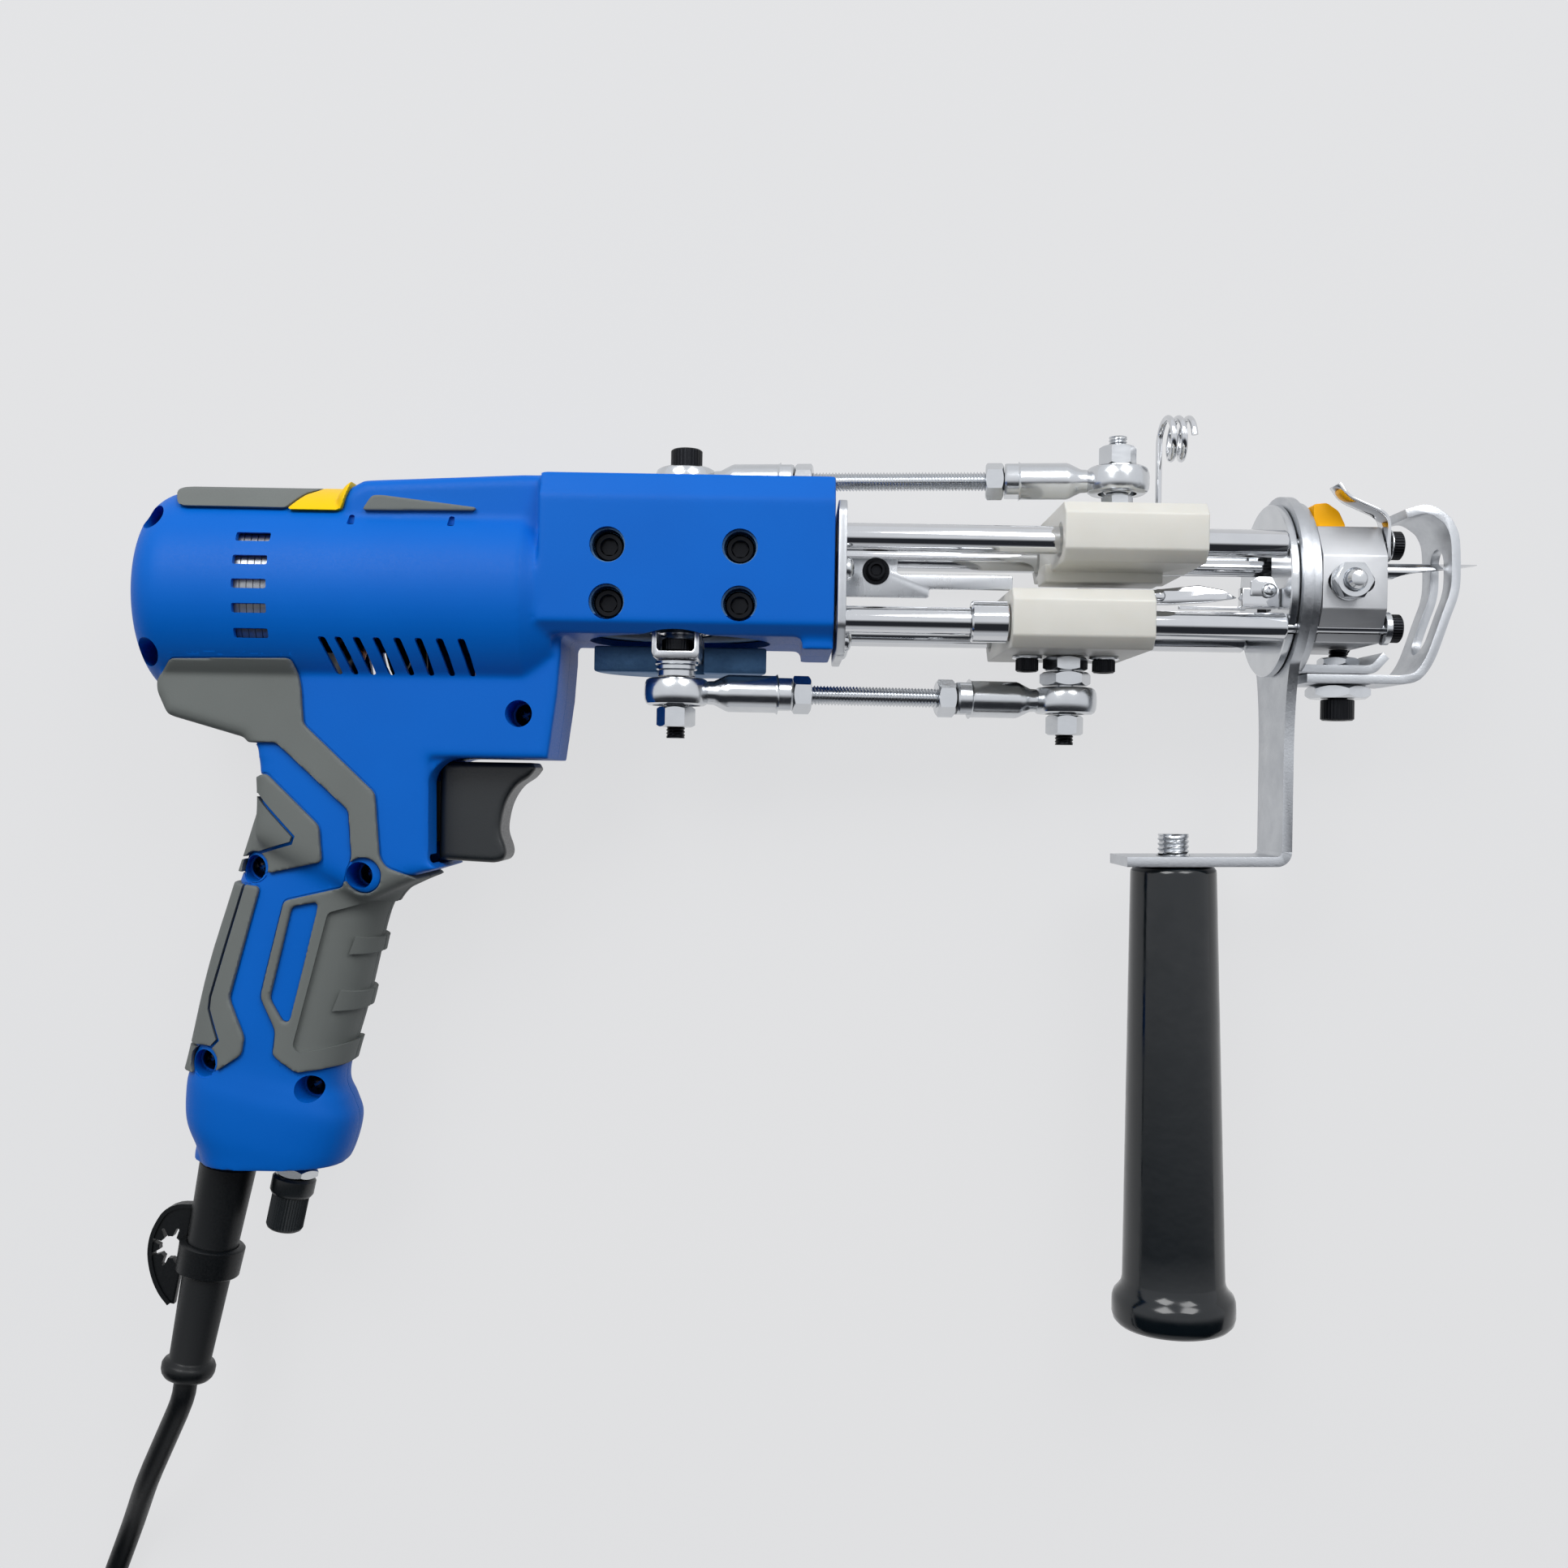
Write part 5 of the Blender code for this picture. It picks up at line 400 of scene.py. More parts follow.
def workedMetal(name, colour, shade, roughness, streak, depth, spots=0.0, drift=0.10):
    # Rolled, drawn or ground metal: streaks along one way vary the gloss, and faint clouds dull it
    material, tree, shader, place = newMaterial(name, roughness, 1.0)
    lines = noise(tree, stretched(tree, place, streak), 1.0, 4, 0.6)
    cloud = noise(tree, place, 9, 3)
    tree.links.new(blended(tree, cloud, linear(colour), linear(shade)), shader.inputs["Base Color"])
    total = addNode(tree, "ShaderNodeMath", {"operation": 'ADD'}, {0: lines, 1: cloud}).outputs[0]
    tree.links.new(spread(tree, total, roughness - drift, roughness + drift, 0.6, 1.4),
                   shader.inputs["Roughness"])
    height = lines
    if spots:
        speckle = noise(tree, place, spots, 2)
        height = addNode(tree, "ShaderNodeMath", {"operation": 'ADD'}, {0: lines, 1: speckle}).outputs[0]
    raised(tree, shader, height, depth)
    return material


# ABS, moulded with a satin grain: a clear blue with a broad soft highlight
blueAbs = mouldedPlastic("blueAbs", "#0069D0", "#0062C6", 0.46, 0.55, 0.018, glint=0.14)
# Thermoplastic rubber, overmoulded: a flat warm grey, almost no gloss
greyRubber = mouldedPlastic("greyRubber", "#757A78", "#6C706E", 0.62, 0.45, 0.022, glint=0.2)
# ABS in yellow, glossier than the shell
yellowAbs = mouldedPlastic("yellowAbs", "#FBD000", "#F8C800", 0.42, 0.5, 0.012, glint=0.14)
# ABS in amber, for the wedge at the nose: warmer than the strips, with the same soft gloss
orangeAbs = mouldedPlastic("orangeAbs", "#FBB400", "#F6AB00", 0.42, 0.5, 0.012, glint=0.2)
# Trigger and knob in black ABS: a satin black with a grey bloom where light grazes it
blackAbs = mouldedPlastic("blackAbs", "#1C2124", "#15191C", 0.36, 0.5, 0.015)
# Handle sleeve, dipped glossy PVC: long clean reflections with the faintest ripple
glossyPvc = mouldedPlastic("glossyPvc", "#0A1318", "#070D12", 0.14, 7.0, 0.05, 1.54)
# Cord jacket and relief in soft PVC: a deep black with a wide, weak sheen
softPvc = mouldedPlastic("softPvc", "#060A0D", "#04070A", 0.40, 0.6, 0.015, glint=0.3)
# Nylon 6, machined from bar: milky and waxy with faint cutter marks
milkyNylon, tree, shader, place = newMaterial("milkyNylon", 0.36, 0.0, 1.53, 0.0, 0.35)
cutter = noise(tree, stretched(tree, place, (0.25, 4, 4)), 1.0, 3)
tree.links.new(blended(tree, noise(tree, place, 12, 2), linear("#E3E2DC"), linear("#DAD8CF")),
               shader.inputs["Base Color"])
tree.links.new(spread(tree, cutter, 0.28, 0.46, 0.3, 0.7), shader.inputs["Roughness"])
raised(tree, shader, cutter, 0.012)
# Zinc plate on rolled sheet: bright cool grey, faint rolling lines and handling clouds
zincSheet = workedMetal("zincSheet", "#D3D5D8", "#C2C5C9", 0.30, (1.5, 0.12, 0.12), 0.010, 0.9, 0.09)
# Zinc plate on turned and forged parts, the brighter kind
zincTurned = workedMetal("zincTurned", "#D9DBDD", "#C6C9CD", 0.20, (0.3, 1.4, 0.3), 0.006, 0.0, 0.07)
# Zinc plate on cut sheet, tumbled: duller than the rolled sheet, with fine pits
zincTumbled = workedMetal("zincTumbled", "#CDD0D3", "#B9BCC1", 0.36, (0.8, 0.8, 0.8), 0.030, 0.5, 0.09)
# Bearing steel, ground and polished: mirror streaks along the shaft
groundSteel = workedMetal("groundSteel", "#DCDDDF", "#CFD1D4", 0.09, (5.0, 0.3, 0.3), 0.003, 0.0, 0.04)
# Milled aluminium: matt silver with cutter lines
milledAluminium = workedMetal("milledAluminium", "#CDCED0", "#BEC0C3", 0.48, (0.15, 3.0, 3.0), 0.012, 0.0, 0.08)
# Black oxide on socket screws: oily black with a low metal glint
blackOxide = workedMetal("blackOxide", "#26272A", "#1A1B1D", 0.34, (1, 1, 1), 0.006, 0.4, 0.08)
# Phosphated cast weight: dull blue-grey iron
castIron = workedMetal("castIron", "#5A7FA6", "#486A8E", 0.55, (1, 1, 1), 0.05, 0.8, 0.1)
# Steel lamination stack, seen through the vents: mid grey, brighter along each sheet's edge
laminated = workedMetal("laminated", "#9A9DA1", "#83868A", 0.4, (6, 0.2, 0.2), 0.02, 0.0, 0.1)
# Enamelled copper: brown-red, with a thin glint along each turn
copperWire = workedMetal("copperWire", "#B5663A", "#8E4A28", 0.35, (0.3, 2.5, 0.3), 0.02, 0.0, 0.1)
print("finishes made")


# Camera, floor and light
cameraFacts = {"place": (32.6, -60.95, 483.0), "roll": 0.96, "lens": 36.0, "sensor": 36.0}
camera = bpy.data.objects.new("camera", bpy.data.cameras.new("camera"))
bpy.context.collection.objects.link(camera)
camera.location = toRow @ Vector(cameraFacts["place"])
camera.rotation_euler = (0, 0, math.radians(cameraFacts["roll"]))
camera.data.lens, camera.data.sensor_width = cameraFacts["lens"], cameraFacts["sensor"]
camera.data.clip_start, camera.data.clip_end = 0.01, 20
bpy.context.scene.camera = camera

studioFacts = {"bright": "#EEF0F4", "dim": "#2C2E33", "window": (-0.32, -0.06), "wall": (-0.94, -0.80),
               "wallShare": 0.7,
               "strength": 1.0, "ambient": 0.55, "floor": 4.0, "grain": 400, "paper": 0.82, "aim": (20, -60, 0),
               "seen": ("#EBECEE", "#EEEEEF"), "lit": ("#B0B0B2", "#B6B6B8"),
               "lamps": [((-380, 560, 780), 520, 5.3), ((420, 520, 700), 420, 3.1)]}
floorMesh = bmesh.new()
bmesh.ops.create_grid(floorMesh, x_segments=1, y_segments=1, size=studioFacts["floor"])
floorHolder = holderOf(floorMesh, "floor")
floorHolder.location = (0, 0, -0.0002)
# Matt white paper: the eye sees an even pale grey, with the machine's soft shadow on it
floorMaterial, tree, shader, place = newMaterial("paintedFloor", 0.9)
cloud = noise(tree, place, studioFacts["grain"], 2)
tree.links.new(blended(tree, cloud, *[linear(tone) for tone in studioFacts["lit"]]), shader.inputs["Base Color"])
shader.inputs["Specular IOR Level"].default_value = 0.0
rays = addNode(tree, "ShaderNodeLightPath").outputs
seenBy = rays["Is Camera Ray"]
for ray in ("Is Glossy Ray", "Is Transmission Ray"):
    seenBy = larger(tree, seenBy, rays[ray])
glow = addNode(tree, "ShaderNodeEmission", None,
               {"Color": blended(tree, cloud, *[linear(tone) for tone in studioFacts["seen"]])})
mixed = addNode(tree, "ShaderNodeMixShader", None,
                {0: spread(tree, seenBy, 0, studioFacts["paper"]), 1: shader.outputs[0], 2: glow.outputs[0]})
tree.links.new(mixed.outputs[0], tree.nodes["Material Output"].inputs["Surface"])
floorHolder.data.materials.append(floorMaterial)

world = bpy.data.worlds.new("studio")
bpy.context.scene.world = world
world.use_nodes = True
tree = world.node_tree
background = tree.nodes["Background"]
rays = addNode(tree, "ShaderNodeLightPath").outputs
tree.links.new(spread(tree, rays["Is Glossy Ray"], studioFacts["ambient"], studioFacts["strength"]),
               background.inputs["Strength"])
way = addNode(tree, "ShaderNodeTexCoord").outputs["Generated"]
acrossY = addNode(tree, "ShaderNodeSeparateXYZ", None, {0: way}).outputs[1]
windowShare = spread(tree, acrossY, 0, 1, *studioFacts["window"])  # bright towards +Y, dim towards -Y
wallShare = spread(tree, acrossY, studioFacts["wallShare"], 0,
                   *studioFacts["wall"])  # a pale wall low on the dim side
sky = blended(tree, larger(tree, windowShare, wallShare), linear(studioFacts["dim"]), linear(studioFacts["bright"]))
tree.links.new(sky, background.inputs["Color"])
for spot, size, watts in studioFacts["lamps"]:
    lamp = bpy.data.lights.new("softbox", 'AREA')
    lamp.shape, lamp.size, lamp.energy = 'SQUARE', size / 1000, watts
    holder = bpy.data.objects.new("softbox", lamp)
    bpy.context.collection.objects.link(holder)
    holder.location = toRow @ Vector(spot)
    aim = toRow @ Vector(studioFacts["aim"]) - holder.location
    holder.rotation_euler = aim.to_track_quat('-Z', 'Y').to_euler()
bpy.context.scene.view_settings.view_transform = 'Standard'
print("camera and studio set")


# Cord, its coil and plug
cordFacts = {"radius": 3.5, "span": 100.0, "coilCentre": (-142.0, -380.0), "innerRadius": 31.0,
             "pitch": 7.6, "layerTurns": 3, "loopPoints": 20,
             "knots": [(-0.165, -0.375, 0.45), (-0.255, -0.565, 0.85), (-0.335, -0.765, 1.0),
                       (-0.405, -0.965, 1.0)],
             "exit": (-148.44, -247.13, 0.0), "floor": -32.5}
reliefTilt, knobTilt = math.radians(10.2), math.radians(11.0)


def frameFor(direction, at):
    turn = Vector(direction).to_track_quat('Z', 'Y').to_matrix().to_4x4()
    return Matrix.Translation(Vector(at)) @ turn


def slant(tilt):
    return Vector((-math.sin(tilt), -math.cos(tilt), 0))


def cordLine(facts):  # the route of the CAD's cord, then its two-layer coil
    start, radius = Vector(facts["exit"]), facts["radius"]
    low = facts["floor"] + radius + 0.3
    knots = [start, start + slant(reliefTilt) * radius * 2]
    knots += [start + Vector((x * facts["span"], y * facts["span"], z * low)) for x, y, z in facts["knots"]]
    (cx, cy), pitch, loop = facts["coilCentre"], facts["pitch"], facts["loopPoints"]
    count, half = facts["layerTurns"] * loop, loop // 2
    inner, outer = facts["innerRadius"], facts["innerRadius"] + pitch * facts["layerTurns"]
    knots += [Vector((cx - outer, cy + radius * 4 + 0.3, low)), Vector((cx - outer, cy + radius * 2 + 0.3, low))]
    free = smoothLine(knots, radius * 5)
    turns = [(outer - pitch * k / loop, 0) for k in range(count + 1)]
    turns += [(inner - pitch * math.sin(math.pi * k / half) / 3, (1 - math.cos(math.pi * k / half)) / 2)
              for k in range(1, half + 1)]
    turns += [(inner + pitch * k / loop, 1) for k in range(1, count - loop // 4 + 1)]
    coil = []
    for k, (reach, rise) in enumerate(turns):
        angle = math.pi + math.tau * k / loop
        coil.append(Vector((cx + reach * math.cos(angle), cy + reach * math.sin(angle), low + pitch * rise)))
    last = coil[-1]
    coil += [last + Vector((radius * 2, 0, 0)), last + Vector((radius * 5, 0, 0)),
             last + Vector((radius * 9, 0, 8 - radius - pitch)), last + Vector((radius * 11, 0, 8 - radius - pitch))]
    return free + coil


route = cordLine(cordFacts)
cordCurve = bpy.data.curves.new("cordLine", 'CURVE')
cordCurve.dimensions, cordCurve.use_fill_caps = '3D', True
cordCurve.bevel_depth, cordCurve.bevel_resolution = cordFacts["radius"] / 1000, 6
spline = cordCurve.splines.new('POLY')
finePoints = [toRow @ p for p in smoothLine(route, times=3)]
spline.points.add(len(finePoints) - 1)
for point, spot in zip(spline.points, finePoints):
    point.co = (*spot, 1)
spline.use_smooth = True
cordCurve.materials.append(softPvc)
cordPiece = bpy.data.objects.new("cordJacket", cordCurve)
bpy.context.collection.objects.link(cordPiece)
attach(cordPiece, "machine")
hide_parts("cord", "cord_coil")

plugFacts = {"length": 42.0, "width": 30.0, "height": 16.0, "pin": 2.0, "pinSpacing": 18.6, "grips": 5}
plugAt = Matrix.Translation(route[-1]) @ Matrix.Rotation(-math.pi / 2, 4, 'Z') @ Matrix.Translation((0, 0.3, 0))
w, half, L = plugFacts["width"] / 2, plugFacts["height"] / 2, plugFacts["length"]
body = prism(rounded([(-w, L * 0.42), (-w * 0.45, 0), (w * 0.45, 0), (w, L * 0.42), (w, L), (-w, L)], 6),
             -half, half, plugAt, 2.4, 4)
grooves = [box((side * w - 2.2, 19 + k * 3.2, -5), (side * w + 2.2, 20.4 + k * 3.2, 5), plugAt)
           for side in (-1, 1) for k in range(plugFacts["grips"])]
pinLines = [plugAt @ shifted(s * plugFacts["pinSpacing"] / 2) @ alongY for s in (-1, 1)]
sleeves = [rod(plugFacts["pin"], L - 1, L + 9, line) for line in pinLines]
plugBody = makePiece("plugBody", united(cut(body, joined(*grooves)), joined(*sleeves)), softPvc, "machine",
                     ["cord_plug"])
pins = [turned([(0, L + 9), (1.9, L + 9), (1.9, L + 17.4), (1.3, L + 18.8), (0, L + 19)], 24, line)
        for line in pinLines]
plugPins = makePiece("plugPins", joined(*pins), zincTurned, "machine")


# Shell: motor barrel, gear block, shoulder, neck and grip as one moulding
shellFacts = {"wall": 2.5, "voxel": 0.8, "soften": 7}
gripFacts = {"top": (-106.0, -60.0), "tilt": math.radians(12.6), "length": 120.5, "depth": 50.0,
             "thickness": 37.0, "base": -179.3,
             "stations": [(0.03, 0.33, 0.50, 0.96), (0.13, 0.355, 0.60, 1.0), (0.22, 0.37, 0.60, 1.0),
                          (0.31, 0.385, 0.535, 1.0), (0.54, 0.42, 0.535, 0.97), (0.73, 0.415, 0.52, 0.97),
                          (0.79, 0.415, 0.60, 1.0), (0.84, 0.415, 0.665, 1.03), (0.93, 0.365, 0.66, 1.0),
                          (1.0, 0.25, 0.60, 0.93), (1.1, 0.11, 0.52, 0.88)]}
motorFacts = {"radius": 32.5, "axisY": -6.5, "rear": -160.7, "front": -36.0, "corner": 12.0, "nose": 28.0}
blockFacts = {"rear": -40.0, "front": 46.8, "half": 30.0, "top": 29.5, "low": -18.5, "topCut": 7.9,
              "lowCut": 3.8, "topInset": 3.0}
shoulderFacts = {"length": 62.0, "height": 35.0, "half": 24.0,
                 "shares": [(0, 0), (0, 0.77), (0.04, 0.86), (0.11, 0.93), (0.87, 1), (1, 1), (1, 0)]}
neckFacts = {"rear": -152.0, "length": 118.5, "top": -10.0, "height": 87.0, "half": 21.5, "edge": 4.0,
             "shares": [(1, 0), (1, 0.16), (0.993, 0.30), (0.972, 0.52), (0.675, 0.52), (0.68, 0.867),
                        (0.705, 0.895), (0.625, 0.93), (0.52, 1), (0.24, 0.8), (0.25, 0.70),
                        (0.24, 0.49), (0.215, 0.447), (0.025, 0.375), (0, 0.30), (0, 0)]}
reliefFrame = frameFor(slant(reliefTilt), (-136.4, -180.2, 0))
knobFrame = frameFor(slant(knobTilt), (-115.3, -180.5, 0))
screwPlaces = [(-154.8, 14.7), (-154.8, -25.3), (-46.0, -41.5), (-125.2, -88.8), (-92.2, -90.0),
               (-139.2, -147.2), (-107.6, -154.3)]
blockScrews = [(-0.5 + sx * 19.2, -0.7 + sy * 8.25) for sx in (-1, 1) for sy in (-1, 1)]
motorLine = Matrix.Translation((0, motorFacts["axisY"], 0)) @ alongX
upward = Matrix.Rotation(-math.pi / 2, 4, 'X')


def fromShares(shares, start, size):
    return [(start[0] + u * size[0], start[1] + v * size[1]) for u, v in shares]


def gripPoint(along, across):
    tilt = gripFacts["tilt"]
    down = Vector((-math.sin(tilt), -math.cos(tilt)))
    forward = Vector((math.cos(tilt), -math.sin(tilt)))
    return Vector(gripFacts["top"]) + down * along + forward * across


def gripBody(grow, sides=44, steps=5):
    bm = bmesh.new()
    rings = []
    for along, back, front, thick in smoothLine(gripFacts["stations"], times=steps):
        rear, fore = -back * gripFacts["depth"] - grow, front * gripFacts["depth"] + grow
        half = thick * gripFacts["thickness"] / 2 + grow
        middle, reach = (rear + fore) / 2, (fore - rear) / 2
        loop = []
        for k in range(sides):
            angle = math.tau * (k + 0.5) / sides
            c, s = math.cos(angle), math.sin(angle)
            spot = gripPoint(along * gripFacts["length"], middle + reach * math.copysign(abs(c) ** 0.75, c))
            loop.append(bm.verts.new((*spot, half * math.copysign(abs(s) ** 0.75, s))))
        rings.append(loop)
    for lowLoop, highLoop in zip(rings, rings[1:]):
        for k in range(sides):
            n = (k + 1) % sides
            bm.faces.new((lowLoop[k], lowLoop[n], highLoop[n], highLoop[k]))
    bm.faces.new(rings[0])
    bm.faces.new(rings[-1][::-1])
    found = bmesh.ops.bisect_plane(bm, geom=bm.verts[:] + bm.edges[:] + bm.faces[:],
                                   plane_co=(0, gripFacts["base"] - min(grow, 0), 0), plane_no=(0, -1, 0),
                                   clear_outer=True)
    bmesh.ops.holes_fill(bm, edges=[e for e in found["geom_cut"] if isinstance(e, bmesh.types.BMEdge)])
    bmesh.ops.recalc_face_normals(bm, faces=bm.faces)
    return bm


def motorBody(grow):
    radius = motorFacts["radius"] + grow
    rear, front = motorFacts["rear"] - grow, motorFacts["front"] + grow
    profile = [(0, rear)]
    for k in range(9):
        angle = math.pi / 2 * k / 8
        profile.append((radius - motorFacts["corner"] * (1 - math.sin(angle)),
                        rear + motorFacts["corner"] * (1 - math.cos(angle))))
    taper = front - (motorFacts["radius"] - motorFacts["nose"]) * 2
    profile += [(radius, taper), (motorFacts["nose"] + grow, front), (0, front)]
    return turned(profile, 88, motorLine)


def blockBody(grow):
    half, top, low = blockFacts["half"] + grow, blockFacts["top"] + grow, blockFacts["low"] - grow
    side = [(low, half - blockFacts["lowCut"]), (low + blockFacts["lowCut"], half),
            (top - blockFacts["topCut"], half), (top, half - blockFacts["topInset"])]
    return prism([(y, -z) for y, z in side[::-1]] + side, blockFacts["rear"] - grow,
                 blockFacts["front"] + min(grow, 0), alongX)


def shoulderBody(grow):
    start = (blockFacts["rear"] - shoulderFacts["length"] + 2.5 - grow,
             blockFacts["top"] - shoulderFacts["height"])
    outline = fromShares(shoulderFacts["shares"], start,
                         (shoulderFacts["length"] + grow, shoulderFacts["height"] + grow))
    half = shoulderFacts["half"] + grow
    return prism(outline, -half, half, edge=neckFacts["edge"], segments=4)


def neckBody(grow):
    outline = fromShares(neckFacts["shares"], (neckFacts["rear"] - grow, neckFacts["top"]),
                         (neckFacts["length"] + 2 * grow, -neckFacts["height"] - grow))
    half = neckFacts["half"] + grow
    return prism(outline, -half, half, edge=neckFacts["edge"], segments=4)


def casing(grow):
    return united(motorBody(grow), shoulderBody(grow), blockBody(grow), neckBody(grow), gripBody(grow))


def column(radius, low, high, at, steps=24):
    return rod(radius, low, high, Matrix.Translation((*at, 0)), steps, 0)


def fastBoolean(first, second, operation):  # for dense closed meshes
    holders = [holderOf(first), holderOf(second)]
    step = holders[0].modifiers.new("step", 'BOOLEAN')
    step.operation, step.solver, step.object = operation, 'MANIFOLD', holders[1]
    result = bmeshOf(meshOf(holders[0]))
    discard(*holders)
    return result


def grown(bm, distance):
    result = bm.copy()
    result.normal_update()
    for vert in result.verts:
        vert.co += vert.normal * distance
    return result


def offsetOutline(outline, distance):
    count = len(outline)
    area = sum(a[0] * b[1] - b[0] * a[1] for a, b in zip(outline, outline[1:] + outline[:1]))
    sign = 1 if area > 0 else -1
    result = []
    for k in range(count):
        before, here, after = (Vector(outline[(k + d) % count]) for d in (-1, 0, 1))
        normals = []
        for a, b in ((before, here), (here, after)):
            along = (b - a).normalized()
            normals.append(Vector((along.y, -along.x)) * sign)
        mean = (normals[0] + normals[1]).normalized()
        result.append(tuple(here + mean * (distance / max(mean.dot(normals[0]), 0.5))))
    return result


def wallPrism(outline, inner, outer, start, end):  # a thin wall standing along an outline
    return cut(prism(offsetOutline(outline, outer), start, end),
               prism(offsetOutline(outline, inner), start - 1, end + 1))


def mirrored(bm):
    other = bm.copy()
    bmesh.ops.scale(other, vec=(1, 1, -1), verts=other.verts)
    bmesh.ops.reverse_faces(other, faces=other.faces)
    return other


padFacts = {
    "proud": 1.1, "root": 1.2, "voxel": 0.5, "soften": 3, "corner": 1.3, "gap": (-0.25, 0.5), "line": (1.25, 1.8),
    "gapDepth": 0.8, "lineDepth": 0.5, "stepDepth": 1.45, "groove": 1.0,
    "band": [(-147.0, -27.2), (-112.1, -26.6), (-110.1, -34.2), (-109.2, -45.6), (-87.8, -65.6), (-86.1, -84.6),
             (-84.1, -87.5), (-76.8, -90.2), (-66, -97), (-66, -146), (-94.0, -147.6), (-110.9, -149.2),
             (-117.7, -144.0), (-116.9, -136.8), (-121.6, -126.7), (-114.9, -98.0), (-97.1, -93.7), (-94.2, -84.7),
             (-95.3, -70.9), (-117.0, -51.2), (-127.5, -51.3), (-140, -60), (-170, -60), (-170, -38.5),
             (-157.6, -38.5)],
    "upperPanel": [(-140, -61.0), (-123.3, -61.4), (-120.0, -60.2), (-104.1, -75.5), (-103.1, -86.2),
                   (-120.4, -90.1), (-140, -90.1)],
    "backStrip": [(-146, -92.2), (-122.7, -94.1), (-131.4, -127.3), (-126.3, -138.8), (-127.1, -144.1),
                  (-135.4, -149.6), (-160, -151), (-160, -92.2)],
    "inset": [(-112.6, -99.7), (-104.9, -98.2), (-105.0, -100.5), (-112.8, -133.9), (-114.8, -134.1),
              (-118.9, -127.1)],
    "step": [(-101.9, -101.3), (-88.6, -97.6), (-81.5, -100.3), (-70, -100.3), (-78, -141), (-91.4, -140.4),
             (-110.1, -143.4), (-111.9, -141.2)],
    "ribs": [[(-94.6, -108.8), (-76, -111.8), (-76, -115.5), (-85.2, -114.4), (-96.3, -113.9)],
             [(-98.8, -124.9), (-78, -128.2), (-80, -132.5), (-89.4, -131.2), (-101.0, -130.9)]],
    "triangleGroove": [(-140, -66.7), (-122.6, -66.7), (-111.4, -78.8), (-112.1, -80.8), (-125.4, -84.6),
                       (-140, -88.4)],
    "stripGroove": [(-128.1, -90), (-128.1, -93.8), (-137.8, -127.4), (-138.0, -130.9), (-134.3, -139.8),
                    (-136.5, -142.1), (-150, -142.2)],
    "rings": [((-90.9, -90.0), 5.4), ((-124.9, -88.5), 4.9), ((-139.1, -146.6), 4.9)],
    "inlay": [(-92.2, 17.0), (-89.3, 21.5), (-86.5, 21.6), (-58.7, 18.4), (-59.3, 17.4)]}

fillFacts = {"start": (-74.0, -53.0), "centre": (-63.7, -63.6), "radius": 8.5, "end": (-63.0, -53.0), "half": 19.5}
(fillX, fillY), radius = fillFacts["centre"], fillFacts["radius"]
cornerFill = [(fillX - radius * math.cos(math.pi / 16 * k), fillY + radius * math.sin(math.pi / 16 * k))
              for k in range(9)]
cornerFill = [fillFacts["start"]] + cornerFill + [fillFacts["end"]]
outerCase = united(casing(0), rod(10.8, -16, 0, reliefFrame), rod(7.8, -6, 0, knobFrame),
                   box((36.8, -22.0, -26.2), (46.8, -16.0, 26.2)), prism(cornerFill, -fillFacts["half"],
                                                                         fillFacts["half"]))
outerSkin = moulded(outerCase, shellFacts["voxel"], shellFacts["soften"])
for inset, passes in ((0, 14), (4, 14), (8, 20)):  # the neck runs into the grip without an edge
    joint = [v for v in outerSkin.verts if -140 + inset < v.co.x < -72 - inset and -112
             + inset < v.co.y < -52 - inset]
    for _ in range(passes):
        bmesh.ops.smooth_vert(outerSkin, verts=joint, factor=0.5, use_axis_x=True, use_axis_y=True, use_axis_z=True)
print("outer skin faces", len(outerSkin.faces))
reach = 400
rightHalf, leftHalf = box((-reach, -reach, 0.15), (reach, reach, 60)), box((-reach, -reach, -60),
                                                                           (reach, reach, -0.15))


def skinLayer(start, end):
    return fastBoolean(grown(outerSkin, end), grown(outerSkin, start), 'DIFFERENCE')


padLayer = skinLayer(-padFacts["root"], padFacts["proud"])
soft = {key: rounded(padFacts[key], padFacts["corner"], 3)
        for key in ("band", "upperPanel", "backStrip", "inset", "step", "inlay")}
ringOutlines = [[(x + r * math.cos(math.tau * k / 32), y + r * math.sin(math.tau * k / 32)) for k in range(32)]
                for (x, y), r in padFacts["rings"]]
ringTools = joined(*[prism(outline, -60, 60) for outline in ringOutlines])
grooveTools = joined(strip(padFacts["triangleGroove"], padFacts["groove"], -60, 60),
                     strip(padFacts["stripGroove"], padFacts["groove"], -60, 60))

outlines = {"bandPad": cut(prism(soft["band"], 0.2, 60), prism(soft["inset"], -1, 61)),
            "upperPad": prism(soft["upperPanel"], 0.2, 60), "backPad": prism(soft["backStrip"], 0.2, 60)}
recess = fastBoolean(skinLayer(padFacts["proud"] - padFacts["stepDepth"], 4),
                     cut(prism(soft["step"], 0.2, 60), *[prism(rib, -1, 61) for rib in padFacts["ribs"]]),
                     'INTERSECT')
for name, tool in outlines.items():
    pad = fastBoolean(padLayer.copy(), cut(tool, ringTools.copy()), 'INTERSECT')
    pad = moulded(pad, padFacts["voxel"], padFacts["soften"])
    pad = fastBoolean(pad, recess if name == "bandPad" else grooveTools, 'DIFFERENCE')
    makePiece(name + "Left", mirrored(pad), greyRubber, "machine", smooth=50)
    makePiece(name + "Right", pad, greyRubber, "machine", smooth=50)
inlay = moulded(fastBoolean(padLayer.copy(), prism(soft["inlay"], 0.2, 60), 'INTERSECT'), 0.35, 2)
makePiece("inlayLeft", mirrored(inlay), greyRubber, "machine", smooth=50)
makePiece("inlayRight", inlay, greyRubber, "machine", smooth=50)
print("soft pads made")

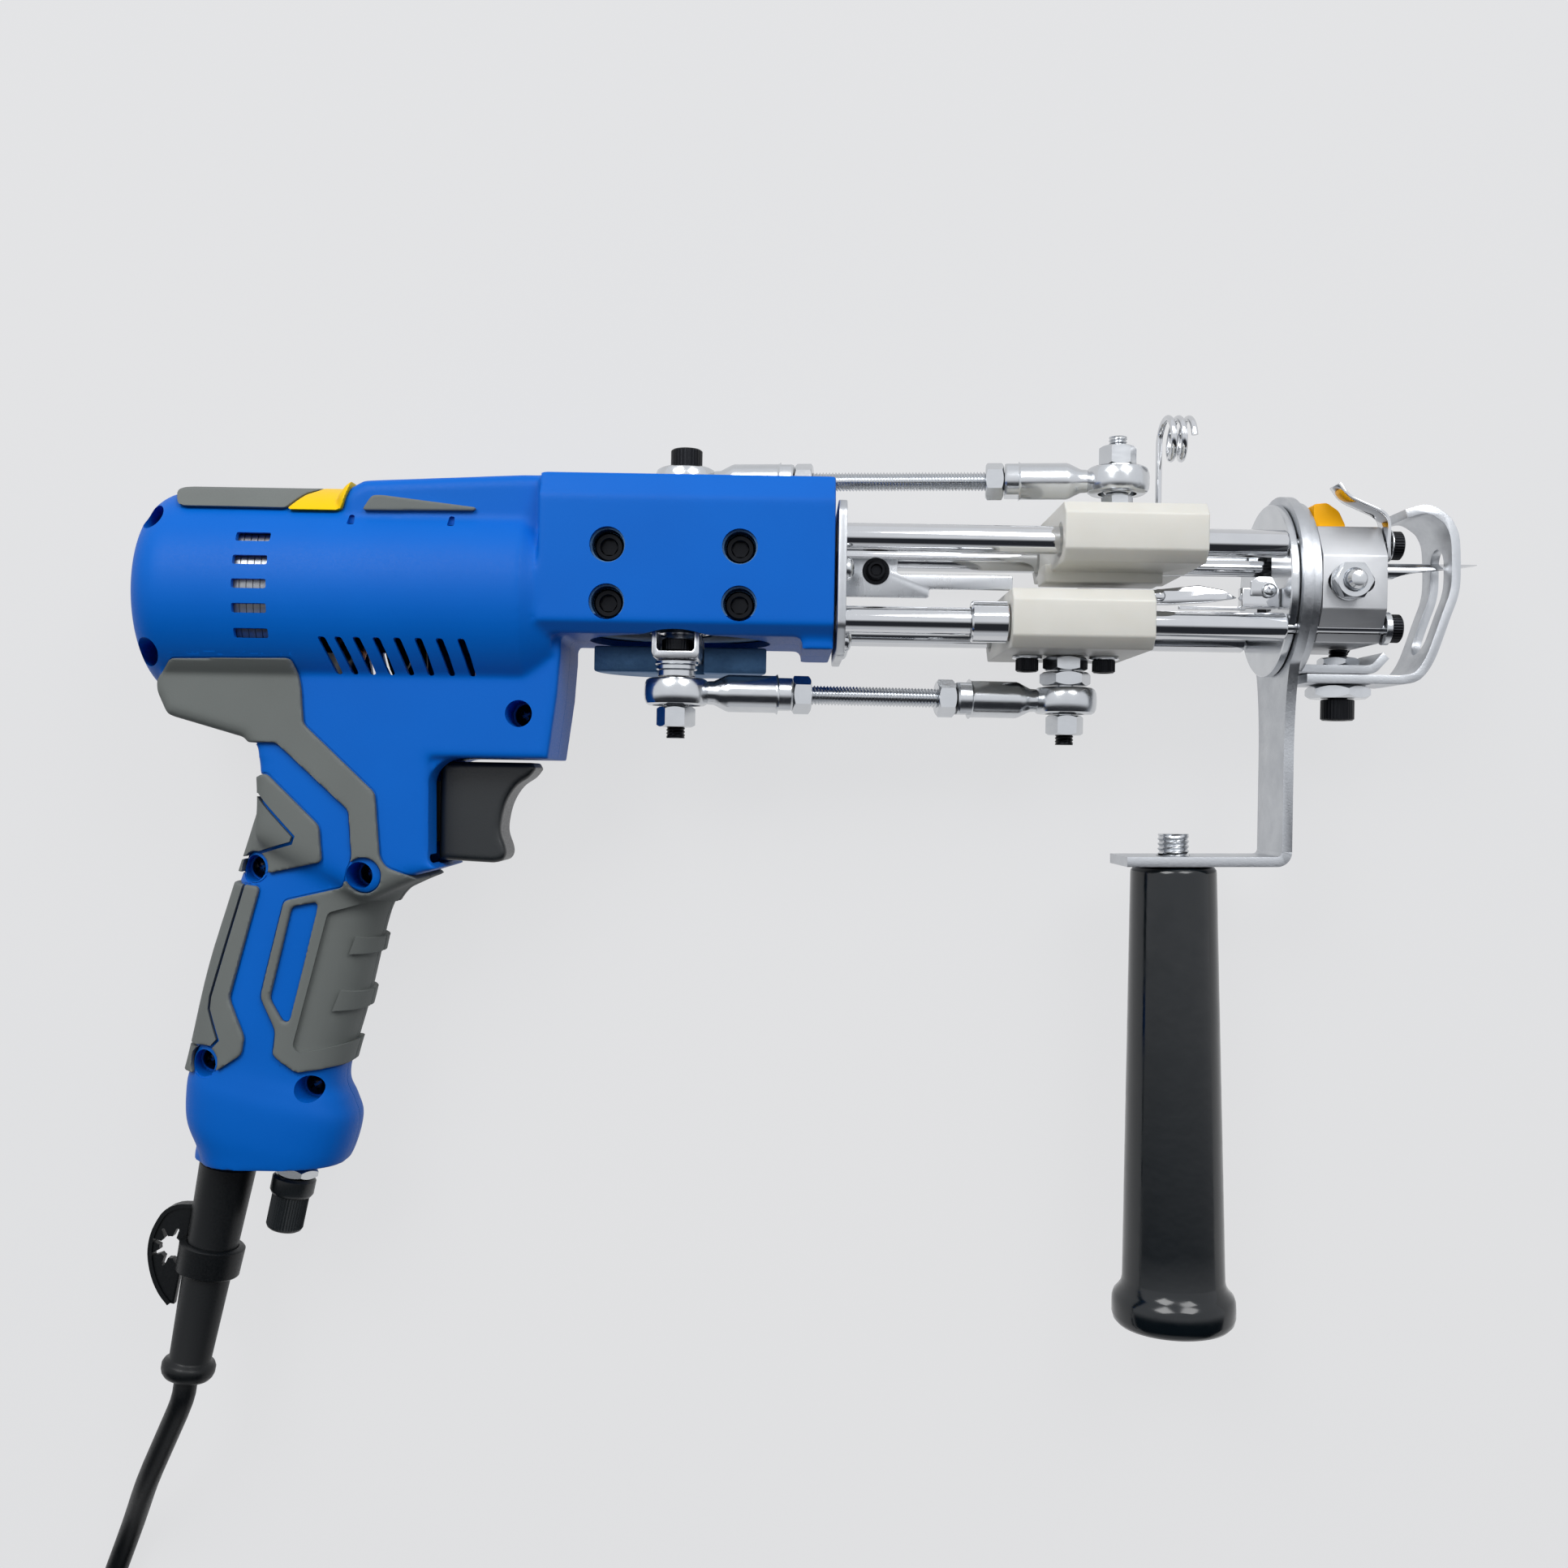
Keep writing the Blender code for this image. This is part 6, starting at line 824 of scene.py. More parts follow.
trenches = []
for key in ("band", "upperPanel", "backStrip", "inset", "inlay"):
    trenches.append((soft[key], padFacts["gap"], padFacts["gapDepth"]))
for key in ("band", "upperPanel", "backStrip", "inlay"):
    trenches.append((soft[key], padFacts["line"], padFacts["lineDepth"]))
trenches += [(outline, (-0.45, 0.1), padFacts["gapDepth"]) for outline in ringOutlines]
trenches.append((offsetOutline(soft["inset"], -1.5), (-0.2, 0.2), padFacts["lineDepth"]))
inside = cut(casing(-shellFacts["wall"]), joined(*[column(6, -60, 60, at) for at in screwPlaces]))
ventFacts = {"slats": [(-102.3, -98.7), (-97.5, -94.0), (-92.2, -88.9), (-86.4, -83.3), (-80.4, -77.6),
                       (-74.2, -71.7), (-68.1, -65.6), (-61.8, -59.5)], "rows": 5,
             "row": (-127.5, -117.5, 6.85, 9.55), "step": 7.0, "notches": (-95.3, -66.0),
             "hollows": [((0, 26.5, -21.5), (60, 60, 8.0)), ((-83.9, -86.7, -9.4), (-42.5, -55.4, 9.4))]}


def rowOutline(k):
    left, right, low, high = ventFacts["row"]
    low, high = low - k * ventFacts["step"], high - k * ventFacts["step"]
    return [(left, high), (right, high), (right, low), (left, low)]


slatFacts = {"levels": (-20.4, -30.8), "head": (-1.15, 1.05), "bend": (-0.9, 1.25), "bends": (-25.6, -25.2),
             "foot": (-1.0, 1.0), "round": 0.9, "depth": (15, 60)}


def slatOutline(top, bottom):  # a leaning slot, a little bent halfway
    middle, levels = (top + bottom) / 2, slatFacts["levels"]
    (headA, headB), (bendA, bendB), (footA, footB) = slatFacts["head"], slatFacts["bend"], slatFacts["foot"]
    lowBend, highBend = slatFacts["bends"]
    return rounded([(top + headA, levels[0]), (top + headB, levels[0]), (middle + bendB, highBend),
                    (bottom + footB, levels[1]), (bottom + footA, levels[1]), (middle + bendA, lowBend)],
                   slatFacts["round"], 3)


roomFacts = {"crank": ((25.3, 14.5, 60), (27.6, -30, -15.6)), "relief": (13.3, 0, 16), "rowRound": 0.6,
             "notch": [(-0.7, 15.8), (0.8, 15.8), (1.1, 12.7), (-1.1, 12.7)], "notchDepth": (22.5, 40),
             "knob": (3.3, -12, 2), "pinion": (5.9, -50, -30), "screw": (4.0, 6, 60), "blockScrew": (5.2, 21, 60)}
slotOutlines = [slatOutline(*slat) for slat in ventFacts["slats"]]
near, far = slatFacts["depth"]
slotSpans = [(-far, -near), (near, far)]
rowPrisms = [prism(rounded(rowOutline(k), roomFacts["rowRound"], 3), -60, 60) for k in range(ventFacts["rows"])]
notchPrisms = [prism(rounded([(at + x, y) for x, y in roomFacts["notch"]], roomFacts["rowRound"], 3),
                     *roomFacts["notchDepth"]) for at in ventFacts["notches"]]
rooms = [*[rod(*size, upward, 88, 0) for size in roomFacts["crank"]],
         *[box(*hollow) for hollow in ventFacts["hollows"]],
         rod(*roomFacts["relief"], reliefFrame),
         joined(*rowPrisms),
         joined(*[prism(outline, *span) for outline in slotOutlines for span in slotSpans]),
         joined(*notchPrisms),
         rod(*roomFacts["knob"], knobFrame, 32, 0), rod(*roomFacts["pinion"], motorLine, 32, 0),
         joined(*[column(*roomFacts["screw"], at, 32) for at in screwPlaces]),
         joined(*[column(*roomFacts["blockScrew"], at, 40) for at in blockScrews])]
shell = fastBoolean(outerSkin.copy(), inside, 'DIFFERENCE')
for room in rooms:
    shell = fastBoolean(shell, room, 'DIFFERENCE')
halves = {"right": fastBoolean(shell.copy(), rightHalf, 'INTERSECT'),
          "left": fastBoolean(shell, leftHalf, 'INTERSECT')}
margins = {depth: skinLayer(-depth, 3) for depth in (padFacts["gapDepth"], padFacts["lineDepth"])}
for depth, margin in margins.items():
    for outline, (inner, outer), own in trenches:
        if own == depth:
            wall = fastBoolean(margin.copy(), wallPrism(outline, inner, outer, 0.16, 60), 'INTERSECT')
            halves["left"] = fastBoolean(halves["left"], mirrored(wall), 'DIFFERENCE')
            halves["right"] = fastBoolean(halves["right"], wall, 'DIFFERENCE')
for side, half in halves.items():
    makePiece(side + "Shell", half, blueAbs, "machine", [side + "_housing"], smooth=40)
print("shells made")

# Top strip and yellow insert, cut from a layer over the skin
stripFacts = {"end": -110.5, "layer": (-0.8, 1.1), "corner": 1.0, "voxel": 0.4, "soften": 2,
              "grey": [(-41.5, 40), (-40.2, 24.4), (-36.4, 18.4), (-34.0, 17.8), (-4.5, 17.6), (-1.0, 23.5),
                       (1.5, 25.2), (1.5, 40)],
              "yellow": [(2.0, 40), (2.0, 24.6), (-0.6, 22.8), (-4.1, 17.2), (11.8, 17.2), (14.2, 24), (14.4, 40)]}
stripLayer = skinLayer(*stripFacts["layer"])
for name, key, finish, node in (("topStrip", "grey", greyRubber, "top_strip"),
                                ("yellowInsert", "yellow", yellowAbs, "yellow_insert")):
    outline = rounded([(stripFacts["end"] + x, y) for x, y in stripFacts[key]], stripFacts["corner"], 3)
    piece = fastBoolean(stripLayer.copy(), prism(outline, -60, 60), 'INTERSECT')
    makePiece(name, moulded(piece, stripFacts["voxel"], stripFacts["soften"]), finish, "machine", [node], smooth=50)
print("top strips made")


# Fasteners
fastenerFacts = {"knurls": 36, "knurl": 0.12}


def toothed(count, marks):  # an outline with the same few corners at each tooth
    return [(reach * math.cos(math.tau * k / count + angle), reach * math.sin(math.tau * k / count + angle))
            for k in range(count) for reach, angle in marks]


def crossRecess(width, depth, top, matrix):  # tapered cross of a Phillips screw
    half, tip, web = width / 2, width * 0.18, width * 0.11
    outline = [(-half, top + 0.5), (half, top + 0.5), (half, top), (tip, top - depth), (-tip, top - depth),
               (-half, top)]
    return [placed(prism(outline, -web, web), matrix @ Matrix.Rotation(turn + 0.5, 4, 'Z') @ downward)
            for turn in (0, math.pi / 2)]


def domedHead(radius, seat, height, matrix=identity, steps=40):
    rim = seat + height * 0.35
    arc = [(radius * math.cos(math.pi / 2 * k / 8) * 0.98, rim + height * 0.65 * math.sin(math.pi / 2 * k / 8))
           for k in range(1, 8)]
    return turned([(0, seat), (radius, seat), (radius, rim)] + arc + [(0, seat + height)], steps, matrix)


def phillipsScrew(radius, seat, height, matrix=identity):
    recess = crossRecess(radius * 1.15, height * 0.75, seat + height, matrix)
    return cut(domedHead(radius, seat, height, matrix), *recess)


def socketScrew(radius, seat, height, matrix=identity, flats=None):  # knurled cap screw head
    top, flats, knurls = seat + height, flats or radius * 1.05, fastenerFacts["knurls"]
    head = prism(toothed(knurls, [(radius, 0), (radius - fastenerFacts["knurl"], math.pi / knurls)]), seat, top)
    trim = turned([(0, seat - 1), (radius - 0.3, seat - 0.001), (radius + 0.2, seat + 0.45),
                   (radius + 0.2, top - 0.6), (radius - 0.55, top), (0, top + 0.001)], 48)
    key = prism(hexOutline(flats), seat + height * 0.45, top + 1)
    lead = turned([(0, top - 0.45), (flats * 0.5, top - 0.4), (flats * 0.66, top + 0.3), (0, top + 0.3)], 32)
    return placed(cut(common(head, trim), key, lead), matrix)


def nutAt(flats, start, end, matrix, bore=0):
    nut = hexagon(flats, start, end)
    if bore:
        nut = cut(nut, turned([(0, end - 0.6), (bore, end - 0.6), (bore + 0.7, end + 0.2), (0, end + 0.2)], 40))
    return placed(nut, matrix)


shellScrewFacts = (("shellScrews", phillipsScrew, (3.6, 3.4, 5.2), screwPlaces),
                   ("blockScrewHeads", socketScrew, (4.3, 20.4, 3.6), blockScrews))
for name, maker, size, places in shellScrewFacts:
    makePiece(name, joined(*[maker(*size, shifted(*place)) for place in places]), blackOxide, "machine")
print("shell screws made")

# Trigger and its switch
triggerFacts = {"half": 9.0, "edge": 1.6, "voxel": 0.4, "soften": 6,
                "back": [(-71.5, -55.8), (-43.6, -55.8)], "low": (-71.5, -85.6),
                "tail": ((-77.5, -80.2, -4.5), (-70.5, -61.9, 4.5)),
                "front": [(-42.6, -57.6), (-44.6, -60.2), (-48.4, -63.0), (-51.2, -67.4), (-52.6, -72.4),
                          (-52.9, -77.0), (-51.5, -81.2), (-51.2, -83.6), (-52.3, -85.6), (-55.0, -86.3)]}
outline = triggerFacts["back"] + flatLine(triggerFacts["front"], 1.2) + [triggerFacts["low"]]
lever = prism(outline, -triggerFacts["half"], triggerFacts["half"], identity, triggerFacts["edge"], 3)
lever = fastBoolean(moulded(lever, triggerFacts["voxel"], triggerFacts["soften"]), box(*triggerFacts["tail"]),
                    'UNION')
makePiece("triggerLever", lever, blackAbs, "trigger", ["trigger"], smooth=45)
switchFacts = {"body": ((-98.3, -83.05, -16.2), (-78.3, -59.05, 16.2)), "plate": ((-98.9, -76, -8), (-97.9, -66, 8))}
makePiece("switchBody", united(bevelled(box(*switchFacts["body"]), 0.8), bevelled(box(*switchFacts["plate"]), 0.3)),
          blackAbs, "machine", ["trigger_switch"])

# Base of the grip: nut, speed knob, relief and key holder
knobFacts = {"nut": (12.0, 0.3, 3.1), "bore": (3.3, -1, 5), "flutes": 40, "radius": 5.6, "flute": 0.32,
             "body": (8.4, 20.4),
             "trim": [(0, 7.4), (7, 7.4), (7, 9.6), (5.7, 10.4), (5.62, 18.9), (5.1, 19.9), (4.3, 20.4), (0, 20.4)],
             "collar": [(0, 3.4), (5.9, 3.4), (6.6, 4.2), (6.6, 8.2), (6.0, 9.2), (5.5, 9.5), (0, 9.5)],
             "dimple": [(0, 19.9), (2.6, 20.15), (3.1, 20.9), (0, 20.9)], "shaft": (3.0, -6.0, 4.0)}
makePiece("knobNut", cut(hexagon(*knobFacts["nut"], knobFrame), rod(*knobFacts["bore"], knobFrame, 32, 0)),
          zincTurned, "machine", ["knob_nut"])
fluted = toothed(knobFacts["flutes"], [(knobFacts["radius"], 0),
                                       (knobFacts["radius"] - knobFacts["flute"], math.pi / knobFacts["flutes"])])
knob = cut(common(prism(fluted, *knobFacts["body"]), turned(knobFacts["trim"], 64)), turned(knobFacts["dimple"], 48))
knob = united(knob, turned(knobFacts["collar"], 64), rod(*knobFacts["shaft"], identity, 32))
makePiece("speedKnob", placed(knob, knobFrame), blackAbs, "speed_knob", ["speed_knob"], smooth=40)

reliefFacts = {"profile": [(0, 0.3), (8.1, 0.3), (8.5, 0.8), (8.47, 1.6), (6.25, 61.2), (6.6, 61.9), (7.5, 62.3),
                           (8.0, 63.3), (8.0, 65.0), (7.6, 66.2), (6.8, 67.2), (6.0, 67.6), (4.6, 67.6), (4.2, 67.7),
                           (0, 67.7)]}
makePiece("reliefSleeve", turned(reliefFacts["profile"], 72, reliefFrame), softPvc, "machine", ["strain_relief"],
          40)
holderFacts = {"start": 16.0, "length": 31.0, "width": 10.4, "z": -3.0, "edge": 8.8, "plate": 1.3, "rim": 2.0,
               "hole": 3.4,
               "centre": (29.9, 13.2), "slits": 8, "slit": [(2.5, -0.7), (6.2, -0.45), (6.2, 0.45), (2.5, 0.7)],
               "clip": (25.3, 34.6), "clipBores": (8.5 - 2.3 / 62 * 25.3 + 0.25, 8.5 - 2.3 / 62 * 34.6 + 0.25),
               "shares": [(0, 0), (0.03, 0.42), (0.10, 0.72), (0.2, 0.88), (0.36, 1), (0.55, 0.97), (0.75, 0.75),
                          (0.9, 0.45), (1, 0.12), (1, 0)]}
sine, cosine = math.sin(reliefTilt), math.cos(reliefTilt)
acrossHolder = Matrix(((-sine, -cosine, 0, -136.4), (-cosine, sine, 0, -180.2), (0, 0, 1, holderFacts["z"]),
                       (0, 0, 0, 1)))
outline = fromShares(holderFacts["shares"], (holderFacts["start"], holderFacts["edge"]),
                     (holderFacts["length"], holderFacts["width"]))
curved = flatLine(outline[:-1], 1.6)
plate = prism(curved + outline[-1:], -holderFacts["plate"], holderFacts["plate"], identity, 0.3, 2)
middle = shifted(*holderFacts["centre"])
slits = [placed(prism(rounded(holderFacts["slit"], 0.4, 3), -4, 4),
                middle @ Matrix.Rotation(math.radians(12 + 45 * k), 4, 'Z'))
         for k in range(holderFacts["slits"])]
plate = united(cut(plate, rod(holderFacts["hole"], -4, 4, middle, 32, 0), *slits),
               strip(curved, 1.3, -holderFacts["rim"], holderFacts["rim"]))
(lowClip, highClip), (lowBore, highBore) = holderFacts["clip"], holderFacts["clipBores"]
clip = turned([(lowBore, lowClip), (lowBore + 1.6, lowClip + 0.2), (lowBore + 2.0, lowClip + 0.6),
               (highBore + 2.0, highClip - 0.6), (highBore + 1.6, highClip - 0.2), (highBore, highClip)], 64,
              reliefFrame, True)
makePiece("keyHolder", joined(placed(plate, acrossHolder), clip), softPvc, "machine", ["key_holder"], smooth=40)
print("trigger and grip base made")


# Motor and gear case inside the shell
def around(count, matrix):
    return [matrix @ Matrix.Rotation(math.tau * k / count, 4, 'Z') for k in range(count)]


statorFacts = {"stack": (29.7, 17.0, -140, -106), "lap": (31, 29.35), "lapStart": -138, "pitch": 2.0, "gap": 0.3,
               "laps": 16,
               "coilRadius": 22.14, "coilThick": 5.0, "coils": ((-144.5, -140.3), (-105.7, -101.5)), "voxel": 0.8,
               "soften": 4}
laps = [ring(*statorFacts["lap"], statorFacts["lapStart"] + k * statorFacts["pitch"],
             statorFacts["lapStart"] + statorFacts["gap"] + k * statorFacts["pitch"], motorLine, 96, 0)
        for k in range(statorFacts["laps"])]
makePiece("statorStack", fastBoolean(ring(*statorFacts["stack"], motorLine, 96, 0.4), joined(*laps), 'DIFFERENCE'),
          laminated, "machine", ["motor_stator"])
coils = []
for s in (-1, 1):
    turns = [math.radians(s * 90 + d) for d in range(-48, 49, 8)]
    line = [(statorFacts["coilRadius"] * math.cos(a), statorFacts["coilRadius"] * math.sin(a)) for a in turns]
    coils += [placed(strip(line, statorFacts["coilThick"], *span), motorLine) for span in statorFacts["coils"]]
makePiece("fieldCoils", moulded(joined(*coils), statorFacts["voxel"], statorFacts["soften"]), copperWire, "machine")

rotorFacts = {"core": (15.0, -138, -108), "slot": ((13.2, -0.7, -137), (16, 0.7, -109)), "count": 24,
              "commutator": (9.0, -150, -140), "bar": ((8.4, -0.35, -151), (9.6, 0.35, -141)),
              "shaft": (4.0, -157.9, -20.1),
              "pinionTeeth": 20, "pinion": (-20, -12), "pinionCone": [(0, -20), (5.0, -20), (3.0, -12), (0, -12)],
              "pinionMarks": [(4.2, -0.11), (5.0, -0.05), (5.0, 0.05), (4.2, 0.11)],
              "windings": ([(4.1, -108.2), (13.6, -108.1), (14.2, -106), (12.6, -103.4), (9.5, -103), (4.1, -103.2)],
                           [(4.1, -139.9), (13.6, -139.6), (14.0, -138.6), (12.6, -137.8), (4.1, -137.8)])}
slots, bars = (joined(*[placed(box(*rotorFacts[key]), spot) for spot in around(rotorFacts["count"], motorLine)])
               for key in ("slot", "bar"))
core = cut(rod(*rotorFacts["core"], motorLine, 96, 0.3), slots)
commutator = cut(rod(*rotorFacts["commutator"], motorLine, 72, 0.3), bars)
pinion = common(prism(toothed(rotorFacts["pinionTeeth"], rotorFacts["pinionMarks"]), *rotorFacts["pinion"],
                      motorLine), turned(rotorFacts["pinionCone"], 40, motorLine))
core = united(core, rod(*rotorFacts["shaft"], motorLine, 40, 0.4), commutator)
makePiece("armatureCore", joined(core, pinion), laminated, "armature", ["armature"])
makePiece("armatureWinding", joined(*[turned(profile, 64, motorLine, True) for profile in rotorFacts["windings"]]),
          copperWire, "armature")
fanFacts = {"blade": [(7.0, 0), (12, 1.6), (17, 2.2), (22, 1.4), (25.6, -0.8)], "span": (-86, -80.6), "blades": 12,
            "hub": (8.5, 4.3, -86, -80), "disc": (25.8, 7.0, -86, -84.9)}
blades = [placed(strip(fanFacts["blade"], 1.1, *fanFacts["span"]), spot) for spot in around(fanFacts["blades"],
                                                                                            motorLine)]
hub = united(ring(*fanFacts["hub"], motorLine, 64, 0.4), ring(*fanFacts["disc"], motorLine, 96, 0.2))
makePiece("fanWheel", joined(hub, *blades), blackAbs, "armature", ["cooling_fan"])

caseFacts = {"body": ((-37.5, -15.7, -27.1), (43.9, 14.5, 27.1)), "room": (21.0, -9.7, 8.5),
             "shaft": (9.8, -17.7, 16.5), "pinion": (6.0, -39.5, -4.9), "screws": (4.7, 21, 60),
             "section": [(14.5, 27.1), (14.5, -27.1), (-12.3, -27.1), (-15.7, -23.7), (-15.7, 23.7), (-12.3, 27.1)],
             "bearings": (("upper", 9.2), ("lower", -15.4)), "bearing": 5.0}
case = cut(bevelled(box(*caseFacts["body"]), 1.6, 3), rod(*caseFacts["room"], upward, 72, 0),
           rod(*caseFacts["shaft"], upward, 72, 0), rod(*caseFacts["pinion"], motorLine, 32, 0),
           *[column(*caseFacts["screws"], place, 32) for place in blockScrews])
makePiece("gearHousing", common(case, prism(caseFacts["section"], -38, 44, alongX)), castIron, "machine",
          ["gear_case"])
for side, start in caseFacts["bearings"]:
    end = start + caseFacts["bearing"]
    races = joined(ring(9.5, 7.9, start, end, upward, 64, 0.25), ring(6.5, 5.2, start, end, upward, 64, 0.2),
                   ring(7.8, 6.6, start + 0.4, start + 0.8, upward, 64, 0), ring(7.8, 6.6, end - 0.8, end - 0.4,
                                                                                 upward, 64, 0))
    makePiece(side + "Bearing", races, groundSteel, "machine", [side + "_crank_bearing"])


# Crank: shaft with its gear, arms, counterweights and pins
def outward(upper, x, z):  # a frame whose +Z leaves the machine's top or underside
    return Matrix.Translation((x, 0, z)) @ ((halfTurn @ downward) if upper else downward)


crankFacts = {"teeth": 60, "marks": [(19.1, -0.036), (20.0, -0.016), (20.0, 0.016), (19.1, 0.036)],
              "gear": (-6.2, 4.8), "wheel": [(0, -3.2), (12, -3.2), (20, -1.2), (20, 1.3), (12, 3.8), (0, 3.8)],
              "shaft": (4.9, -24.2, 24.2),
              "centres": ((1.6, 22.6, 25), (1.6, -25, -22.6)), "arm": (-7.0, 22.5), "throw": 15.0, "shaftHole": 5.2,
              "pinHole": 3.2, "weight": {"upper": 23.8, "lower": 26.5}, "weightSpan": (19.2, 27.2),
              "gap": ((-7.3, -48, -7.3), (7.3, 0, 7.0)),
              "section": [(-7.0, 16.9), (-6.6, 16.5), (-5.9, 16.5), (-5.5, 16.9), (-5.5, 21.5), (-4.9, 22.3),
                          (4.9, 22.3), (5.5, 21.5), (5.5, 16.9), (5.9, 16.5), (6.6, 16.5), (7.0, 16.9), (7.0, 22.8),
                          (6.5, 24.1), (5.4, 24.6), (-5.4, 24.6), (-6.5, 24.1), (-7.0, 22.8)]}
gear = placed(common(turned(crankFacts["wheel"], 96), prism(toothed(crankFacts["teeth"], crankFacts["marks"]),
                                                            *crankFacts["gear"])), upward)
shaft = cut(rod(*crankFacts["shaft"], upward, 64, 0.4),
            *[rod(*centre, upward, 32, 0) for centre in crankFacts["centres"]])
makePiece("crankShaft", united(gear, shaft), zincTurned, "crank", ["crank_shaft"])
for side in ("upper", "lower"):
    turn = halfTurn if side == "upper" else identity
    arm = bevelled(prism([(x, -y) for x, y in crankFacts["section"]], *crankFacts["arm"]), 0.3, 2, 60)
    arm = cut(arm, rod(crankFacts["shaftHole"], 0, 40, outward(False, 0, 0), 48, 0),
              rod(crankFacts["pinHole"], 0, 40, outward(False, 0, crankFacts["throw"]), 40, 0))
    makePiece(side + "CrankArm", placed(arm, turn), zincSheet, "crank", [side + "_crank_arm"])
    radius = crankFacts["weight"][side]
    rim = [(radius * math.cos(math.pi * k / 48), -radius * math.sin(math.pi * k / 48)) for k in range(49)]
    weight = cut(prism(rim, *crankFacts["weightSpan"], outward(False, 0, -0.3), 0.7, 2), box(*crankFacts["gap"]))
    makePiece(side + "Counterweight", placed(weight, turn), castIron, "crank", [side + "_counterweight"])

linkFacts = {"grip": (4.75, 8, 30.2, 36), "y": 34.0, "stud": {"upper": 133.7, "lower": 118.6}, "crank": 15.0,
             "lead": 1.4, "ball": 5.5, "ballHalf": 4.2,
             "thread": (3.0, 0.6, 1.0), "reach": 24, "nut": (34.8, 40.3), "flats": 10.0, "rearEye": 7.2,
             "frontEye": 5.9,
             "socket": [(0, 8.6), (3.2, 8.6), (3.5, 9.5), (3.6, 11.2), (4.4, 12.8), (5.3, 14.6), (5.6, 15.6),
                        (5.6, 29.4), (5.75, 29.9), (6.2, 30.3), (6.2, 33.9), (5.7, 34.5), (3.3, 34.5), (3.3, 23.2),
                        (0, 23.2)],
             "eye": [(8.3, 30.0), (9.1, 30.5), (9.55, 31.6), (9.7, 33.0), (9.7, 35.0), (9.55, 36.4), (9.1, 37.5),
                     (8.3, 38.0)]}
pinFacts = {"washers": ((6.4, 1.5, 24.9, 26.0), (6.1, 1.5, 26.1, 27.5), (5.6, 1.5, 27.6, 29.5)), "bore": 1.5,
            "lowHead": (4.6, 18.4, 3.6), "lowShank": (2.9, 21.5, 39), "lowThread": (2.85, 0.42, 1.0, 38.4, 47.8),
            "lowNut": (10.0, 38.5, 44.5), "highHead": (5.0, 38.5, 6.0), "highShank": (2.9, 18.7, 39),
            "highNut": (9.2, 18.7, 22.0)}


def ballAround(bore, matrix):
    ball, half, y = linkFacts["ball"], linkFacts["ballHalf"], linkFacts["y"]
    edge = math.asin(half / ball)
    arc = [(ball * math.cos(-edge + 2 * edge * k / 12), y + ball * math.sin(-edge + 2 * edge * k / 12))
           for k in range(13)]
    return turned([(bore, y - half)] + arc + [(bore, y + half)], 48, matrix, True)


lowPin, highPin = outward(False, 0, crankFacts["throw"]), outward(True, 0, -crankFacts["throw"])
lowBolt = united(placed(socketScrew(*pinFacts["lowHead"]), lowPin), rod(*pinFacts["lowShank"], lowPin, 40, 0.2))
lowBolt = joined(lowBolt, threaded(*pinFacts["lowThread"], lowPin))
highBolt = united(socketScrew(*pinFacts["highHead"], highPin), rod(*pinFacts["highShank"], highPin, 40, 0.2))
for side, at, bolt, nut in (("lower", lowPin, lowBolt, nutAt(*pinFacts["lowNut"], lowPin, 3.0)),
                            ("upper", highPin, highBolt, nutAt(*pinFacts["highNut"], highPin))):
    makePiece(side + "CrankBolt", bolt, blackOxide, "crank", [side + "_crank_pin"])
    makePiece(side + "CrankNut", nut, zincTurned, "crank", smooth=30)
    washers = [ring(*washer, at, 56) for washer in pinFacts["washers"]]
    makePiece(side + "CrankWashers", joined(joined(*washers), ballAround(pinFacts["bore"], at)), zincTurned, "crank")
print("motor, gear and crank made")


# Links: rod ends with threaded rods and jam nuts
def rodEnd(upper, at, direction, eyeBore):
    along = frameFor(direction, (at[0], linkFacts["y"] if upper else -linkFacts["y"], at[1]))
    flat, past, low, high = linkFacts["grip"]
    flats = joined(*[placed(box((a, -past, low), (b, past, high)), along) for a, b in ((-past, -flat), (flat, past))])
    eye = turned([(eyeBore, 30.0)] + linkFacts["eye"] + [(eyeBore, 38.0)], 72, outward(upper, *at), True)
    return united(eye, cut(turned(linkFacts["socket"], 48, along), flats))


bodyOf = {"upper": "needle_carriage", "lower": "scissor_carriage"}
for side, sign in (("upper", -1), ("lower", 1)):
    upper, body = side == "upper", bodyOf[side]
    rear, tip = (0, sign * (linkFacts["crank"] - linkFacts["lead"])), (linkFacts["stud"][side], 0)
    along = Vector((tip[0] - rear[0], 0, tip[1] - rear[1]))
    length = along.length
    along.normalize()
    makePiece(side + "RearRodEnd", rodEnd(upper, rear, along, linkFacts["rearEye"]), zincTurned, body,
              [side + "_rear_rod_end"])
    makePiece(side + "FrontRodEnd", rodEnd(upper, tip, -along, linkFacts["frontEye"]), zincTurned, body,
              [side + "_front_rod_end"])
    line = frameFor(along, (rear[0], -sign * linkFacts["y"], rear[1]))
    shank = threaded(*linkFacts["thread"], linkFacts["reach"], length - linkFacts["reach"], line, 32)
    near, far = linkFacts["nut"]
    nuts = [nutAt(linkFacts["flats"], *span, line) for span in ((near, far), (length - far, length - near))]
    makePiece(side + "LinkRod", joined(shank, *nuts), zincTurned, body, [side + "_link_rod"], smooth=30)
print("links made")

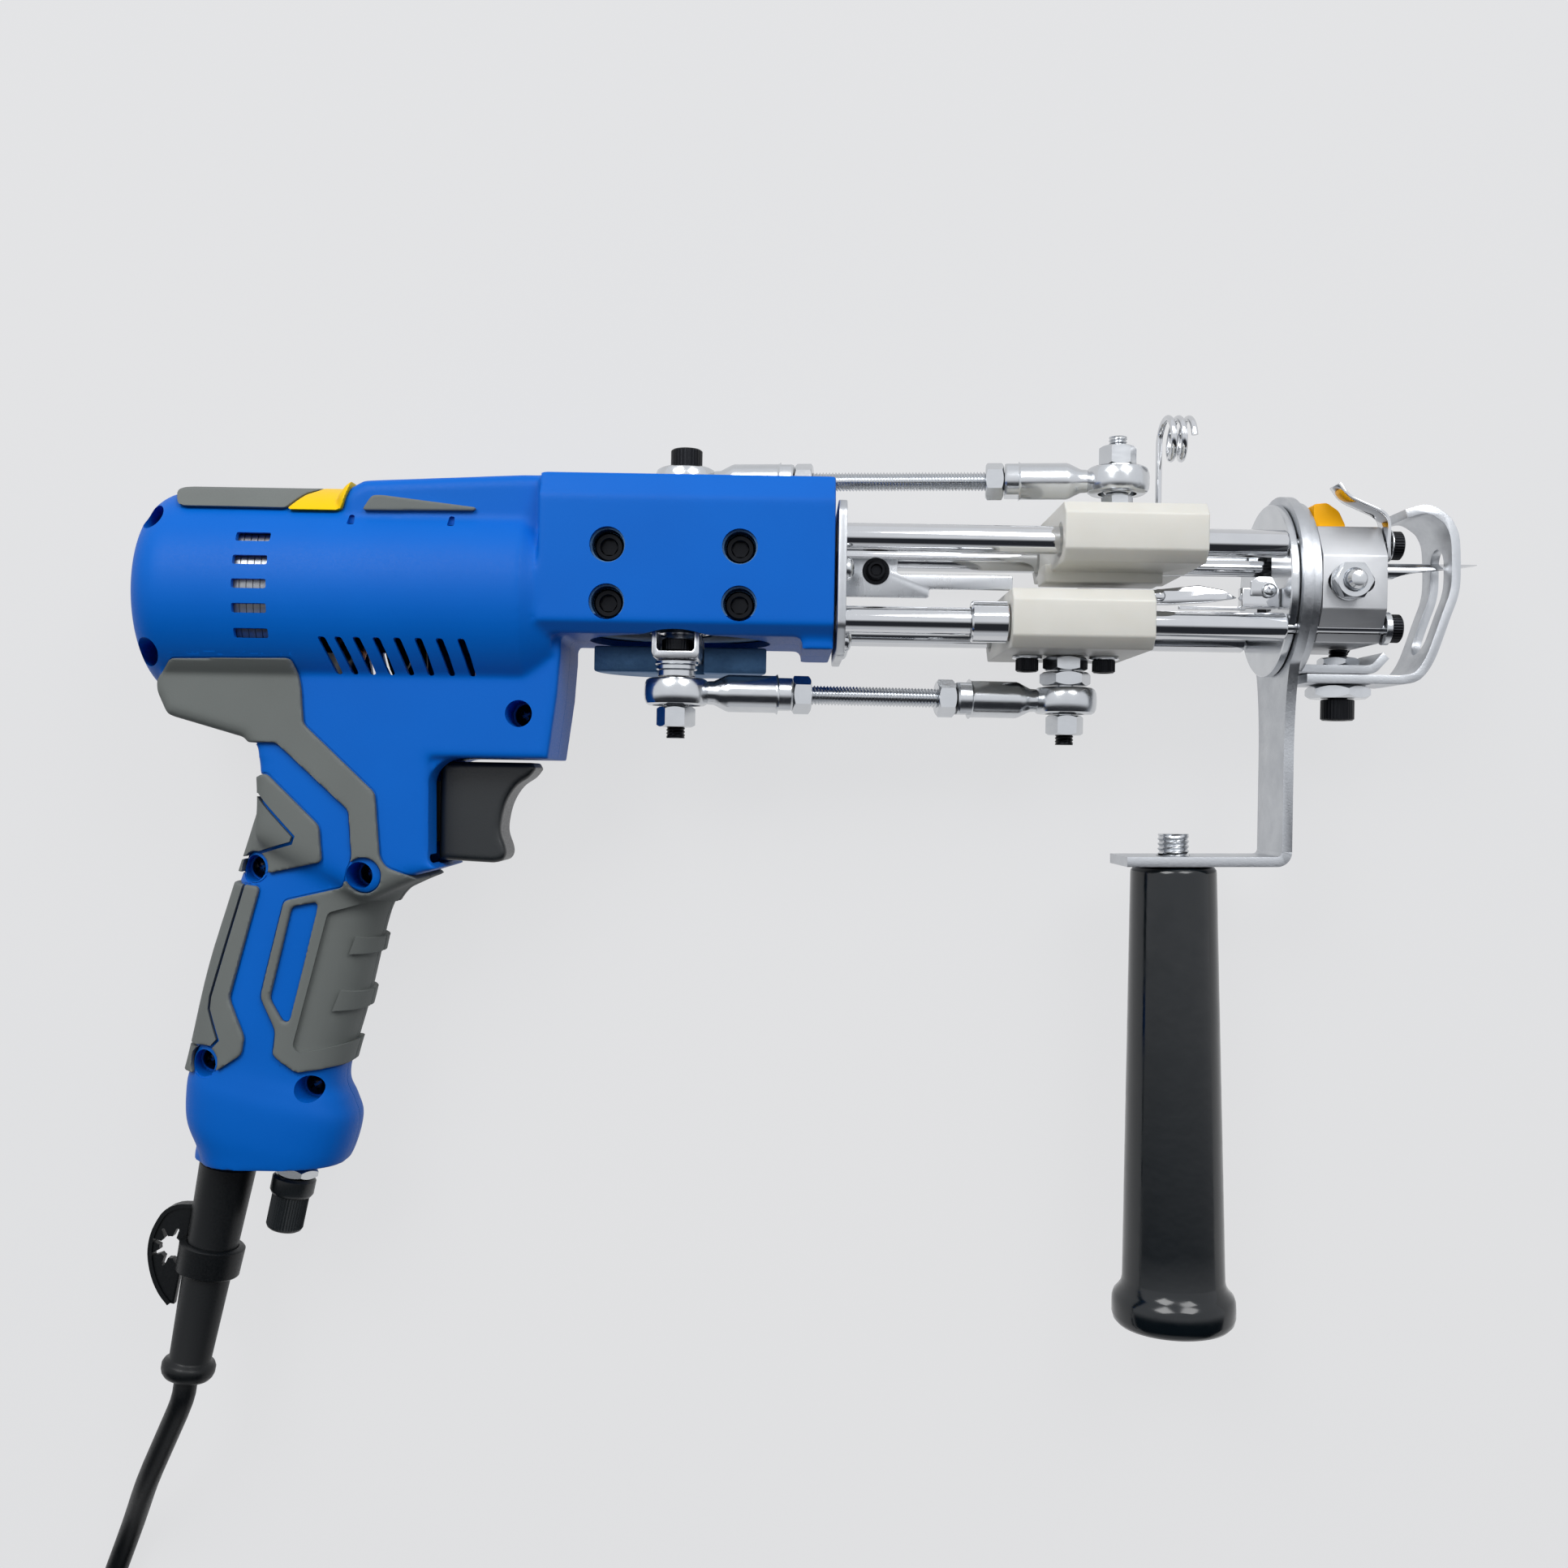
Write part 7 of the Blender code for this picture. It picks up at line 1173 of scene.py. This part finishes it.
# Carriages of white nylon with their studs, needle side up
shaftZ, shaftY = 21.0, 12.2
carriageFacts = {"half": 30.0, "chamfer": 3.5, "bore": 4.5, "mouth": (5.4, 4.4, 0.9), "edge": 0.5, "screwStep": 11.8,
                 "washer": (4.6, 1.6, 20.25, 21.2),
                 "screw": (3.5, 21.2, 4.0), "keel": ((110.7, 1.8, -6.5), (146.7, 7.2, 6.5)),
                 "upperStudHole": (3.2, 17.5, 25), "lowerStudHole": (3.2, 14.9, 24),
                 "guideHole": (1.3, 18.5, 25), "needleHole": (2.8, 129.7, 158), "upper": (22.8, 5.2, 112.7, 154.5),
                 "lower": (-2.6, -20.2, 98.0, 139.5)}
needleFacts = {"y": 7.6, "profile": [(1.6, 130), (2.5, 130), (2.5, 244.5), (1.6, 244.5)],
               "slant": [(216.5, 3.1), (246.5, 3.1), (246.5, 12.1), (244.2, 9.6), (236, 8.6), (226, 7.4),
                         (222.1, 6.6), (219, 5.4)]}
guideFacts = {"x": 148.5, "z": -9.0, "wire": 1.0, "coil": 6.2, "pitch": 3.2, "steps": 91, "y": 48.0,
              "stem": (18.8, 24.8, 36.0, 41.8)}
studFacts = {"upper": (22.8, ((12.0, 0.35), (8.5, 0.65))), "lower": (20.2, ((12.0, 0.5), (13.6, 0.5))), "shank": 2.9,
             "end": 39, "nut": (10.0, 38.5, 44.5), "thread": (2.85, 0.42, 1.0, 38.4, 47.5)}


def boreAlong(radius, start, end, y, z, steps=40):
    return rod(radius, start, end, alongAt(y, z), steps, 0)


for side, sy in (("upper", 1), ("lower", -1)):
    top, base, start, end = carriageFacts[side]
    half, c = carriageFacts["half"], carriageFacts["chamfer"]
    section = [(base, half - c), (base + c, half), (top - c, half), (top, half - c)]
    block = prism([(y, -z) for y, z in section[::-1]] + section, start, end, alongX)
    bores = [boreAlong(carriageFacts["bore"], start - 8, end + 5.5, sy * shaftY, s * shaftZ) for s in (-1, 1)]
    holes = [rod(*carriageFacts[side + "StudHole"], outward(sy > 0, linkFacts["stud"][side], 0), 32, 0)]
    if side == "upper":
        block = united(block, box(*carriageFacts["keel"]))
        holes += [rod(*carriageFacts["guideHole"], outward(True, guideFacts["x"], guideFacts["z"]), 24, 0),
                  boreAlong(*carriageFacts["needleHole"], needleFacts["y"], 0)]
    wide, narrow, deep = carriageFacts["mouth"]
    mouths = [turned([(0, h), (wide, h), (narrow, h + d), (0, h + d)], 40, alongAt(sy * shaftY, s * shaftZ))
              for h, d in ((start - 0.01, deep), (end + 0.01, -deep)) for s in (-1, 1)]
    block = cut(bevelled(block, carriageFacts["edge"], 3), *bores, *holes, joined(*mouths))
    makePiece(side + "Carriage", block, milkyNylon, bodyOf[side], [side + "_carriage"])
spots = [outward(False, linkFacts["stud"]["lower"] + s * carriageFacts["screwStep"], 0) for s in (-1, 1)]
makePiece("carriageScrews", joined(*[socketScrew(*carriageFacts["screw"], spot) for spot in spots]), blackOxide,
          "scissor_carriage")
makePiece("carriageWashers", joined(*[ring(*carriageFacts["washer"], spot) for spot in spots]), zincTurned,
          "scissor_carriage")

for side, finish in (("upper", zincTurned), ("lower", blackOxide)):
    base, spacers = studFacts[side]
    at = outward(side == "upper", linkFacts["stud"][side], 0)
    parts = [rod(studFacts["shank"], base - 5.0, studFacts["end"], at, 40, 0.2), ballAround(pinFacts["bore"], at),
             nutAt(*studFacts["nut"], at, 3.0)]
    height, room = base + 0.3, linkFacts["y"] - linkFacts["ballHalf"] - base
    for flats, share in spacers:
        step = room * share - 0.3
        parts.append(nutAt(flats, height, height + step - 0.3, at))
        height += step + 0.15
    makePiece(side + "Stud", joined(*parts), zincTurned, bodyOf[side], [side + "_stud"], smooth=30)
    makePiece(side + "StudThread", threaded(*studFacts["thread"], at), finish, bodyOf[side], (), 30)

# Needle, yarn guide, collar and blades
needleTube = turned(needleFacts["profile"], 56, alongAt(needleFacts["y"], 0), True)
makePiece("hollowNeedle", cut(needleTube, prism(needleFacts["slant"], -5, 5)), groundSteel, "needle_carriage",
          ["needle"])
guideX, guideZ, coil = guideFacts["x"], guideFacts["z"], guideFacts["coil"]
wire = [(guideX, y, guideZ) for y in guideFacts["stem"]]
for k in range(guideFacts["steps"]):
    angle = math.tau * k / 36
    wire.append((guideX + guideFacts["pitch"] * k / 36, guideFacts["y"] + coil * math.sin(angle),
                 guideZ + coil - coil * math.cos(angle)))
makePiece("yarnGuideWire", tube(wire, guideFacts["wire"], 8), groundSteel, "needle_carriage", ["yarn_guide"],
          60)
collarFacts = {"size": (6.1, 4.5, 86.7, 97.7)}
makePiece("bearingCollar", ring(*collarFacts["size"], alongAt(-shaftY, shaftZ), 64, 0.5), groundSteel,
          "scissor_carriage", ["bearing_collar"])
bladeFacts = {"corner": (120.3, -4.9), "size": (48.0, 6.0), "fixed": (7.3, 8.6), "moving": (8.9, 10.2),
              "pivot": (144.5, -2.4),
              "foot": ((120.3, -2.3, 2.3), (138.3, -0.7, 8.6)), "pin": (1.2, 6.0, 10.5), "dome": (2.05, 10.45, 1.3),
              "hole": (1.5, 5, 14),
              "heel": [(0, 0.45), (0, 0.783)], "movingHeel": [(0.423, 0.42), (0.44, 0.70)], "tail": [(0.4146, 0.45)],
              "edge": [(0.4625, 0.717), (0.758, 1), (0.9125, 0.783), (1, 0.383), (0.827, 0.15), (0.577, 0),
                       (0.431, 0)]}
fixedShape, movingShape = (fromShares(shares, bladeFacts["corner"], bladeFacts["size"]) for shares in (
    bladeFacts["heel"] + bladeFacts["edge"] + bladeFacts["tail"], bladeFacts["movingHeel"] + bladeFacts["edge"]))
pivotAt = shifted(*bladeFacts["pivot"])
pivot = united(rod(*bladeFacts["pin"], pivotAt, 24), domedHead(*bladeFacts["dome"], pivotAt, 24))
blade = united(bevelled(prism(fixedShape, *bladeFacts["fixed"]), 0.25, 2), bevelled(box(*bladeFacts["foot"]), 0.3))
makePiece("fixedBlade", joined(blade, pivot), groundSteel, "scissor_carriage", ["fixed_blade"])
blade = cut(bevelled(prism(movingShape, *bladeFacts["moving"]), 0.3, 2), rod(*bladeFacts["hole"], pivotAt, 24, 0))
makePiece("movingBlade", blade, groundSteel, "moving_blade", ["moving_blade"])
print("carriages, needle and blades made")

# Barrel: rear plate, four shafts and the rail between them
corners = [(sy, sz) for sy in (1, -1) for sz in (1, -1)]
plateFacts = {"x": (47.2, 49.7), "side": [(-23.0, 22.0), (-15.0, 30.0), (18.8, 30.0), (22.3, 26.5)], "hole": 4.4,
              "screws": [(2.2, 25.0), (-17.8, 15.0), (2.2, -25.0), (-17.8, -15.0)], "screw": (3.4, 49.6, 2.5)}
side = plateFacts["side"]
plate = prism(rounded([(y, -z) for y, z in side[::-1]] + side, 1.5, 3), *plateFacts["x"], alongX, 0.35, 2)
plate = cut(plate, *[boreAlong(plateFacts["hole"], 45, 52, sy * shaftY, sz * shaftZ) for sy, sz in corners[::-1]])
makePiece("rearPlate", plate, zincTumbled, "machine", ["rear_plate"])
heads = [phillipsScrew(*plateFacts["screw"], alongAt(y, z)) for y, z in plateFacts["screws"]]
makePiece("plateScrews", joined(*heads), zincTurned, "machine")
railFacts = {"corner": (50.0, -4.5), "size": (50.0, 11.6), "z": (12.0, 14.0), "screw": (59.0, 3.1),
             "washer": (4.05, 1.0, 14.05, 15.0),
             "shares": [(0, 0), (0.5, 0), (0.5, 0.233), (1, 0.233), (1, 0.603), (0.31, 0.603), (0.31, 1), (0, 1)]}
outline = rounded(fromShares(railFacts["shares"], railFacts["corner"], railFacts["size"]), 0.8, 3)
makePiece("rearRail", bevelled(prism(outline, *railFacts["z"]), 0.25, 2, 60), zincSheet, "machine", ["rear_rail"])
at = shifted(*railFacts["screw"])
makePiece("railScrew", joined(ring(*railFacts["washer"], at), socketScrew(3.0, 15.0, 2.5, at, 3.0)), blackOxide,
          "machine")

headFacts = {"disc": 179.5, "discThick": 2.6, "discRadius": 26.3, "centreY": 0.8, "bracketRadius": 28.7,
             "bracketThick": 3.0, "footRadius": 27.0, "footThick": 2.5, "noseLength": 19.0, "gap": 0.3, "hole": 2.2,
             "channel": ((170, -6.0, -7.0), (230, 12.0, 7.0)), "capWasher": (4.9, 1.9), "cap": (4.2, 3.5)}
gap, disc = headFacts["gap"], headFacts["disc"]
afterDisc = disc + headFacts["discThick"] + gap
afterBracket = afterDisc + headFacts["bracketThick"] + gap
noseStart = afterBracket + headFacts["footThick"] + gap
face = noseStart + headFacts["noseLength"] + gap
seat = face + 1.0 + gap
shaftProfile = [(0, 47.2), (3.7, 47.2), (4.1, 47.6), (4.1, 178.6), (3.7, 179.2), (1.9, 179.2), (1.9, seat), (0, seat)]
for row, sy in (("upper", 1), ("lower", -1)):
    for sideName, sz in (("right", 1), ("left", -1)):
        makePiece(row + sideName.capitalize() + "Shaft", turned(shaftProfile, 64, alongAt(sy * shaftY, sz * shaftZ)),
                  groundSteel, "machine", [row + "_" + sideName + "_shaft"])
ends = [alongAt(sy * shaftY, sz * shaftZ) for sy, sz in corners]
makePiece("frontCapScrews", joined(*[socketScrew(headFacts["cap"][0], seat + 0.5, headFacts["cap"][1], end)
                                     for end in ends]), blackOxide, "machine")
makePiece("frontWashers",
          joined(*[ring(*headFacts["capWasher"], seat if end is ends[0] else face, seat + 0.5, end, 48, 0.15)
                   for end in ends]), zincTurned, "machine")


# Head: disc, handle bracket, foot bracket and nose
def discAt(radius, start, thick, edge=0.35):
    return rod(radius, start, start + thick, alongAt(headFacts["centreY"], 0), 112, edge)


channel = box(*headFacts["channel"])
capHoles = [boreAlong(headFacts["hole"], 170, 230, sy * shaftY, sz * shaftZ, 32) for sy in (-1, 1) for sz in (-1, 1)]
makePiece("frontDisc", cut(discAt(headFacts["discRadius"], disc, headFacts["discThick"]), channel, *capHoles),
          zincTurned, "machine", ["front_disc"])
bracketFacts = {"bend": 4.5, "low": -83.4, "foot": 136.0, "handle": 152.9, "half": 12.5, "haunch": 20.7,
                "haunchLow": -50.0, "haunchRise": 31.0, "splay": math.radians(0.96), "studHole": (5.2, -8, 4)}
thick, bend, splay, half = headFacts["bracketThick"], bracketFacts["bend"], bracketFacts["splay"], bracketFacts["half"]
bendX, low, middle = afterDisc + thick - bend, bracketFacts["low"] + bend, bend - thick / 2
line = [(afterDisc + thick / 2, low)]
line += [(bendX + middle * math.cos(math.pi / 2 * k / 10), low - middle * math.sin(math.pi / 2 * k / 10))
         for k in range(1, 11)]
line.append((bracketFacts["foot"], low - middle - (bendX - bracketFacts["foot"]) * math.tan(splay)))
waist = [(half + (bracketFacts["haunch"] - half) * (1 - math.cos(math.pi / 2 * k / 12)),
          bracketFacts["haunchLow"] + bracketFacts["haunchRise"] * math.sin(math.pi / 2 * k / 12)) for k in range(13)]
outline = [(half, low)] + waist + [(-x, y) for x, y in waist[::-1]] + [(-half, low)]
arm = prism(outline, afterDisc, afterDisc + thick, Matrix(((0, 0, 1, 0), (0, 1, 0, 0), (-1, 0, 0, 0), (0, 0, 0, 1))))
handleTop = bracketFacts["low"] - (bendX - bracketFacts["handle"]) * math.tan(splay)
handleAt = shifted(bracketFacts["handle"], handleTop) @ Matrix.Rotation(splay, 4, 'Z') @ Matrix.Rotation(math.pi / 2,
                                                                                                         4, 'X')
bracket = united(discAt(headFacts["bracketRadius"], afterDisc, thick, 0), arm, strip(line, thick, -half, half))
bracket = bevelled(cut(bracket, channel, *capHoles), 0.5, 3, 50)
makePiece("handleBracket", cut(bracket, rod(*bracketFacts["studHole"], handleAt, 48, 0)), zincTumbled, "machine",
          ["handle_bracket"])
tabFacts = {"y": -22.2, "thick": 2.6, "length": 22.5, "half": 10, "lip": 3.4, "lipEnd": (2.6, 2.9), "bolt": 202.6,
            "hole": 3.3}
tabY, tabThick, tabEnd = tabFacts["y"], tabFacts["thick"], afterBracket + tabFacts["length"]
plate = cut(discAt(headFacts["footRadius"], afterBracket, headFacts["footThick"], 0),
            box((170, -40, -40), (230, tabY - tabThick, 40)))
lip = [(afterBracket + 1.0, tabY - tabThick / 2), (tabEnd, tabY - tabThick / 2)]
lip += [(tabEnd + tabFacts["lip"] * math.sin(math.radians(a)), tabY - tabThick / 2
         + tabFacts["lip"] * (1 - math.cos(math.radians(a))))
        for a in range(9, 55, 9)]
lip.append((lip[-1][0] + tabFacts["lipEnd"][0], lip[-1][1] + tabFacts["lipEnd"][1]))
boltLine = shifted(tabFacts["bolt"]) @ alongY
plate = cut(united(plate, strip(lip, tabThick, -tabFacts["half"], tabFacts["half"])), channel, *capHoles)
makePiece("footBracket", cut(bevelled(plate, 0.5, 3, 50), rod(tabFacts["hole"], tabY - 5, tabY + 3, boltLine, 40, 0)),
          zincTumbled, "machine", ["foot_bracket"])
noseFacts = {"side": [(-16.6, 20.5), (-7.2, 26.5), (8.4, 26.5), (17.8, 20.5)], "slot": 3.2, "slotEnds": (4.7, 12.0),
             "y": 0.7, "coverLow": (-3.6, -15.0), "coverHigh": (8.7, 15.0), "coverThick": 1.5,
             "window": ((-2, 4.1, -3.4), (4, 10.7, 3.4))}
side = noseFacts["side"]
nose = bevelled(prism([(y, -z) for y, z in side[::-1]] + side, noseStart, noseStart + headFacts["noseLength"],
                      alongX), 0.4, 2)
outline = []
for shift, turn in zip(noseFacts["slotEnds"], (math.pi / 2, -math.pi / 2)):
    outline += [(noseStart + shift + noseFacts["slot"] * math.cos(turn + math.pi * k / 12),
                 noseFacts["y"] + noseFacts["slot"] * math.sin(turn + math.pi * k / 12)) for k in range(13)]
makePiece("noseBlock", cut(nose, channel, *capHoles, prism(outline, 5, 28.5)), milledAluminium, "machine",
          ["nose_block"])
cover = bevelled(box((face, *noseFacts["coverLow"]), (face + noseFacts["coverThick"], *noseFacts["coverHigh"])), 0.3,
                 2)
window = box(*[(face + x, y, z) for x, y, z in noseFacts["window"]])
makePiece("noseCover", cut(cover, window), zincSheet, "machine", ["nose_plate"])
depthFacts = {"at": (196.1, 0.7), "shank": (2.9, 8.0, 26.8), "washer": (5.6, 2.95, 26.8, 27.6),
              "nut": (10.0, 27.7, 31.6),
              "tip": [(0, 26), (2.9, 26), (2.9, 33.6), (2.2, 34.7), (1.2, 34.96), (0, 34.96)]}
at = shifted(*depthFacts["at"])
stud = united(rod(*depthFacts["shank"], at, 40, 0.2), turned(depthFacts["tip"], 40, at))
stud = joined(stud, ring(*depthFacts["washer"], at, 56), nutAt(*depthFacts["nut"], at, 3.0))
makePiece("depthStud", stud, zincTurned, "depth_stud", ["depth_stud"], smooth=30)

springFacts = {"shares": [(1.042, -0.817), (1.042, 0.1), (0.968, 0.3), (0.416, 0.667), (0.263, 1.0)], "bend": 2.2,
               "thick": 1.0, "corner": 17.8, "size": (19.0, 12.0), "z": (17.0, 25.0)}
knots = fromShares(springFacts["shares"], (noseStart, springFacts["corner"]), springFacts["size"])
path = [knots[0]]
for before, here, after in zip(knots, knots[1:], knots[2:]):  # flat runs with small bends between them
    back, ahead = Vector(before) - Vector(here), Vector(after) - Vector(here)
    back, ahead = (way.normalized() * min(springFacts["bend"], way.length * 0.45) for way in (back, ahead))
    path += [tuple(Vector(here) + back * (1 - k / 5) ** 2 + ahead * (k / 5) ** 2) for k in range(6)]
spring = bevelled(strip(path + knots[-1:], springFacts["thick"], *springFacts["z"]), 0.25, 2, 50)
makePiece("leafSpring", cut(spring, boreAlong(headFacts["hole"], face - 2, face + 4, shaftY, shaftZ, 32)),
          groundSteel, "machine", ["leaf_spring"])
wedgeFacts = {"shares": [(0, 0), (0, 0.94), (0.40, 1), (0.76, 0.67), (0.96, 0.12), (0.96, 0)], "y": 18.1,
              "size": (9.8, 7.3), "z": (-6.0, 16.7)}
outline = rounded(fromShares(wedgeFacts["shares"], (noseStart + gap, wedgeFacts["y"]), wedgeFacts["size"]), 0.8, 3)
makePiece("yellowWedge", prism(outline, *wedgeFacts["z"], identity, 0.45, 3), orangeAbs, "machine", ["yellow_wedge"])

camFacts = {"length": 11.2, "low": -6.1, "height": 9.2, "block": (11.8, 16.3), "bar": (-6.6, -5.6, 11.8, 13.6),
            "barStart": 150.0, "plate": (16.0, 17.0), "screw": (2.2, 16.9, 1.5), "screwAt": (3.36, 0.55),
            "shares": [(0.21, 0.37), (0.21, 0.85), (0.40, 1), (0.77, 1), (0.95, 0.6), (0.77, 0.37)]}
camEnd, camLow = disc - gap, camFacts["low"]
camStart, (barLow, barHigh, barIn, barOut) = camEnd - camFacts["length"], camFacts["bar"]
block = bevelled(box((camStart, camLow, camFacts["block"][0]), (camEnd, 0.0, camFacts["block"][1])), 0.5, 3)
bar = bevelled(box((camFacts["barStart"], barLow, barIn), (camStart + 2.0, barHigh, barOut)), 0.2)
outline = rounded(fromShares(camFacts["shares"], (camStart, camLow), (camFacts["length"], camFacts["height"])), 0.5,
                  2)
makePiece("camBlock", united(block, bar, bevelled(prism(outline, *camFacts["plate"]), 0.2, 2)), groundSteel,
          "machine", ["cam_block"])
at = shifted(camEnd - camFacts["screwAt"][0], camLow + camFacts["height"] * camFacts["screwAt"][1])
makePiece("camScrew", phillipsScrew(*camFacts["screw"], at), zincTurned, "machine")

# Presser foot with its bolt
footFacts = {"thick": 2.7, "half": 11.0, "x": 189.5, "size": (44.4, 51.5), "slotX": (216.1, 242.8),
             "slotY": (-13.0, 9.5), "slotHalf": 5.0,
             "boltSlot": ((196.3, -5, -3.3), (208.9, 2, 3.3)), "spacer": (17.0, 3.8), "nut": (11.0, 2.8),
             "bolt": 2.95,
             "shares": [(0.642, 0), (0.72, 0.012), (0.777, 0.049), (0.845, 0.15), (0.935, 0.373), (0.985, 0.5),
                        (1, 0.612), (0.991, 0.816), (0.96, 0.90), (0.912, 0.951), (0.80, 1), (0.655, 0.971)]}
footTop, thick = tabY - tabThick - gap, footFacts["thick"]
knots = fromShares(footFacts["shares"], (footFacts["x"], footTop - thick / 2), footFacts["size"])
sheet = strip([(footFacts["x"], footTop - thick / 2)] + flatLine(knots, 1.3), thick, -footFacts["half"],
              footFacts["half"])
(slotLow, slotHigh), slotHalf = footFacts["slotY"], footFacts["slotHalf"]
slotEnds = [rod(slotHalf, *footFacts["slotX"], alongAt(y, 0), 40, 0) for y in (slotLow, slotHigh)]
slotBox = box(*[(x, y, z) for x, y, z in zip(footFacts["slotX"], (slotLow, slotHigh), (-slotHalf, slotHalf))])
sheet = bevelled(cut(sheet, united(slotBox, *slotEnds)), 0.55, 3, 50)
boltSlot = box(*[(x, footTop + y, z) for x, y, z in footFacts["boltSlot"]])
makePiece("presserFoot", cut(sheet, boltSlot), zincTumbled, "presser_foot", ["presser_foot"])
under, lift = footTop - thick - gap, tabY + gap
boltHead = socketScrew(5.0, 4.1 - under, 6.4, shifted(tabFacts["bolt"]) @ Matrix.Rotation(math.pi / 2, 4, 'X'))
bolt = united(boltHead, rod(footFacts["bolt"], under - 5, tabY + 1.5, boltLine, 40, 0.1))
makePiece("footBolt", joined(bolt, threaded(footFacts["bolt"], 0.5, 1.0, lift, lift + 5.0, boltLine)), blackOxide,
          "machine", ["foot_bolt"])
spacer = nutAt(footFacts["spacer"][0], under - footFacts["spacer"][1], under, boltLine)
thinNut = nutAt(footFacts["nut"][0], lift, tabY + footFacts["nut"][1], boltLine)
makePiece("footSpacer", joined(spacer, thinNut), zincTurned, "machine", smooth=30)

# Front handle: glossy dipped sleeve on its threaded stud
handleFacts = {"socket": [(0, 18.3), (5.2, 18.3), (5.2, 0.3), (11.0, 0.3), (12.2, 0.6), (12.9, 1.5), (13.0, 2.4)],
               "top": (13.0, 2.4), "grow": 2.5, "run": 124.6, "stud": (4.85, 0.7, 1.5, -9.6, 17.8),
               "flange": [(15.9, 129.0), (17.0, 130.6), (18.1, 131.8), (18.6, 133.2), (18.7, 135), (18.7, 137.8),
                          (18.2, 139.6), (17.2, 140.7), (15.6, 141.0), (0, 141.0)]}
sleeve = [(handleFacts["top"][0] + handleFacts["grow"] * k / 12, handleFacts["top"][1] + handleFacts["run"] * k / 12)
          for k in range(1, 13)]
makePiece("handleSleeve", turned(handleFacts["socket"] + sleeve + handleFacts["flange"], 96, handleAt), glossyPvc,
          "machine", ["front_handle"], smooth=40)
makePiece("handleStud", threaded(*handleFacts["stud"], handleAt, 40), zincTurned, "machine", ["handle_stud"],
          smooth=30)
print("head, foot and handle made")
